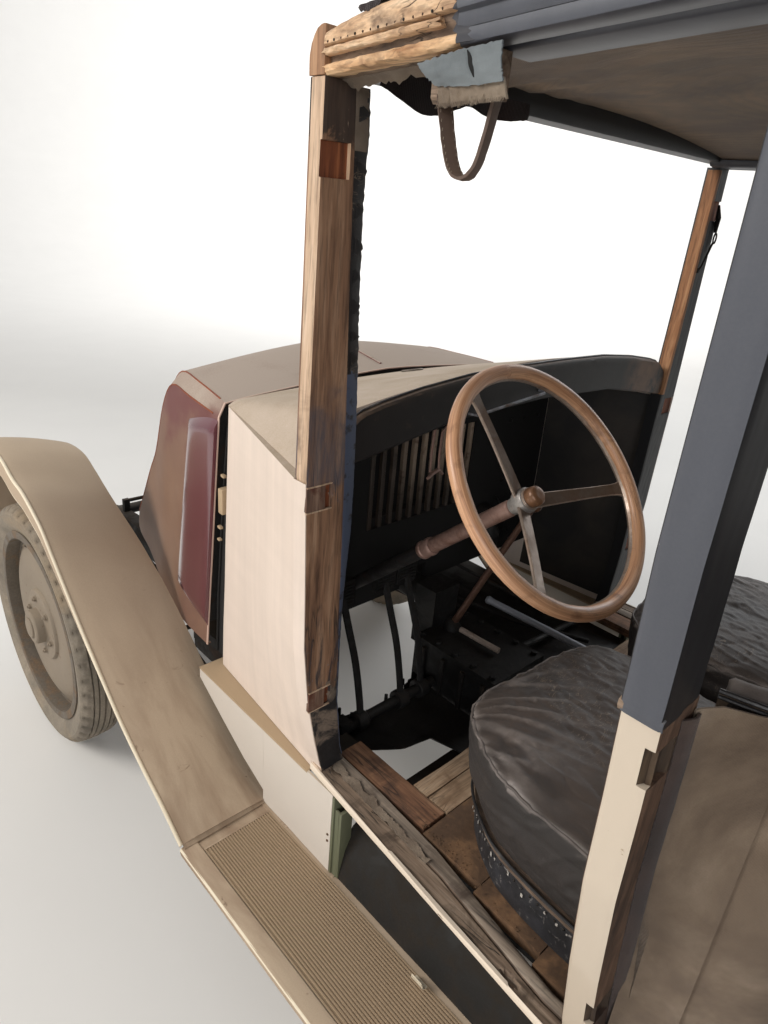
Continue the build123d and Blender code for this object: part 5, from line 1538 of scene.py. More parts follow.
def patch_and_strap():
    # grey cloth patch over the rail
    def surf(u, v):
        """u 0..1 front to rear, v 0..1 top to bottom."""
        x = lerp(lerp(-193, -313, u), lerp(-222, -318, u), v) + 1.2 * nz(v * 3, 1, 1)
        z = lerp(lerp(1647, 1652, u), lerp(1627, 1623, u), v)
        z += 1.5 * sin(pi * u) * (1 - v) - 1.8 * sin(pi * u) * v
        y = co(x) + 1.6 + 1.6 * sin(pi * v) + 0.9 * nz(u * 6, v * 5, 2) - 2.5 * v * v * (1 - u * 0.5)
        return x, y, z
    rows = []
    n, m = 34, 22
    for i in range(n + 1):
        u = i / n
        slit = abs(u - 0.62)
        row = []
        for j in range(m + 1):
            v = j / m
            x, y, z = surf(u, v)
            if slit < 0.04 and v < 0.85:
                y -= 2.0 * (1 - slit / 0.04) * sin(pi * min(1, v / 0.85)) ** 0.5
            if i in (0, n) or j in (0, m):
                x += 1.4 * nz(u * 20, v * 20, 5)
                z += 1.6 * nz(u * 20, v * 20, 6)
            row.append((x, y, z))
        rows.append(row)
    o = build("rail_patch", Geo().grid(rows), PATCH, "chassis", thick=1.4,
              wob=lambda x, y, z, n: 0.5 * nz(x / 9, y / 9, z / 9))
    # slit seen as a dark gap
    g = Geo()
    rows = []
    for j in range(9):
        v = 0.06 + 0.74 * j / 8
        x, y, z = surf(0.62 + 0.03 * sin(3 * v), v)
        w = 2.8 * sin(pi * (j + 0.4) / 8.8)
        rows.append([(x + w, y + 0.3, z), (x - w, y + 0.3, z)])
    build("patch_slit_shadow", Geo().grid(rows), hole_mat(), "chassis", thick=0.6)
    # frayed backing below the patch, carried on a block under the rail
    rows = []
    for i in range(49):
        u = i / 48
        x = lerp(-224, -318, u)
        row = []
        rag = 5.2 * nz(u * 14, 2, 3) + 3.8 * nz(u * 40, 2, 9)
        for j in range(8):
            v = j / 7
            y = co(x) - 1.4 - 6 * v + 1.2 * nz(u * 12, v * 5, 1)
            row.append((x + 1.2 * nz(u * 30, v * 9, 4) * v, y, lerp(lerp(1630, 1626, u), lerp(1610, 1611, u) + rag, v)))
        rows.append(row)
    o = build("patch_backing", Geo().grid(rows), BACKING, "chassis", thick=2.2,
              wob=lambda x, y, z, n: 1.3 * nz(x / 5, y / 5, z / 5))
    g = Geo()
    rings = []
    for k in range(13):
        x = -205 - 80 * k / 12
        ya, yb = 590, lerp(607, 613, k / 12)
        j = 1.0 * nz(x / 10, 1, 1)
        rings.append([(x, ya, 1616 + j), (x, ya, 1654.5), (x, yb - 2, 1654.5), (x, yb + j, 1650), (x, yb, 1620), (x, yb - 4, 1615 + j)])
    g.rings(rings)
    build("strap_block", g, BROWN_WOOD, "chassis")
    # fuzzy threads hanging from the frayed edge
    g = Geo()
    for k in range(34):
        u = k / 33
        x = lerp(-222, -316, u)
        z0 = 1613
        L = 4 + 7 * abs(nz(k, 3, 5))
        y = co(x) - 6
        g.tube([(x, y, z0), (x + 2 * nz(k, 1, 1), y + 1.5 * nz(k, 2, 2), z0 - L * 0.5), (x + 4 * nz(k, 5, 5), y + 2, z0 - L)],
               [0.55, 0.45, 0.25], 4)
    build("patch_threads", g, BACKING, "chassis")
    # shreds of grey cloth under the bare timber
    rows = []
    for i in range(37):
        u = i / 36
        x = lerp(14, -182, u)
        hang = 6 + 6 * nz(u * 9, 1, 7) + 4 * nz(u * 27, 2, 8)
        row = []
        for j in range(6):
            v = j / 5
            row.append((x, co(x) - 30 - 14 * v + 2 * nz(u * 10, v * 3, 2), 1655.5 - hang * v * v - 1.5 * v))
        rows.append(row)
    o = build("cantrail_shreds", Geo().grid(rows), BACKING, "chassis", thick=1.2,
              wob=lambda x, y, z, n: 0.7 * nz(x / 6, y / 6, z / 6))
    # grab strap: two flat legs stitched into the block, one seen flat and one edge on
    left = spline([(-219, 603, 1622), (-225, 603, 1600), (-232, 603, 1578), (-239, 603, 1562), (-246, 603, 1554)], 6)
    turn = spline([(-246, 603, 1554), (-254, 602.6, 1551), (-262, 602, 1554)], 5)
    right_leg = spline([(-262, 602, 1554), (-268, 600, 1564), (-273, 598, 1585), (-278, 596, 1614), (-281, 595, 1626)], 6)
    path = left + turn[1:] + right_leg[1:]
    rows = []
    for i, p in enumerate(path):
        t = i / (len(path) - 1)
        tw = smooth(0.3, 0.7, t)
        w = 8.2 * (1 - 0.1 * sin(pi * t)) + 0.4 * nz(t * 20, 1, 1)
        d = Vector(path[min(i + 1, len(path) - 1)]) - Vector(path[max(i - 1, 0)])
        d.normalize()
        wide = (Vector((0.34, 0.94, 0)) * (1 - tw) + Vector((-0.20, 0.98, 0)) * tw).normalized()
        wide = (wide - d * wide.dot(d)).normalized()
        nrm = d.cross(wide)
        row = []
        for a, b in ((-1, -0.7), (-0.9, 1), (0, 1.25), (0.9, 1), (1, -0.7), (0, -1.1)):
            row.append(tuple(Vector(p) + wide * a * w + nrm * b * 1.7))
        rows.append(row)
    g = Geo().rings(rows)
    build("grab_strap_loop", g, STRAP, "chassis", ("grab_strap",), angle=60,
          wob=lambda x, y, z, n: 0.35 * nz(x / 5, y / 5, z / 7))
    # stitches along the flat leg
    g = Geo()
    for i in range(2, len(left) - 1, 2):
        p = Vector(left[i])
        for s in (-1, 1):
            c = p + Vector((0.34, 0.94, 0)) * s * 6 + Vector((-0.94, 0.34, 0.1)) * 1.9
            g.tube([tuple(c + Vector((0, 0, 1.3))), tuple(c - Vector((0, 0, 1.3)))], 0.45, 5)
    build("strap_stitches", g, BACKING, "chassis")


_holes = []


def hole_mat():
    if not _holes:
        _holes.append(paint("deep_gap", C(14, 12, 11), None, rough=0.95, var=0.2))
    return _holes[0]


patch_and_strap()


SHEET_EDGE = paint("sheet_edge", C(222, 206, 186), C(186, 166, 144), 0.3, 0.55, var=0.25, scuff=C(120, 92, 72), scuff_at=(0.66, 0.76))
GREY_STRIP = wood("grey_strip", C(92, 80, 70), C(140, 124, 108), C(172, 156, 138), "x", 0.8, 0.7, stain=C(70, 56, 46),
                  stain_at=(0.55, 0.68), stain_scale=9)


# ---- sills and floor ----------------------------------------------------------------------
S_IN = [(30, 466), (-100, 469), (-255, 480), (-515, 524), (-1240, 524)]
S_GROOVE = [(30, 497), (-289, 514), (-510, 546), (-1240, 549)]
S_WOOD = [(30, 521), (0, 525), (-332, 557), (-490, 567), (-557, 571), (-1240, 575)]
S_OUT = [(30, 528), (0, 531), (-557, 575), (-1240, 580)]


def sills():
    rings = []
    xs = [x for (x,) in straight([(30,), (-620,)], 5)] + [x for (x,) in straight([(-640,), (-1240,)], 24)]
    nsec = 0
    for x in xs:
        a, gr, w = interp(S_IN, x), interp(S_GROOVE, x), interp(S_WOOD, x)
        gr += 1.2 * nz(x / 45, 3, 1)
        sec = [(a + 0.5, 514), (a, 552)]
        sec += [(a + 2.2, 555.6), (lerp(a, gr, 0.3), 557.4), (lerp(a, gr, 0.6), 557.6), (lerp(a, gr, 0.85), 556.6)]
        gd = 5.5 + 2 * nz(x / 20, 1, 4)
        sec += [(gr - 2.2, 555.4), (gr - 1.2, 555.4 - gd), (gr + 1.0, 555.4 - gd), (gr + 2.2, 555.0)]
        for k in range(1, 9):
            y = lerp(gr + 2.2, w, k / 9)
            z = 555.2 + 0.7 * nz(x / 60, y / 3.5, 2) + 0.5 * nz(x / 14, y / 6, 6)
            if (x + 463) ** 2 / 190 + (y - 556) ** 2 / 40 < 1:
                z -= 8
            sec.append((y, z))
        sec += [(w, 554.5), (w + 0.4, 545), (w - 26, 541), (w - 26, 514)]
        nsec = len(sec)
        rings.append([(x, y, z) for y, z in sec])
    g = Geo().rings(rings, mi=lambda i, j: 1 if 6 <= j <= 8 else (2 if j < 6 else 0))
    build("sill_timbers", g.mirror(), [GREY_WOOD, BROWN_WOOD, GREY_STRIP], "chassis", ("sills",), angle=40)
    rows = []
    for x in xs:
        w, o = interp(S_WOOD, x), interp(S_OUT, x)
        rows.append([(x, w + 0.6, 556.2), (x, w + 1.4, 557.8), (x, o - 1.0, 557.8), (x, o, 556), (x, o, 545), (x, o - 1, 541.5)])
    build("sill_sheet_edges", Geo().grid(rows).mirror(), SHEET_EDGE, "chassis", thick=1.4,
          wob=lambda x, y, z, n: 0.3 * nz(x / 30, y / 10, z / 10))


def sill_fringe():
    """Torn edge of the old covering along the groove, by the windscreen pillar."""
    rows = []
    for i in range(121):
        u = i / 120
        x = lerp(-6, -262, u)
        gr = interp(S_GROOVE, x)
        a = 11 + 7 * nz(u * 11, 2, 5) + 4 * nz(u * 48, 3, 1) - 5 * u
        b = 5 + 4 * nz(u * 17, 7, 2) + 3 * nz(u * 60, 1, 8)
        row = []
        for j in range(8):
            v = j / 7
            lift = 1.2 + 3.2 * (1 - v) ** 2 * (0.5 + 0.5 * nz(u * 26, v, 6))
            row.append((x + 1.4 * nz(u * 50, v * 4, 2), lerp(gr - a, gr + b, v), 558.6 + lift))
        rows.append(row)
    o = build("sill_fringe", Geo().grid(rows), SILL_CLOTH, "chassis", thick=1.1,
              wob=lambda x, y, z, n: 0.7 * nz(x / 4, y / 4, z / 4))


sills()
sill_fringe()


def plank(g, x0, x1, y0, y1, z0, z1, along="y", seed=0.0, rough=0.8, mi=0, broken=0.0):
    """A board with worn edges: fine grid on top. broken splinters its front end."""
    nx, ny = max(3, int(abs(x1 - x0) / 12)), max(3, int(abs(y1 - y0) / 12))
    if along == "y":
        ny = max(3, int(abs(y1 - y0) / 30))
    else:
        nx = max(3, int(abs(x1 - x0) / 30))
    rows = []
    for i in range(nx + 1):
        x = lerp(x0, x1, i / nx)
        row = []
        for j in range(ny + 1):
            y = lerp(y0, y1, j / ny)
            e = i in (0, nx) or j in (0, ny)
            fx, fy = (7, 60) if along == "y" else (60, 7)
            row.append((x + (0.8 * nz(y / 30, seed, 1) if i in (0, nx) else 0) + (broken * nz(y / 9, seed, 1) if i == nx else 0), y + (0.8 * nz(x / 30, seed, 2) if j in (0, ny) else 0),
                        z1 - (1.4 if e else 0) + rough * nz(x / fx, y / fy, seed)))
        rows.append(row)
    o = len(g.v)
    g.grid(rows, mi, flip=False)
    w = ny + 1
    rim = [(0, j) for j in range(ny)] + [(i, ny) for i in range(nx)] + [(nx, j) for j in range(ny, 0, -1)] + [(i, 0) for i in range(nx, 0, -1)]
    top = [o + i * w + j for i, j in rim]
    low = []
    for i, j in rim:
        p = rows[i][j]
        g.v.append((p[0], p[1], z0))
        low.append(len(g.v) - 1)
    n = len(rim)
    for k in range(n):
        g.f.append((top[k], low[k], low[(k + 1) % n], top[(k + 1) % n]))
        g.m.append(mi)
    g.f.append(tuple(low))
    g.m.append(mi)


def floor():
    g = Geo()
    for s in (1, -1):
        plank(g, *((-208, 18) if s > 0 else (-208, 18)), *sorted((s * 413, s * 465)), 533, 555.4, "x", 3.1 * s)
    build("floor_side_planks", g, FLOOR_RED, "chassis", ("floor_boards",))
    g = Geo()
    cols = [(-410, -142), (-139, 142), (145, 410)]
    for i, (a, b) in enumerate(cols):
        plank(g, -163.5, -128, a, b, 533, 555.0 + 0.6 * (i % 2), "y", 5 + i, 1.0, 0, 4.5)
        plank(g, -212, -166.5, a, b, 533, 554.6 + 0.6 * ((i + 1) % 2), "y", 15 + i)
    build("floor_toe_boards", g, FLOOR_TAN, "chassis")
    g = Geo()
    x = -214.5
    k = 0
    while x > -1866:
        x1 = max(x - 128, -1868)
        edge = [(-1868, 468), (-1237, 468), (-1235, 521), (-515, 521), (-255, 477), (-214, 474)]
        w = min(interp(edge, x), interp(edge, x1))
        plank(g, x1 + 1.5, x, -w, w, 533, 555.0 + 0.5 * (k % 2), "y", 30 + k, 1.2)
        x = x1
        k += 1
    build("floor_rear_boards", g, DIRT, "chassis")
    g = Geo()
    for x in (-230, -680, -1180, -1840):
        g.box(x - 25, x + 25, -450, 450, 511, 532.6)
    build("floor_bearers", g, BROWN_WOOD, "chassis", bevel=2)
    # rolled grit lying on the boards near the sill
    g = Geo()
    for k in range(150):
        u, v = abs(nz(k * 1.7, 3, 1)) * 2 % 1, abs(nz(k * 2.3, 9, 4)) * 2 % 1
        x = lerp(-200, -470, u)
        s = 1 if k % 2 else -1
        y = s * (interp(S_IN, x) - 8 - 46 * v)
        r = 1.2 + 2.2 * abs(nz(k, 5, 8))
        g.disc((x, y, 555.0), (nz(k, 1, 1) * 0.4, nz(k, 2, 2) * 0.4, 1), r, r * 0.9, 6)
    build("floor_grit", g, DIRT, "chassis", angle=20)
    # mortised seat-frame rail beside the cushion
    g = Geo()
    for s in (1, -1):
        plank(g, -560, -232, *sorted((s * 120, s * 152)), 556, 600, "x", 3 + s)
    build("seat_rails", g, BROWN_WOOD, "chassis")


floor()


# ---- front of the cab -------------------------------------------------------------------------
DASH = [(505, 1208), (475, 1231), (429, 1241), (341, 1254), (217, 1265), (74, 1268)]


def dash():
    tab = sorted([(y, z) for y, z in DASH] + [(-y, z) for y, z in DASH])
    low = [(-505, 1150), (-250, 1190), (0, 1198), (250, 1190), (505, 1150)]
    rings = []
    for k in range(81):
        y = lerp(-505, 505, k / 80)
        t, b = interp(tab, y), interp(low, y)
        w = 0.8 * nz(y / 30, 1, 2)
        rings.append([(8, y, b), (4.5 + w * 0.3, y, b + 4), (4 + w, y, lerp(b, t, 0.35)), (4.4 - w, y, lerp(b, t, 0.7)), (5.5, y, t - 5),
                      (9, y, t - 1), (15, y, t), (23, y, t - 1), (28, y, t - 5), (28, y, b + 2), (25, y, b)])
    g = Geo().rings(rings)

    def fin(w, col):
        y = w.xyz("Y")
        worn = w.math("SUBTRACT", 1.0, w.step(w.math("ADD", y, w.math("MULTIPLY", w.noise(20, 4), 0.10)), -0.34, -0.24))
        br = w.mix(w.noise(30, 5, 0.6), C(58, 38, 26), C(124, 92, 66))
        col = w.mix(w.math("MULTIPLY", worn, w.ramp(w.noise(16, 5, 0.65), [(0.35, 0.0), (0.52, 0.95)])), col, br)
        up = w.step(w.facing("Z"), 0.3, 0.95)
        rag = w.ramp(w.noise(60, 5, 0.6), [(0.35, 0.2), (0.6, 0.8)])
        return w.mix(w.math("MULTIPLY", up, rag), col, C(96, 74, 56))
    build("dash_board", g, paint("dash_black", C(22, 19, 18), C(84, 70, 58), 0.2, 0.5, var=0.4, scuff=C(54, 42, 34),
                                 scuff_at=(0.62, 0.76), finish=fin, bumps=0.35), "chassis", ("dash_rail",))
    # hem strip along the dash top and the thin pale rod below it
    g = Geo().tube([(17, y, interp(tab, y) + 1.0) for y in [lerp(-500, 500, k / 60) for k in range(61)]], 2.2, 8)
    build("dash_top_bead", g, PIPING, "chassis")
    g = Geo().tube([(-12, 222, 1200), (-12, 120, 1209), (-12, 25, 1217)], 2.8, 10)
    g.tube([(-12, 25, 1217), (-6, 22, 1218), (6, 21, 1219)], 2.6, 8)
    g.tube([(-12, 222, 1200), (-6, 225, 1200), (6, 226, 1200)], 2.6, 8)
    build("dash_pale_rod", g, GREY_ROD, "chassis")
    # hand controls under the dash: two thin levers on a small bracket
    g = Geo()
    g.tube([(70, 236, 1152), (66, 243, 1112), (62, 246, 1074)], [3, 2.6, 2.4], 8)
    g.tube([(64, 222, 1128), (60, 227, 1098), (56, 229, 1080)], [2.6, 2.4, 2.2], 8)
    g.tube([(52, 262, 1068), (58, 244, 1072), (60, 226, 1076), (66, 206, 1062)], [3, 4, 4, 3], 8)
    g.tube([(70, 236, 1152), (60, 236, 1174), (28, 236, 1192)], [3, 3, 3], 8)
    g.tube([(64, 222, 1128), (60, 226, 1150), (28, 230, 1190)], [2.6, 2.6, 2.6], 8)
    build("dash_hand_levers", g, COLUMN, "chassis")
    # inner boards of the scuttle sides, blackened
    rows = []
    for z in [560 + (1138 - 560) * k / 24 for k in range(25)]:
        rows.append([(x, side_y(x, z) - 18.5 + 0.8 * nz(x / 50, z / 50, 3), z) for x in (32, 80, 130, 180, 230, 280, 299)])

    def fin2(w, col):
        z, y = w.xyz("Z"), w.xyz("Y")
        x = w.xyz("X")
        n = w.math("MULTIPLY", w.math("SUBTRACT", w.noise(14, 4, 0.6), 0.5), 0.10)
        zz, xx = w.math("ADD", z, n), w.math("ADD", x, n)
        blue = w.math("MULTIPLY", w.math("MULTIPLY", w.step(zz, 0.92, 0.95), w.math("SUBTRACT", 1.0, w.step(zz, 1.11, 1.14))),
                      w.math("SUBTRACT", 1.0, w.step(y, -0.3, -0.2)))
        blue = w.math("MULTIPLY", blue, w.math("SUBTRACT", 1.0, w.step(xx, 0.12, 0.16)))
        col = w.mix(w.math("MULTIPLY", blue, w.ramp(w.noise(22, 4), [(0.35, 0.55), (0.6, 0.95)])), col, C(80, 88, 108))
        mid = w.ramp(w.noise(5, 5, 0.6, 0.4), [(0.4, 0.0), (0.7, 0.45)])
        return w.mix(mid, col, C(78, 66, 56))
    inner = paint("scuttle_inner", C(24, 21, 20), C(62, 54, 46), 0.25, 0.55, var=0.4, finish=fin2, bumps=0.2)
    build("scuttle_inner_boards", Geo().grid(rows).mirror(), inner, "chassis", thick=2.2)
    rows = []
    for k in range(13):
        x = lerp(299, 32, k / 12)
        t = (412 - x) / 381
        ysh, zsh, cr = lerp(448, 478, t), lerp(1150, 1231, t), lerp(1166, 1269, t)
        row = []
        for j in range(25):
            y = ysh * (1 - j / 12) * 0.97
            row.append((x, y, zsh + (cr - zsh) * (1 - (y / ysh) ** 2) - 16.5))
        rows.append(row)
    build("scuttle_inner_top", Geo().grid(rows), inner, "chassis", thick=2)


dash()


def radiator():
    g = Geo()
    for i in range(11):
        y = -165 + 33 * i
        rings = []
        for z in [837 + 210 * k / 24 for k in range(25)]:
            w = 6.0 + 0.25 * nz(y, z / 30, 1)
            x = 300 + 0.8 * nz(z / 60, y, 2)
            rings.append([(x + 1.5, y - w, z), (x, y - w + 1.6, z), (x, y + w - 1.6, z), (x + 1.5, y + w, z), (x + 10.5, y + w, z),
                          (x + 12, y + w - 1.6, z), (x + 12, y - w + 1.6, z), (x + 10.5, y - w, z)])
        g.rings(rings)
    build("radiator_slat_bars", g, SLATS, "chassis", ("radiator",), angle=40)
    g = Geo()
    g.box(336, 402, -240, 240, 701, 1059)
    g.box(310.5, 337, -174, 174, 1026, 1058)
    g.box(310.5, 337, -174, 174, 826, 858)
    build("radiator_core", g, DARK_IN, "chassis", bevel=5)
    g = Geo()
    for k in range(25):
        z = 712 + 13.5 * k
        g.box(402.2, 405, -228, 228, z, z + 3)
    build("radiator_fins", g, paint("fins", C(104, 86, 60), C(140, 122, 96), 0.4, 0.5, var=0.4, metal=0.4), "chassis")


radiator()


# ---- steering ---------------------------------------------------------------------------------
TC, TS = cos(TILT), sin(TILT)


def col(s, dx=0.0, dy=0.0):
    return (STEER_C[0] + s * TC + dx, STEER_C[1] + dy, STEER_C[2] - s * TS)


def wheel_point(r, a, n):
    """r along the wheel's plane, a the angle from its upward axis towards +Y, n towards the driver."""
    up, left, nor = Vector((TS, 0, TC)), Vector((0, 1, 0)), Vector((-TC, 0, TS))
    return Vector(STEER_C) + up * r * cos(a) + left * r * sin(a) + nor * n


def steering_wheel():
    g = Geo()
    rows, grain = [], []
    N, K = 128, 20
    for i in range(N):
        a = 2 * pi * i / N
        row = []
        for k in range(K):
            b = 2 * pi * k / K
            rad = 12 + 0.28 * nz(cos(a) * 3, sin(a) * 3, b / 2)
            grip = 0.9 * max(0, cos(a * 24)) * (cos(b - pi) > 0.3)
            rr = rad - grip * 0.5
            row.append(tuple(wheel_point(196 + rr * cos(b), a, rr * 0.96 * sin(b))))
            grain.append((a * 0.196, 0.03 * cos(b), 0.03 * sin(b)))
        rows.append(row)
    g.grid(rows, loop=True, closed=True)
    o = fresh("steering_rim", g, [RIM], weld=0.0001)
    at = o.data.attributes.new("grain", "FLOAT_VECTOR", "POINT")
    at.data.foreach_set("vector", [c for v in grain for c in v])
    place(o, "steering_wheel", ("steering_wheel_rim",), angle=60)
    # metal ring let into the rim's far inner side
    rows = []
    for i in range(96):
        a = 2 * pi * i / 96
        rows.append([tuple(wheel_point(r, a, n)) for r, n in ((184.6, -2.0), (183.2, -7.0), (186, -11.4), (193, -13.2), (197, -12.4), (191, -6))])
    build("steering_rim_ring", Geo().grid(rows, loop=True, closed=True), SPOKE_EDGE, "steering_wheel", angle=40)
    # three flat spokes with bright edges, flared at the rim; the pale edge faces are partly bare steel and partly a
    # painted highlight
    g, e = Geo(), Geo()
    for deg in (23, 140, 258):
        a = radians(deg)
        out = Vector(wheel_point(1, a, 0)) - Vector(STEER_C)
        nor = Vector((-TC, 0, TS))
        side = out.cross(nor).normalized()
        rings = []
        for k in range(15):
            t = k / 14
            r = 14 + 176 * t
            n = -64 + 55 * t + 1.5 * sin(pi * t)
            w = lerp(12.6, 9.6, min(1, t * 1.6)) + (5.5 * smooth(0.90, 1.0, t))
            h = 3.0
            c = Vector(STEER_C) + out * r + nor * n
            rings.append([tuple(c + side * sx * w + nor * sn * h) for sx, sn in
                          ((-1, -0.6), (-1, 0.5), (-0.86, 1), (0.86, 1), (1, 0.5), (1, -0.6), (0.8, -1), (-0.8, -1))])
        g.rings(rings, mi=lambda i, j: 1 if j in (0, 1, 3, 4) else 0)
    build("steering_spokes", g, [SPOKE, SPOKE_EDGE], "steering_wheel", ("steering_wheel_spider",), angle=30)
    def turned(name, prof, mat, seg=36):
        rings = []
        for r, n in prof:
            rings.append([tuple(wheel_point(r, 2 * pi * k / seg, n)) for k in range(seg)])
        build(name, Geo().rings(rings), mat, "steering_wheel", angle=35)
    turned("steering_hub", [(13.4, -88), (14, -87), (14, -75), (17, -74.4), (20, -73.4), (21, -71), (21.2, -62), (21, -55.6), (20, -52.6), (17, -51), (15.6, -50)], HUB_GREY)
    turned("steering_hub_knob", [(14.8, -50.5), (16.2, -48.5), (16.6, -44), (16.6, -38), (15.6, -33), (12.6, -30), (7, -29), (3, -29.4)], KNOB)
    turned("steering_hub_ring", [(17.6, -52), (18.4, -51), (18.4, -48.6), (17.4, -47.6)], SPOKE_EDGE)


steering_wheel()


def column():
    seg = 28
    DEEP_IRON = iron("column_iron", C(22, 19, 18), C(44, 31, 24), (0.54, 0.68), 0.7, 0.2, C(58, 48, 38), 0.3)

    def tube_s(g, rows):
        rings = []
        for s, r in rows:
            c = Vector(col(s))
            u, w = Vector((TS, 0, TC)), Vector((0, 1, 0))
            rings.append([tuple(c + u * r * cos(2 * pi * k / seg) + w * r * sin(2 * pi * k / seg)) for k in range(seg)])
        g.rings(rings)
    g = Geo()
    tube_s(g, [(90.5, 11), (92, 13), (95, 14.2), (130, 14.2), (180, 14.2), (240, 14.2), (296, 14.2)])
    build("column_tube_upper", g, COLUMN, "chassis", ("steering_column",), angle=35)
    g = Geo()
    tube_s(g, [(297, 14.8), (299, 17), (303, 17.9), (308, 17.9), (310, 16.4), (320, 16.4), (322, 17.9), (328, 17.9), (331, 16), (333, 14.4)])
    build("column_collar", g, COLUMN, "chassis", angle=35)
    g = Geo()
    tube_s(g, [(331, 13.6), (500, 13.6), (700, 13.6), (1028, 13.6)])
    build("column_tube_lower", g, DEEP_IRON, "chassis", angle=35)
    o = build("steering_box", Geo().box(545, 640, 250, 310, 436, 512), OILY, "chassis", bevel=9, seg=4)
    g = Geo()
    g.disc((600, 304, 470), (0, 1, 0), 22, 8, 24)
    for k in range(6):
        a = k * pi / 3
        g.disc((592 + 34 * cos(a), 310, 474 + 30 * sin(a)), (0, 1, 0), 4.5, 3.5, 6)
    build("steering_box_cover", g, OILY, "chassis")


column()


DEEP_IRON = iron("deep_iron", C(19, 17, 16), C(36, 27, 21), (0.55, 0.7), 0.7, 0.2, C(52, 44, 36), 0.3)


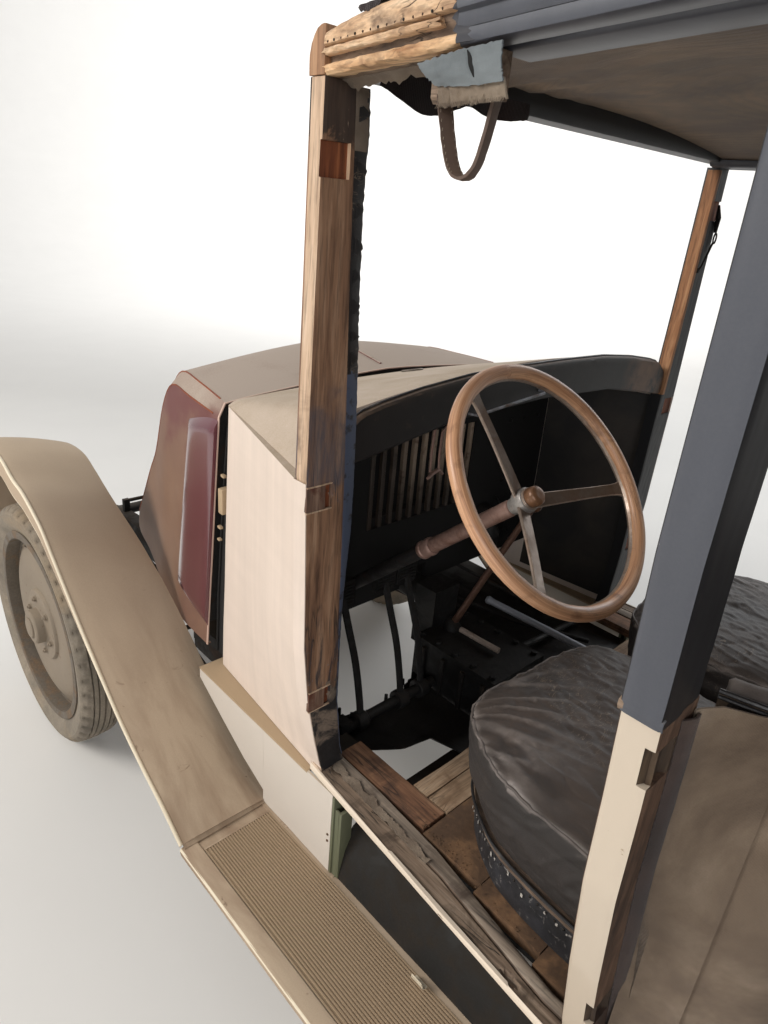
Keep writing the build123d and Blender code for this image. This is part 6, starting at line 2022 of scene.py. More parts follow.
def controls():
    g = Geo()
    g.tube([(105, 110, 505), (105, 384.5, 505)], 12, 18)
    g.box(90, 120, 372, 400, 510, 532)
    for y in (150.0, 215.0, 335.0):
        g.tube([(105, y - 13, 505), (105, y - 11, 505), (105, y + 11, 505), (105, y + 13, 505)], [20, 22, 22, 20], 20)
        g.tube(spline([(105, y, 516), (112, y, 560), (132, y, 640), (160, y, 710), (186, y, 776)], 4), 7.2, 10, squash=(1.25, 0.8))
    build("pedal_arms", g, DEEP_IRON, "chassis", ("pedals_and_levers",))
    g = Geo()
    for y in (150.0, 215.0, 335.0):
        rings = []
        for t, w in ((0, 24), (0.06, 28.5), (0.2, 30), (0.8, 30), (0.94, 28.5), (1, 24)):
            z = lerp(749, 811, t)
            rings.append([(180, y - w, z), (181, y - w, z), (180.4, y - w + 2, z), (180.4, y + w - 2, z), (181, y + w, z), (195, y + w, z),
                          (196, y + w - 2, z), (196, y - w + 2, z), (195, y - w, z)])
        g.rings(rings)
        for k in range(6):
            g.box(177.6, 181, y - 25, y + 25, 757 + k * 8.2, 760.4 + k * 8.2)
    build("pedal_pads", g, DEEP_IRON, "chassis", angle=30)
    g = Geo()
    g.tube([(150, 0, 586), (150, 0, 596), (150, 0, 606), (149, 0, 614)], [22, 21, 17, 10], 24)
    build("gear_lever_socket", g, DEEP_IRON, "chassis")
    g = Geo()
    g.tube(spline([(149, 0, 600), (112, 0, 684), (60, 0, 802), (10, 0, 914), (-14, 0, 968)], 4), [9 - 2.2 * k / 16 for k in range(17)], 14)
    build("gear_lever_rod", g, iron("lever_brown", C(112, 84, 70), C(76, 48, 36), (0.52, 0.68), 0.45, 0.35), "chassis")
    g = Geo()
    rings = []
    for k in range(13):
        a = pi * k / 12
        c = Vector((-19, 0, 979)) + Vector((-0.40, 0, 0.916)) * (-13.5 * cos(a))
        r = max(0.6, 16.5 * sin(a) ** 0.8)
        rings.append([tuple(c + Vector((0.916, 0, 0.40)) * r * cos(2 * pi * j / 20) + Vector((0, 1, 0)) * r * sin(2 * pi * j / 20)) for j in range(20)])
    g.rings(rings)
    build("gear_lever_knob", g, KNOB, "chassis", angle=60)
    def lever_fin(w, col):
        x = w.math("ADD", w.xyz("X"), w.math("MULTIPLY", w.noise(30, 4), 0.05))
        return w.mix(w.math("MULTIPLY", w.step(x, 0.0, 0.06), 0.9), col, C(146, 150, 158))
    lever_mat = paint("lever_pale", C(150, 122, 106), C(130, 112, 96), 0.3, 0.5, var=0.35, scuff=C(96, 64, 46), scuff_at=(0.58, 0.7),
                      finish=lever_fin, metal=0.15)
    g = Geo()
    g.tube(spline([(121, -89, 650), (60, -118, 632), (-40, -166, 603), (-150, -218, 570)], 5), 8.6, 12)
    g.tube([(126, -86.6, 651.5), (121, -89, 650), (112, -93, 647)], [6, 10.5, 9], 12)
    build("brake_lever_rod", g, lever_mat, "chassis")
    build("brake_lever_bracket", Geo().box(-176, -134, -232, -204, 557, 582), OILY, "chassis", bevel=4)
    # gearbox top: a pale bar, cover bolts and cross linkage
    g = Geo()
    g.tube([(122, 3, 598), (60, 1, 598), (8, -2, 598)], 7, 12)
    build("gearbox_pale_bar", g, PALE_ROD, "chassis")
    g = Geo()
    for x in (150, 205, 260, 315, 365):
        for y in (-78, 78):
            g.disc((x - 190, y, 585), (0, 0, 1), 8, 7, 6)
    for x in (460, 520, 580):
        for y in (-112, 112):
            g.disc((x, y, 700), (0, 0, 1), 9, 8, 6)
    g.tube([(20, -92, 560), (20, -150, 552), (20, -384, 534)], 8, 10)
    g.tube([(-60, -300, 540), (110, -200, 552), (300, -150, 566)], 6, 10)
    for x, y, h in ((120, 372, 20), (150, 356, 26), (120, 300, 12), (118, 246, 30), (128, 214, 16), (150, 160, 14)):
        g.tube([(x, y, 488), (x + 4, y - 4, 488 + h)], [5, 4], 7)
    build("gearbox_linkage", g, DEEP_IRON, "chassis", angle=30)
    # ragged near-black pans that close the view to the ground on both sides of the gearbox, standing in for the shadow
    # under the floor: painted shade
    def pan(name, front, rear, z):
        rows = []
        for k in range(31):
            t = k / 30
            a, b = interp(front, t, 0, 1), interp(front, t, 0, 2)
            c, d = interp(rear, t, 0, 1), interp(rear, t, 0, 2)
            row = []
            for j in range(9):
                u = j / 8
                rag = 9 * nz(t * 16, 1, 2) * (j == 0)
                row.append((lerp(a, c, u) + rag, lerp(b, d, u) + rag * 0.6, z - 14 * sin(pi * u) ** 0.6 + 1.2 * nz(t * 9, u * 4, 3)))
            rows.append(row)
        build(name, Geo().grid(rows), DEEP_IRON, "chassis", thick=1.6)
    pan("floor_shade_pan_right", [(0, 600, -134), (1, 600, -360)], [(0, -118, -95), (1, -118, -384)], 522)
    pan("floor_shade_pan_left", [(0, 161, 384), (0.25, 158, 318), (0.42, 116, 262), (0.62, 130, 190), (1, 178, 95)],
        [(0, 61, 384), (0.25, 2, 301), (0.5, -12, 228), (0.56, -80, 212), (0.6, -118, 205), (1, -118, 95)], 482)
    # pipes and a filter bowl on the bulkhead's cab side
    g = Geo()
    g.tube(spline([(296, 380, 1060), (280, 372, 1000), (284, 380, 900), (292, 388, 800), (296, 380, 700)], 5), 5, 10)
    g.tube(spline([(296, -300, 820), (270, -310, 780), (280, -330, 720), (296, -340, 676)], 5), 4, 10)
    g.tube([(298, -250, 780), (292, -250, 780), (270, -250, 780)], [30, 30, 24], 24)
    g.tube([(270, -250, 770), (262, -250, 740), (262, -250, 700)], [12, 26, 24], 20)
    build("bulkhead_fittings", g, DEEP_IRON, "chassis")
    g = Geo()
    for y in (-440, -380, -320, 320, 400, 450):
        for z in (690, 860, 1030):
            g.disc((299.8, y, z), (-1, 0, 0), 6, 3.5, 12, dome=1)
    build("bulkhead_rivets", g, DEEP_IRON, "chassis")


controls()


# ---- seats -----------------------------------------------------------------------------------
CUSH = [(-256, 52), (-203, 300), (-204, 384), (-229, 427), (-285, 469), (-345, 497), (-433, 511), (-556, 518), (-600, 518),
        (-636, 506), (-686, 474), (-720, 421), (-736, 350), (-736, 234), (-720, 163), (-686, 110), (-636, 78), (-590, 62)]
CUSH_C = (-460.0, 292.0)


def closed_curve(pts, n):
    """n points spaced evenly round a smooth closed curve through pts."""
    m = len(pts)
    fine = []
    for i in range(m):
        p0, p1, p2, p3 = (Vector(pts[(i + k - 1) % m]) for k in range(4))
        for s in range(16):
            t = s / 16
            fine.append(0.5 * ((2 * p1) + (p2 - p0) * t + (2 * p0 - 5 * p1 + 4 * p2 - p3) * t * t + (3 * p1 - p0 - 3 * p2 + p3) * t ** 3))
    cum = [0.0]
    for i in range(len(fine)):
        cum.append(cum[-1] + (fine[(i + 1) % len(fine)] - fine[i]).length)
    out, k = [], 0
    for i in range(n):
        d = cum[-1] * i / n
        while cum[k + 1] < d:
            k += 1
        t = (d - cum[k]) / max(1e-9, cum[k + 1] - cum[k])
        out.append(fine[k].lerp(fine[(k + 1) % len(fine)], t))
    return out


def ring_at(curve, z, scale, centre=CUSH_C):
    return [(centre[0] + (p[0] - centre[0]) * scale, centre[1] + (p[1] - centre[1]) * scale, z) for p in curve]


def soften(o, cap, voxel, pressure=4.0):
    """Lets a pad swell under its own filling, and applies the result."""
    r = o.modifiers.new("r", "REMESH")
    r.mode, r.voxel_size, r.adaptivity = "VOXEL", voxel / 1000, 0.0
    settle(o)
    start = [v.co.copy() for v in o.data.vertices]
    m = o.modifiers.new("c", "CLOTH")
    m.settings.quality = 5
    m.settings.mass = 0.4
    m.settings.tension_stiffness = m.settings.compression_stiffness = 12
    m.settings.bending_stiffness = 0.6
    m.settings.use_pressure = True
    m.settings.uniform_pressure_force = pressure
    m.settings.effector_weights.gravity = 0.0
    m.collision_settings.use_collision = False
    m.point_cache.frame_start, m.point_cache.frame_end = 1, 20
    for f in range(1, 21):
        scene.frame_set(f)
    dg = bpy.context.evaluated_depsgraph_get()
    ev = o.evaluated_get(dg)
    end = [v.co.copy() for v in ev.data.vertices]
    o.modifiers.clear()
    scene.frame_set(1)
    for v, a, b in zip(o.data.vertices, start, end):
        d = b - a
        if d.length > cap / 1000:
            d *= cap / 1000 / d.length
        v.co = a + d
    s = o.modifiers.new("s", "SUBSURF")
    s.levels = s.render_levels = 1
    return settle(o)


def ridged(v):
    return 1 - min(1.0, abs(v) * 2.6)


def flipped(o, name):
    """A mirror copy on the other side of the car."""
    me = o.data.copy()
    me.name = name
    for v in me.vertices:
        v.co.y = -v.co.y
    me.flip_normals()
    c = bpy.data.objects.new(name, me)
    scene.collection.objects.link(c)
    return c


def follow(o, guide, lift):
    """The guide's points moved onto the surface of o, raised by lift millimetres."""
    out = []
    for p in guide:
        ok, loc, nor, _ = o.closest_point_on_mesh(Vector(((p[0] + SX) / 1000, p[1] / 1000, p[2] / 1000)))
        loc = loc + nor * lift / 1000
        out.append((loc.x * 1000 - SX, loc.y * 1000, loc.z * 1000))
    return out


def front_seats():
    curve = closed_curve(CUSH, 200)
    g = Geo()
    rings = []
    for z, s in ((641, 0.86), (646, 0.885), (662, 0.905), (690, 0.936), (715, 0.958), (740, 0.970), (762, 0.978), (778, 0.982),
                 (787, 0.980), (793, 0.972), (797, 0.955), (799, 0.91), (800, 0.83), (801, 0.66), (802, 0.48), (802, 0.26), (802, 0.08)):
        rings.append(ring_at(curve, z, s))
    g.rings(rings)
    o = fresh("seat_cushion_left", g, [LEATHER])
    soften(o, 7, 9)

    def creases(x, y, z, n):
        d = 0.0
        if n.z > 0.35:
            a, r = atan2(y - 455, x + 165), sqrt((x + 165) ** 2 + (y - 455) ** 2)
            band = max(0.0, 1 - abs(r - 165) / 130)
            d += 4.4 * band * (ridged(nz(a * 5.2, r / 210, 3)) ** 3 - 0.2)
            d += 2.6 * (ridged(nz(a * 9.5, r / 150, 31)) ** 4) * smooth(330, 200, r)
            d += 1.6 * nz(x / 120, y / 90, 5) - 2.2 * smooth(0.35, 0.9, nz(x / 90, y / 60, 12) + 0.3)
            d += 2.2 * (ridged(nz(x / 75, y / 22, 8)) ** 4) * smooth(470, 300, y)
            d -= 2.4 * ridged(nz(x / 52 + y / 110, y / 46, 40)) ** 6
        else:
            s = x * 0.6 + y * 0.9
            d += 2.2 * nz(s / 46, z / 90, 21) + 1.8 * (ridged(nz(s / 30 + z / 90, z / 70, 22)) ** 4) * smooth(640, 700, z)
            d -= 1.6 * ridged(nz(s / 75, z / 38, 25)) ** 5
        return d
    roughen(o, creases)
    # wear: lighter grey along the top ridge and on the crease tops, partly worn leather and partly a painted highlight
    def worn(x, y, z, n):
        edge = smooth(0.15, 0.5, n.z) * smooth(0.93, 0.6, n.z) * (0.35 + 0.65 * max(0, nz(x / 30, y / 30, 6) + 0.4)) * smooth(700, 775, z)
        a, r = atan2(y - 455, x + 165), sqrt((x + 165) ** 2 + (y - 455) ** 2)
        fold = smooth(0.55, 0.95, ridged(nz(a * 5.2, r / 210, 3))) * max(0.0, 1 - abs(r - 165) / 130) * (n.z > 0.35)
        return min(1.0, edge + 0.55 * fold)
    paint_points(o, "wear", worn)
    place(o, "chassis", ("front_seat_cushions",), angle=70)
    # a thin tube along the top ridge, lightened through wear: partly worn leather, partly a painted highlight
    ridge = follow(o, ring_at(closed_curve(CUSH, 260), 796, 0.99), 0.2)
    p = Geo().tube(ridge + ridge[:1], 2.3, 8, caps=False)
    q = build("seat_ridge_left", p, LEATHER, "chassis", angle=80)
    paint_points(q, "wear", lambda x, y, z, n: 0.45 + 0.5 * nz(x / 20, y / 20, 1))
    c = flipped(o, "seat_cushion_right")
    place(c, "chassis", (), angle=70)
    c = flipped(q, "seat_ridge_right")
    place(c, "chassis", (), angle=80)
    # bases: a scuffed skirt and the edge of the seat board above it
    g, b = Geo(), Geo()
    rings = []
    for z, s in ((556.5, 0.822), (562, 0.83), (590, 0.842), (615, 0.852), (623, 0.856), (627.4, 0.856)):
        ring = []
        for k, p in enumerate(ring_at(curve, z, s)):
            a = 0.006 * nz(k / 6, z / 20, 3)
            ring.append((p[0] + (p[0] - CUSH_C[0]) * a, p[1] + (p[1] - CUSH_C[1]) * a, z))
        rings.append(ring)
    g.rings(rings)
    rings = []
    for z, s in ((627.5, 0.858), (628.5, 0.866), (631, 0.868), (637, 0.868), (639.5, 0.862)):
        rings.append([(x, y, z) for x, y, z in ring_at(curve, z, s)])
    b.rings(rings)
    build("seat_skirts", g.mirror(), SKIRT, "chassis", ("seat_bases",), angle=50)
    build("seat_board_edges", b.mirror(), BROWN_WOOD, "chassis", angle=50,
          wob=lambda x, y, z, n: 0.7 * nz(x / 16, y / 16, z / 5))
    pc = ring_at(closed_curve(CUSH, 220), 644, 0.882)
    build("seat_lower_piping", Geo().tube(pc + pc[:1], 2.6, 8, caps=False).mirror(), PIPING, "chassis")
    # pale flakes of paint still standing on the skirt below the board
    f = Geo()
    fc = closed_curve(CUSH, 420)
    for k in range(420):
        h = nz(k * 0.9, 3, 3)
        if h < 0.16 + 0.3 * nz(k / 40, 1, 9):
            continue
        x, y, _ = ring_at([fc[k]], 0, 0.8585)[0]
        nrm = Vector((x - CUSH_C[0], y - CUSH_C[1], 0)).normalized()
        tan = Vector((-nrm.y, nrm.x, 0))
        zz = 622 - 26 * abs(nz(k * 1.3, 7, 1)) ** 0.7
        f.oriented((x, y, zz), tuple(tan * (1.0 + 2.2 * h)), tuple(nrm * 0.5), (0, 0, 0.8 + 4 * h))
    build("seat_skirt_flakes", f.mirror(), paint("pale_flakes", C(176, 170, 162), None, rough=0.6, var=0.3), "chassis")
    # row of tacks below the board edge
    t = Geo()
    tc = closed_curve(CUSH, 96)
    for k in range(96):
        x, y, _ = ring_at([tc[k]], 0, 0.858)[0]
        nrm = Vector((x - CUSH_C[0], y - CUSH_C[1], 0)).normalized()
        t.disc((x, y, 620 + 1.5 * nz(k, 1, 1)), nrm, 1.8, 1.4, 7, dome=0.6)
    build("seat_skirt_tacks", t.mirror(), OILY, "chassis")


front_seats()

TUB_O = [(-600, 566), (-655, 550), (-720, 512), (-766, 445), (-784, 350)]
TUB_I = [(-600, 526), (-640, 513), (-692, 480), (-728, 425), (-744, 350)]


def tub_backs():
    full_o = TUB_O + [(x, 584 - y) for x, y in reversed(TUB_O)]
    full_i = TUB_I + [(x, 584 - y) for x, y in reversed(TUB_I)]
    po, pi_ = spline(full_o, 7), spline(full_i, 7)
    n = min(len(po), len(pi_))
    # khaki cloth outside
    rows = []
    for k in range(49):
        z = lerp(1140, 558, k / 48)
        row = []
        for i in range(n):
            t = i / (n - 1)
            a, b = Vector(po[i]), Vector(pi_[i])
            d = (a - b).normalized()
            sag = 2.2 * nz(i / 5, z / 170, 4) + 1.1 * nz(i / 2, z / 60, 6)
            p = a - d * (1.6 - sag * 0.6)
            row.append((p[0], p[1], z))
        rows.append(row)
    g = Geo().grid(rows)
    o = build("tub_cloth_left", g, KHAKI, "chassis", ("front_seat_backs",), thick=2.0)
    c = flipped(o, "tub_cloth_right")
    place(c, "chassis")
    # padded inside, sewn in upright flutes, with a roll along the top
    rings = []
    m = 6
    for k in range(41):
        z = lerp(562, 1120, k / 40)
        ring = []
        for i in range(n):
            a, b = Vector(po[i]), Vector(pi_[i])
            d = (b - a).normalized()
            flute = abs(sin(pi * i / (n - 1) * 9))
            depth = -3 + 9 * flute ** 0.7 * smooth(562, 600, z) * smooth(1132, 1096, z) - 1.5
            p = b + d * (depth - 5)
            ring.append((p[0], p[1], z))
        for i in reversed(range(0, n)):
            a, b = Vector(po[i]), Vector(pi_[i])
            p = a + (b - a).normalized() * 6
            ring.append((p[0], p[1], z))
        rings.append(ring)
    o = build("tub_padding_left", Geo().rings(rings), LEATHER, "chassis", (), angle=70,
              wob=lambda x, y, z, nn: 1.2 * nz(x / 40, y / 40, z / 60) + 0.8 * ridged(nz(x / 26, y / 26, z / 14)) ** 4)
    paint_points(o, "wear", lambda x, y, z, nn: 0.0)
    c = flipped(o, "tub_padding_right")
    place(c, "chassis", (), angle=70)
    mid = []
    for i in range(n):
        a, b = Vector(po[i]), Vector(pi_[i])
        p = a.lerp(b, 0.5)
        mid.append((p[0], p[1], 1128 + 0.8 * nz(i / 3, 1, 1)))
    g = Geo().tube(mid, [15] + [18.5] * (n - 2) + [15], 20, squash=(1.0, 1.0))
    o = build("tub_roll_left", g, LEATHER, "chassis", (), angle=70,
              wob=lambda x, y, z, nn: 1.0 * ridged(nz(x / 18, y / 18, z / 30)) ** 3 + 0.8 * nz(x / 50, y / 50, z / 20))
    # lighter on the upward faces: partly wear, partly a painted highlight
    paint_points(o, "wear", lambda x, y, z, nn: smooth(0.5, 0.95, nn.z) * 0.4)
    c = flipped(o, "tub_roll_right")
    place(c, "chassis", (), angle=70)
    g = Geo()
    for dz, r in ((0, 2.6), (-6.4, 2.2)):
        path = []
        for i in range(n):
            a, b = Vector(po[i]), Vector(pi_[i])
            p = a + (a - b).normalized() * 0.6
            path.append((p[0], p[1], 1143 + dz + 0.5 * nz(i / 2, dz, 1)))
        g.tube(path, r, 8)
    build("tub_piping", g.mirror(), PIPING, "chassis")


tub_backs()


def rear_seat():
    # bench cushion
    sec = [(-1318, 693), (-1318, 800), (-1330, 822), (-1352, 834), (-1450, 834), (-1600, 822), (-1740, 808), (-1772, 800),
           (-1782, 780), (-1782, 693)]
    sec = straight(sec, 14)
    rings = []
    for k in range(61):
        y = -452 + 904 * k / 60
        e = max(0.0, (abs(y) - 430) / 22)
        f = 1 - 0.035 * e * e
        rings.append([(-1550 + (x + 1550) * f, y, 760 + (z - 760) * (1 - 0.10 * e * e)) for x, z in sec])
    o = fresh("rear_seat_cushion_pad", Geo().rings(rings), [LEATHER])
    soften(o, 12, 14)

    def flutes(x, y, z, n):
        if n.z > 0.4:
            return -5.0 * (1 - abs(sin(pi * (y + 464) / 116))) ** 4 + 1.6 * nz(x / 70, y / 70, 3) + 1.2 * ridged(nz(x / 30, y / 60, 4)) ** 4
        return 1.4 * nz(x / 50, y / 50, z / 50)
    roughen(o, flutes)
    paint_points(o, "wear", lambda x, y, z, n: smooth(0.2, 0.6, n.z) * smooth(0.95, 0.7, n.z) * 0.6)
    place(o, "chassis", ("rear_seat_cushion",), angle=70)
    edge = [(-1322, y, 824) for y in [lerp(-440, 440, k / 60) for k in range(61)]]
    build("rear_seat_piping", Geo().tube(follow(o, edge, 0.5), 2.6, 8), PIPING, "chassis")
    # squab
    sec = [(-1800, 708), (-1800, 860), (-1818, 1000), (-1838, 1150), (-1856, 1262), (-1868, 1278), (-1890, 1282), (-1910, 1274),
           (-1912, 1250), (-1900, 1000), (-1882, 708)]
    sec = straight(sec, 15)
    rings = []
    for k in range(59):
        y = -430 + 860 * k / 58
        e = max(0.0, (abs(y) - 408) / 22)
        rings.append([(-1856 + (x + 1856) * (1 - 0.14 * e * e), y, 1000 + (z - 1000) * (1 - 0.03 * e * e)) for x, z in sec])
    o = fresh("rear_seat_back_pad", Geo().rings(rings), [LEATHER])
    soften(o, 10, 14)

    def flutes2(x, y, z, n):
        if n.x > 0.4:
            return -5.0 * (1 - abs(sin(pi * (y + 440) / 110))) ** 4 * smooth(1275, 1230, z) + 1.4 * nz(y / 70, z / 90, 3)
        return 1.0 * nz(x / 50, y / 50, z / 50)
    roughen(o, flutes2)
    paint_points(o, "wear", lambda x, y, z, n: smooth(0.5, 0.95, n.z) * 0.5)
    place(o, "chassis", ("rear_seat_back",), angle=70)
    build("rear_seat_base", Geo().box(-1840, -1352, -454, 454, 557, 689), BROWN_WOOD, "chassis", bevel=4)
    g = Geo()
    for k in range(5):
        y = -360 + 180 * k
        g.box(-1352, -1345, y - 62, y + 62, 590, 668)
    build("rear_seat_base_panels", g, BLACK, "chassis", bevel=2)


rear_seat()


# ---- wheels ---------------------------------------------------------------------------------
FX, RX, HZ, WY = 1096.0, -1766.0, 353.0, 635.0


def revolve(g, prof, x, s, n, mi=0, wave_fn=None, closed=True):
    """prof is a list of (r, out, material); the material is not used. Turned about the hub's axis at (x, HZ), on side
    s.
    """
    rows = []
    for i in range(n):
        a = 2 * pi * i / n
        row = []
        for r, o, *_ in prof:
            rr = r + (wave_fn(i, r, o) if wave_fn else 0)
            row.append((x + rr * cos(a), s * (WY + o), HZ + rr * sin(a)))
        rows.append(row)
    g.grid(rows, mi=mi, loop=closed, closed=True, flip=(s < 0))
    return rows


def tyre_profile():
    side = [(267, 42.5), (272, 44.5), (278, 43.6), (284, 45), (292, 49), (302, 53.2), (314, 56.2), (324, 57), (328, 58.2), (331, 56.6),
            (335, 55.6), (338, 53.0), (340, 51.6)]
    shoulder = [(343.5, 49.4), (347.0, 46.2), (349, 42.4), (350.4, 37.6)]
    tread = [(350.9, 33.2), (350.9, 31.8), (346.0, 31.2), (346.0, 28.2), (351.6, 27.6), (352.1, 18.4), (347.0, 17.8), (347.0, 14.6),
             (352.6, 14.0), (353.0, 3.2), (348.0, 2.6)]
    half = side + shoulder + tread
    return half, len(side), len(side) + len(shoulder)


def tyres():
    half, ns, nsh = tyre_profile()
    N = 240
    outer = half + [(r, -o) for r, o in reversed(half)]
    inner = [(268, -34), (280, -40), (300, -46), (325, -47), (338, -40), (343, -20), (343, 20), (338, 40), (325, 47), (300, 46), (280, 40), (268, 34)]
    prof = outer + inner
    m = len(half)

    def knob(i, r, o):
        if r > 341.5 and abs(o) > 36 and i % 5 >= 3:
            return -5.2
        if 336 < r <= 341.5 and i % 5 >= 3:
            return -1.5
        if r > 350 and abs(o) > 27 and i % 5 == 4:
            return -2.4
        return 0.0
    # deep is 0 in the tread grooves and 0.25 in the knob gaps, where the material paints shade
    deep_row = []
    for r, o in prof:
        deep_row.append(0.0 if (r < 349 and abs(o) < 32 and r > 345.5) else 1.0)
    for name, x, s in (("front_left", FX, 1), ("front_right", FX, -1), ("rear_left", RX, 1), ("rear_right", RX, -1)):
        g = Geo()
        revolve(g, prof, x, s, N, wave_fn=knob)
        o = fresh(name + "_tyre_tread", g, [TYRE_MAT], weld=0.0001)
        vals = []
        for i in range(N):
            for (r, oo), d in zip(prof, deep_row):
                v = d
                if r > 336 and abs(oo) > 34 and i % 5 >= 3:
                    v = 0.25
                vals.append(v)
        at = o.data.attributes.new("deep", "FLOAT", "POINT")
        if len(vals) == len(o.data.vertices):
            at.data.foreach_set("value", vals)
        else:
            at.data.foreach_set("value", [1.0] * len(o.data.vertices))
        place(o, name + "_wheel", (name + "_tyre",), angle=32)


tyres()


def wheels():
    def P(pts, per):
        return spline(pts, per)
    back = [(20.6, -32.6), (46, -32.6), (47.6, -31), (47.6, 14), (50, 16.4)]
    dish_in = P([(56, 16.8), (108, 20.2), (156, 23.8), (210, 18), (238, 3), (248, -3.5)], 4)
    rim_in = [(250.5, -6), (250.5, -44), (253, -48.4), (258, -49), (274, -49), (279, -48.6), (279.8, -46), (278, -44), (268, -43.6),
              (266, -42), (264, -38), (262, -28), (258, -22), (258, 22), (262, 28), (264, 38), (266, 42), (268, 43.6), (278, 44),
              (279.8, 46), (279, 48.6), (274, 49), (262, 49), (257, 48.2), (256, 46), (256, 10), (253, 7)]
    dish_out = P([(247, 9), (236, 14), (212, 25), (184, 30), (156, 31), (132, 29), (112, 27.5)], 4)
    hub = [(106, 28), (104, 33), (101, 36), (96, 36.6), (60, 37.6), (54, 38.6), (51.5, 41), (50, 58), (48.6, 62), (44, 65.4),
           (30, 66), (12, 66), (6, 66), (3, 65.6)]
    prof = back + dish_in + rim_in + dish_out + hub
    kinds = []
    for r, o in prof:
        k = 0
        if r > 252 and o > -100:
            k = 1
        if 214 < r < 252 and o > 4:
            k = 2
        kinds.append(k)
    for name, x, s in (("front_left", FX, 1), ("front_right", FX, -1), ("rear_left", RX, 1), ("rear_right", RX, -1)):
        body = name + "_wheel"
        g = Geo()
        revolve(g, prof + [(3, 50), (20.6, 49)], x, s, 112, mi=lambda i, j: (kinds + [0, 0])[min(j, len(kinds) + 1)])
        build(name + "_wheel_disc", g, [WHEEL_PAINT, WHEEL_DARK, WHEEL_PAINT], body, (name + "_wheel",), angle=34)
        b = Geo()
        for k in range(6):
            a = 2 * pi * k / 6 + 0.3
            cx, cz = x + 79 * cos(a), HZ + 79 * sin(a)
            b.disc((cx, s * (WY + 37), cz), (0, s, 0), 10.5, 1.8, 24)
            b.disc((cx, s * (WY + 38.6), cz), (0, s, 0), 8, 7, 6)
            b.disc((cx, s * (WY + 45.4), cz), (0, s, 0), 4.4, 3, 12, dome=1)
            # valve stem and its cap
        a = 1.1
        b.tube([(x + 244 * cos(a), s * (WY + 10), HZ + 244 * sin(a)), (x + 236 * cos(a), s * (WY + 18), HZ + 236 * sin(a)),
                (x + 228 * cos(a), s * (WY + 26), HZ + 228 * sin(a))], [4.2, 4.2, 4.6], 10)
        build(name + "_wheel_bolts", b, WHEEL_PAINT, body, angle=32)
        h = Geo()
        rings = []
        for r, o in ((30, 65.4), (30.4, 68), (28.5, 70.6), (20, 72.4), (8, 73), (3, 73)):
            rings.append([(x + r * cos(2 * pi * k / 28), s * (WY + o), HZ + r * sin(2 * pi * k / 28)) for k in range(28)])
        h.rings(rings, flip=(s < 0))
        build(name + "_hub_cap", h, WHEEL_PAINT, body, angle=30)


wheels()


# ---- springs, axles and other parts below ---------------------------------------------------------
def springs():
    g, b = Geo(), Geo()
    for xc, half, ztop, zend, ya, yb, n, th in ((FX, 364, 371, 421, 269, 307, 6, 5.6), (RX, 385, 431, 470, 439, 473, 7, 5.4)):
        for i in range(n):
            L = half * (1 - 0.125 * i) if i else half
            rings = []
            for k in range(33):
                u = -1 + 2 * k / 32
                x = xc + L * u
                q = (L * u) / half
                z = (ztop - th) + (zend - ztop + th * 0.5) * q * q - th * i * (1.0 - 0.10 * q * q) + 0.0
                w = 1.0 if i == 0 else (1 - 0.35 * smooth(0.93, 1.0, abs(u)))
                ym, hw = (ya + yb) / 2, (yb - ya) / 2 * w
                c = 0.8
                rings.append([(x, ym - hw, z + c), (x, ym - hw, z + th - 1.2), (x, ym - hw + 1.2, z + th - 0.4), (x, ym + hw - 1.2, z + th - 0.4),
                              (x, ym + hw, z + th - 1.2), (x, ym + hw, z + c), (x, ym + hw - 1.2, z), (x, ym - hw + 1.2, z)])
            g.rings(rings)
        for e in (-1, 1):
            g.disc((xc + e * half, ya, zend), (0, 1, 0), 13.6, yb - ya, 20)
            b.disc((xc + e * half, ya - 7, zend), (0, 1, 0), 8, yb - ya + 14, 14)
        for dx in (-34, 34):
            zt, zb = ztop + 4, ztop - th * n - 7
            b.tube([(xc + dx, ya - 6, zb - 6), (xc + dx, ya - 6, zt - 4), (xc + dx, ya + 2, zt + 3), (xc + dx, yb - 2, zt + 3),
                    (xc + dx, yb + 6, zt - 4), (xc + dx, yb + 6, zb - 6)], 5, 8)
        b.box(xc - 46, xc + 46, ya - 12, yb + 12, ztop - th * n - 9, ztop - th * n - 2)
        for dx in (-170, 170):
            zz = ztop - 6 + (zend - ztop) * (170 / half) ** 2
            b.box(xc + dx - 9, xc + dx + 9, ya - 2.5, yb + 2.5, zz - th * 3.4, zz + th + 2.5)
    build("spring_leaves", g.mirror(), CHASSIS, "chassis", ("front_springs", "rear_springs"), angle=34)
    build("spring_clips", b.mirror(), OILY, "chassis", angle=34)
    # shackles from the chassis to the springs
    s = Geo()
    s.tube([(FX - 364, 308, 421), (FX - 364, 329, 421)], 7, 12)
    for e in (-1, 1):
        s.tube([(RX + e * 385, 430, 470), (RX + e * 385, 439, 470)], 8, 12)
    build("spring_pins", s.mirror(), OILY, "chassis")


springs()


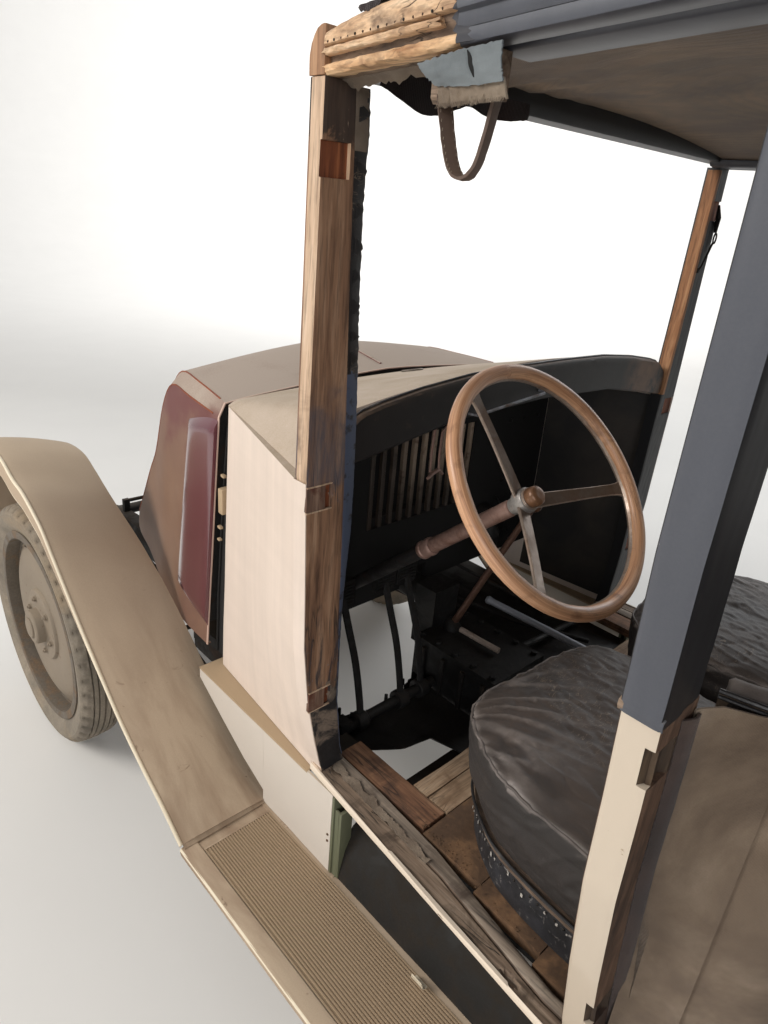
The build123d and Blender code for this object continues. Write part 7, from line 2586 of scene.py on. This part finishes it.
def engine():
    g = Geo()
    g.box(640, 1042, -96, 96, 700, 786)
    g.box(622, 1060, -118, 118, 552, 698)
    g.box(650, 1030, -104, 104, 432, 550)
    build("engine_casting", g, OILY, "chassis", ("engine_block",), bevel=10, seg=3)
    g = Geo()
    for k in range(4):
        x = 690 + 100 * k
        g.tube([(x, 0, 784), (x, 0, 790), (x, 0, 800), (x, 0, 812)], [11, 11, 6, 5], 12)
        g.tube(spline([(x, 118, 640), (x, 138, 640), (x + 10, 150, 620), (x + 10, 152, 560)], 4), 14, 14)
        g.tube(spline([(x, -118, 640), (x, -136, 640), (x, -146, 624), (x, -150, 590)], 4), 14, 14)
        for y in (-84, 84):
            g.disc((x - 36, y, 786), (0, 0, 1), 7, 8, 6)
            g.disc((x + 36, y, 786), (0, 0, 1), 7, 8, 6)
    g.tube([(672, 152, 556), (1016, 152, 556)], 18, 16)
    g.tube([(660, -150, 590), (1016, -150, 590)], 18, 16)
    g.tube([(1058, 0, 560), (1076, 0, 560)], 74, 32)
    g.tube([(1058, 0, 730), (1074, 0, 730)], 46, 28)
    for k in range(6):
        x = 660 + 70 * k
        for y in (-114, 114):
            g.disc((x, y, 551), (0, 0, -1), 6, 5, 6)
    build("engine_fittings", g, OILY, "chassis", angle=34)
    g = Geo()
    for x in (-30, 30, 90, 150):
        for s in (-1, 1):
            g.oriented((x, s * 95, 506), (5, 0, 0), (0, 5, 0), (0, 0, 62))
    for a in range(10):
        t = 2 * pi * a / 10
        g.disc((430, 112 * cos(t), 640 + 48 * sin(t)), (-1, 0, 0), 6, 6, 6)
    build("gearbox_ribs", g, OILY, "chassis", bevel=1.5)


engine()


# ---- rear body -------------------------------------------------------------------------------------
REAR = [(-1241, 680), (-1400, 671), (-1600, 657), (-1780, 638), (-1862, 617), (-1925, 577), (-1965, 525), (-1983, 466), (-1987, 400),
        (-1988, 260), (-1988, 120), (-1988, 0)]


def rear_plan(n_per=5):
    half = spline(REAR, n_per)
    return half + [(x, -y) for x, y in reversed(half[:-1])]


def carve(o, geo):
    """Cuts a shape out of the mesh."""
    c = fresh("cutter", geo, [])
    m = o.modifiers.new("k", "BOOLEAN")
    m.operation, m.solver, m.object = "DIFFERENCE", "EXACT", c
    settle(o)
    me = c.data
    bpy.data.objects.remove(c)
    bpy.data.meshes.remove(me)
    return o


def shell(rows_o, t):
    """A closed shell: the outer rows and the same rows moved inward by t."""
    rings = []
    nrow, ncol = len(rows_o), len(rows_o[0])
    inner = []
    for i in range(nrow):
        row = []
        for j in range(ncol):
            a = Vector(rows_o[i][max(j - 1, 0)])
            b = Vector(rows_o[i][min(j + 1, ncol - 1)])
            d = (b - a)
            n = Vector((-d.y, d.x, 0)).normalized()
            p = Vector(rows_o[i][j])
            if n.dot(Vector((-1500 - p.x, -p.y, 0))) < 0:
                n = -n
            row.append(tuple(p + n * t))
        inner.append(row)
    for i in range(nrow):
        rings.append(list(rows_o[i]) + list(reversed(inner[i])))
    return Geo().rings(rings)


def rear_body():
    half = straight(spline(REAR, 6), 13)
    plan = half + [(x, -y) for x, y in reversed(half[:-1])]

    def low_edge(x, y):
        if abs(y) < 478 or abs(x - RX) > 458 and x > RX:
            return 541.0
        arch = HZ + sqrt(max(0.0, 458.0 ** 2 - (x - RX) ** 2))
        return max(541.0, arch, 600.0 if x < RX else 0.0)
    tab = [(541, 55, 98), (590, 46, 82), (640, 38, 66), (700, 29, 50), (776, 20, 34), (860, 12, 19), (943, 6, 8), (1050, 2, 2), (1147.6, 0, 0)]
    rows = []
    for k in range(23):
        row = []
        for x, y in plan:
            z = lerp(low_edge(x, y), 1147.6, k / 22)
            dx, dy = interp(tab, z, 0, 1), interp(tab, z, 0, 2)
            w = smooth(-1790, -1900, x)
            s = 1 if y > 0 else -1
            yy = y - s * dy * min(1, abs(y) / 300)
            row.append((x + dx * w, yy, z))
        rows.append(row)
    g = shell(rows, 22)
    build("rear_body_lower", g, CREAM, "chassis", ("rear_lower_panels",), angle=32)
    rows = []
    for z in [1149.6 + (1655 - 1149.6) * k / 14 for k in range(15)]:
        t = (z - 1149.6) / (1706 - 1149.6)
        row = []
        for x, y in plan:
            w = smooth(-1790, -1900, x)
            s = 1 if y > 0 else -1
            row.append((x + 22 * t * w, y + s * lerp(4.5, 11, t) * min(1, abs(y) / 300), z))
        rows.append(row)
    o = fresh("rear_body_upper", shell(rows, 22), [SLATE])
    carve(o, Geo().box(-2100, -1900, -226, 226, 1294, 1526))
    place(o, "chassis", ("rear_upper_panels",), angle=32)
    rows = []
    for z in (1655, 1668, 1705):
        t = (z - 1149.6) / (1706 - 1149.6)
        row = []
        for x, y in plan:
            w = smooth(-1790, -1900, x)
            s = 1 if y > 0 else -1
            row.append((x + 22 * t * w, y + s * lerp(4.5, 10, t) * min(1, abs(y) / 300), z))
        rows.append(row)
    build("rear_cornice", shell(rows, 22), SLATE_DARK, "chassis")
    # belt bead and the frame round the rear window opening
    belt = []
    for x, y in plan:
        s = 1 if y > 0 else -1
        belt.append((x - 1, y + s * 2.4 * min(1, abs(y) / 300), 1149))
    build("belt_bead", Geo().tube(belt, 5.2, 10, squash=(0.8, 1.5)), BLACK, "chassis")
    g = Geo()
    x0, x1 = -1984, -1977
    loop_pts = []
    for (cy, cz, a0) in ((196, 1496, 0), (-196, 1496, 90), (-196, 1324, 180), (196, 1324, 270)):
        for k in range(7):
            a = radians(a0 + 15 * k)
            loop_pts.append((cy + 30 * cos(a), cz + 30 * sin(a)))
    rings = []
    for y, z in loop_pts:
        t = (z - 1149.6) / (1706 - 1149.6)
        fx = -1988 + 22 * t
        k = Vector((y, z - 1410, 0)).normalized()
        rings.append([(fx - 2.5, y - k.x * 2, z - k.y * 2), (fx - 3.6, y + k.x * 5, z + k.y * 5), (fx - 2.6, y + k.x * 13, z + k.y * 13),
                      (fx + 1, y + k.x * 14, z + k.y * 14), (fx + 22, y + k.x * 6, z + k.y * 6), (fx + 26, y - k.x * 2, z - k.y * 2)])
    g.grid(rings, loop=True, closed=True)
    build("rear_window_frame", g, SLATE_DARK, "chassis", angle=40)


rear_body()


def rear_wings():
    y0, y1 = 487, 727
    g, bead = Geo(), Geo()
    rows = []
    N = 72
    crown = []
    for k in range(N + 1):
        a = radians(-1.5 + 169 * k / N)
        row = []
        sec = [(y0, 446.4), (y0, 451.6)]
        sec = [(y0, 0.0), (y0 + 40, 0.2), (y0 + 100, 0.4), (y0 + 160, 0.2), (y1 - 22, -0.6), (y1 - 10, -2.6), (y1 - 3.5, -7.0), (y1 - 0.8, -13.5),
               (y1 - 0.6, -24), (y1 - 0.6, -34), (y1 - 1.0, -43)]
        for y, dr in sec:
            r = 451.4 + dr + 0.5 * nz(k / 5, y / 40, 3)
            row.append((RX + r * cos(a), y, HZ + r * sin(a)))
        rows.append(row)
        r = 451.4 - 43
        bead_pt = (RX + r * cos(a), y1 - 3.2, HZ + r * sin(a))
        crown.append(bead_pt)
    g.grid(rows)
    build("rear_wing_sheets", g.mirror(), WING_DUST, "chassis", ("rear_wings",), thick=2.2)
    bead.tube(crown, 4.2, 8)
    build("rear_wing_beads", bead.mirror(), BEAD, "chassis")
    h = Geo()
    rows = []
    N = 48
    for k in range(N + 1):
        a = radians(25 + 140 * k / N)
        top = (RX + 450 * cos(a), HZ + 450 * sin(a))
        ca, cb = radians(25), radians(165)
        t = k / N
        base = (lerp(RX + 452 * cos(ca), RX + 452 * cos(cb), t), lerp(HZ + 452 * sin(ca), HZ + 452 * sin(cb), t))
        row = []
        for j in range(9):
            q = j / 8
            row.append((lerp(top[0], base[0], q), 483 + 0.8 * nz(k / 6, j / 3, 2), lerp(top[1], base[1], q)))
        rows.append(row)
    h.grid(rows)
    build("wheelhouse_walls", h.mirror(), DARK_IN, "chassis", thick=3)


rear_wings()


# ---- solids that keep their own shape, with a finish -----------------------------------
def carry(node, mat, bevel=0.0, seg=2):
    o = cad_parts[node]
    if o.hide_render:
        return
    o.data.materials.clear()
    o.data.materials.append(mat)
    for p in o.data.polygons:
        p.material_index = 0
    if bevel:
        m = o.modifiers.new("edge", "BEVEL")
        m.width, m.segments, m.limit_method, m.angle_limit = bevel / 1000, seg, "ANGLE", radians(32)


CARRY = {
    "chassis_rails": (CHASSIS, "chassis_black", 1.2), "cross_members": (CHASSIS, "chassis_black", 1.5),
    "bonnet_hinge_bar": (CHASSIS, "chassis_black", 0), "front_axle": (OILY, "chassis_black", 2.5),
    "rear_axle": (OILY, "cast_housing", 3), "front_springs": (CHASSIS, "chassis_black", 0),
    "rear_springs": (CHASSIS, "chassis_black", 0), "engine_block": (OILY, "cast_housing", 6),
    "gearbox_and_torque_tube": (DEEP_IRON, "cast_housing", 5), "exhaust": (CHASSIS, "chassis_black", 0),
    "bulkhead": (DARK_IN, "black_paint", 1.5), "drop_arm": (OILY, "bare_steel", 1.5),
    "drag_link": (OILY, "bare_steel", 1.0), "tie_rod": (OILY, "bare_steel", 1.0),
    "left_knuckle": (OILY, "chassis_black", 2), "right_knuckle": (OILY, "chassis_black", 2),
    "radiator": (SLATS, "radiator_brass", 1.0), "steering_column": (COLUMN, "bare_steel", 0),
    "pedals_and_levers": (OILY, "bare_steel", 0), "front_wings": (WING_DUST, "dusty_paint", 0),
    "rear_wings": (WING_DUST, "dusty_paint", 0), "running_boards": (WING_DUST, "dusty_paint", 0),
    "valances": (VALANCE_PAINT, "primer_panel", 0), "scuttle_top": (PRIMER, "primer_panel", 0),
    "scuttle_sides": (PRIMER, "primer_panel", 0), "sills": (GREY_WOOD, "old_wood", 2),
    "floor_boards": (FLOOR_TAN, "old_wood", 1), "a_pillars": (OAK, "old_wood", 1),
    "door_pillars": (JAMB_WOOD, "old_wood", 1), "roof_frame": (BEIGE_WOOD, "old_wood", 1),
    "roof_panel": (ROOF_BLACK, "slate_paint", 1), "headlining": (LINING, "khaki_cloth", 0),
    "rear_lower_panels": (CREAM, "primer_panel", 1), "rear_upper_panels": (SLATE, "slate_paint", 1),
    "dash_rail": (BLACK, "black_paint", 2), "front_seat_cushions": (LEATHER, "black_leather", 0),
    "front_seat_backs": (KHAKI, "khaki_cloth", 0), "seat_bases": (SKIRT, "black_paint", 0),
    "rear_seat_cushion": (LEATHER, "black_leather", 0), "rear_seat_back": (LEATHER, "black_leather", 0),
    "grab_strap": (STRAP, "brown_strap", 0), "bonnet": (BONNET_PAINT, "maroon_paint", 0),
    "steering_wheel_rim": (BEIGE_WOOD, "rim_wood", 0), "steering_wheel_spider": (SPOKE, "bare_steel", 0),
}
for corner in ("front_left", "front_right", "rear_left", "rear_right"):
    CARRY[corner + "_tyre"] = (TYRE_MAT, "tyre", 0)
    CARRY[corner + "_wheel"] = (WHEEL_PAINT, "wheel_paint", 0)
for node, (mat, slot_name, bev) in CARRY.items():
    carry(node, mat, bev)


# ---- camera, light and floor --------------------------------------------------------------
def stage():
    floor_mat = paint("studio_floor", C(226, 223, 218), None, rough=0.85, var=0.04, speck=0.05)
    prof = [(0.0, 0.0), (3.0, 0.0), (7.0, 0.0), (11.0, 0.0), (13.0, 0.3), (15.0, 1.2), (17.0, 3.0), (18.5, 5.5), (19.3, 8.5), (19.5, 12.0)]
    seg = 96
    vs, fs = [(0.0, 0.0, 0.0)], []
    for r, z in prof[1:]:
        vs += [(r * cos(2 * pi * k / seg), r * sin(2 * pi * k / seg), z) for k in range(seg)]
    for k in range(seg):
        fs.append((0, 1 + k, 1 + (k + 1) % seg))
        for i in range(len(prof) - 2):
            a, b = 1 + i * seg, 1 + (i + 1) * seg
            fs.append((a + k, b + k, b + (k + 1) % seg, a + (k + 1) % seg))
    me = bpy.data.meshes.new("floor")
    me.from_pydata(vs, [], fs)
    for q in me.polygons:
        q.use_smooth = True
    me.materials.append(floor_mat)
    o = bpy.data.objects.new("floor", me)
    scene.collection.objects.link(o)
    world = bpy.data.worlds.new("studio")
    scene.world = world
    world.use_nodes = True
    bg = world.node_tree.nodes["Background"]
    bg.inputs[0].default_value = (0.84, 0.87, 0.91, 1)
    bg.inputs[1].default_value = 0.56
    for name, loc, aim, size, power, col in (
            ("key", (3.2, 5.2, 4.2), (0.6, 0.2, 0.8), 3.2, 310, (1.0, 0.97, 0.93)),
            ("fill", (-3.6, 4.6, 2.6), (-0.2, 0.4, 1.0), 3.0, 105, (0.95, 0.97, 1.0)),
            ("back", (0.5, -5.5, 3.8), (0.2, 0.0, 1.0), 3.5, 120, (0.92, 0.96, 1.0)),
            ("backdrop", (5.5, -5.5, 8.5), (17.0, -17.0, 1.5), 6.0, 1500, (0.97, 0.98, 1.0))):
        data = bpy.data.lights.new(name, "AREA")
        data.shape, data.size, data.size_y = "RECTANGLE", size, size * 0.7
        data.energy, data.color = power, col
        lamp = bpy.data.objects.new(name, data)
        lamp.location = loc
        lamp.rotation_euler = (Vector(aim) - Vector(loc)).to_track_quat("-Z", "Y").to_euler()
        scene.collection.objects.link(lamp)
    data = bpy.data.cameras.new("camera")
    data.lens, data.sensor_width, data.sensor_fit = 24.32, 36, "AUTO"
    data.clip_start, data.clip_end = 0.02, 100
    cam = bpy.data.objects.new("camera", data)
    f, r, u = (0.6498, -0.6444, -0.403), (-0.6775, -0.7315, 0.0772), (0.3446, -0.2229, 0.9119)
    cam.matrix_world = Matrix(((r[0], u[0], -f[0], -0.422), (r[1], u[1], -f[1], 1.159), (r[2], u[2], -f[2], 1.521),
                               (0, 0, 0, 1)))
    scene.collection.objects.link(cam)
    scene.camera = cam
    scene.view_settings.view_transform = "Standard"
    scene.view_settings.look = "None"
    scene.view_settings.exposure = 0.0


stage()
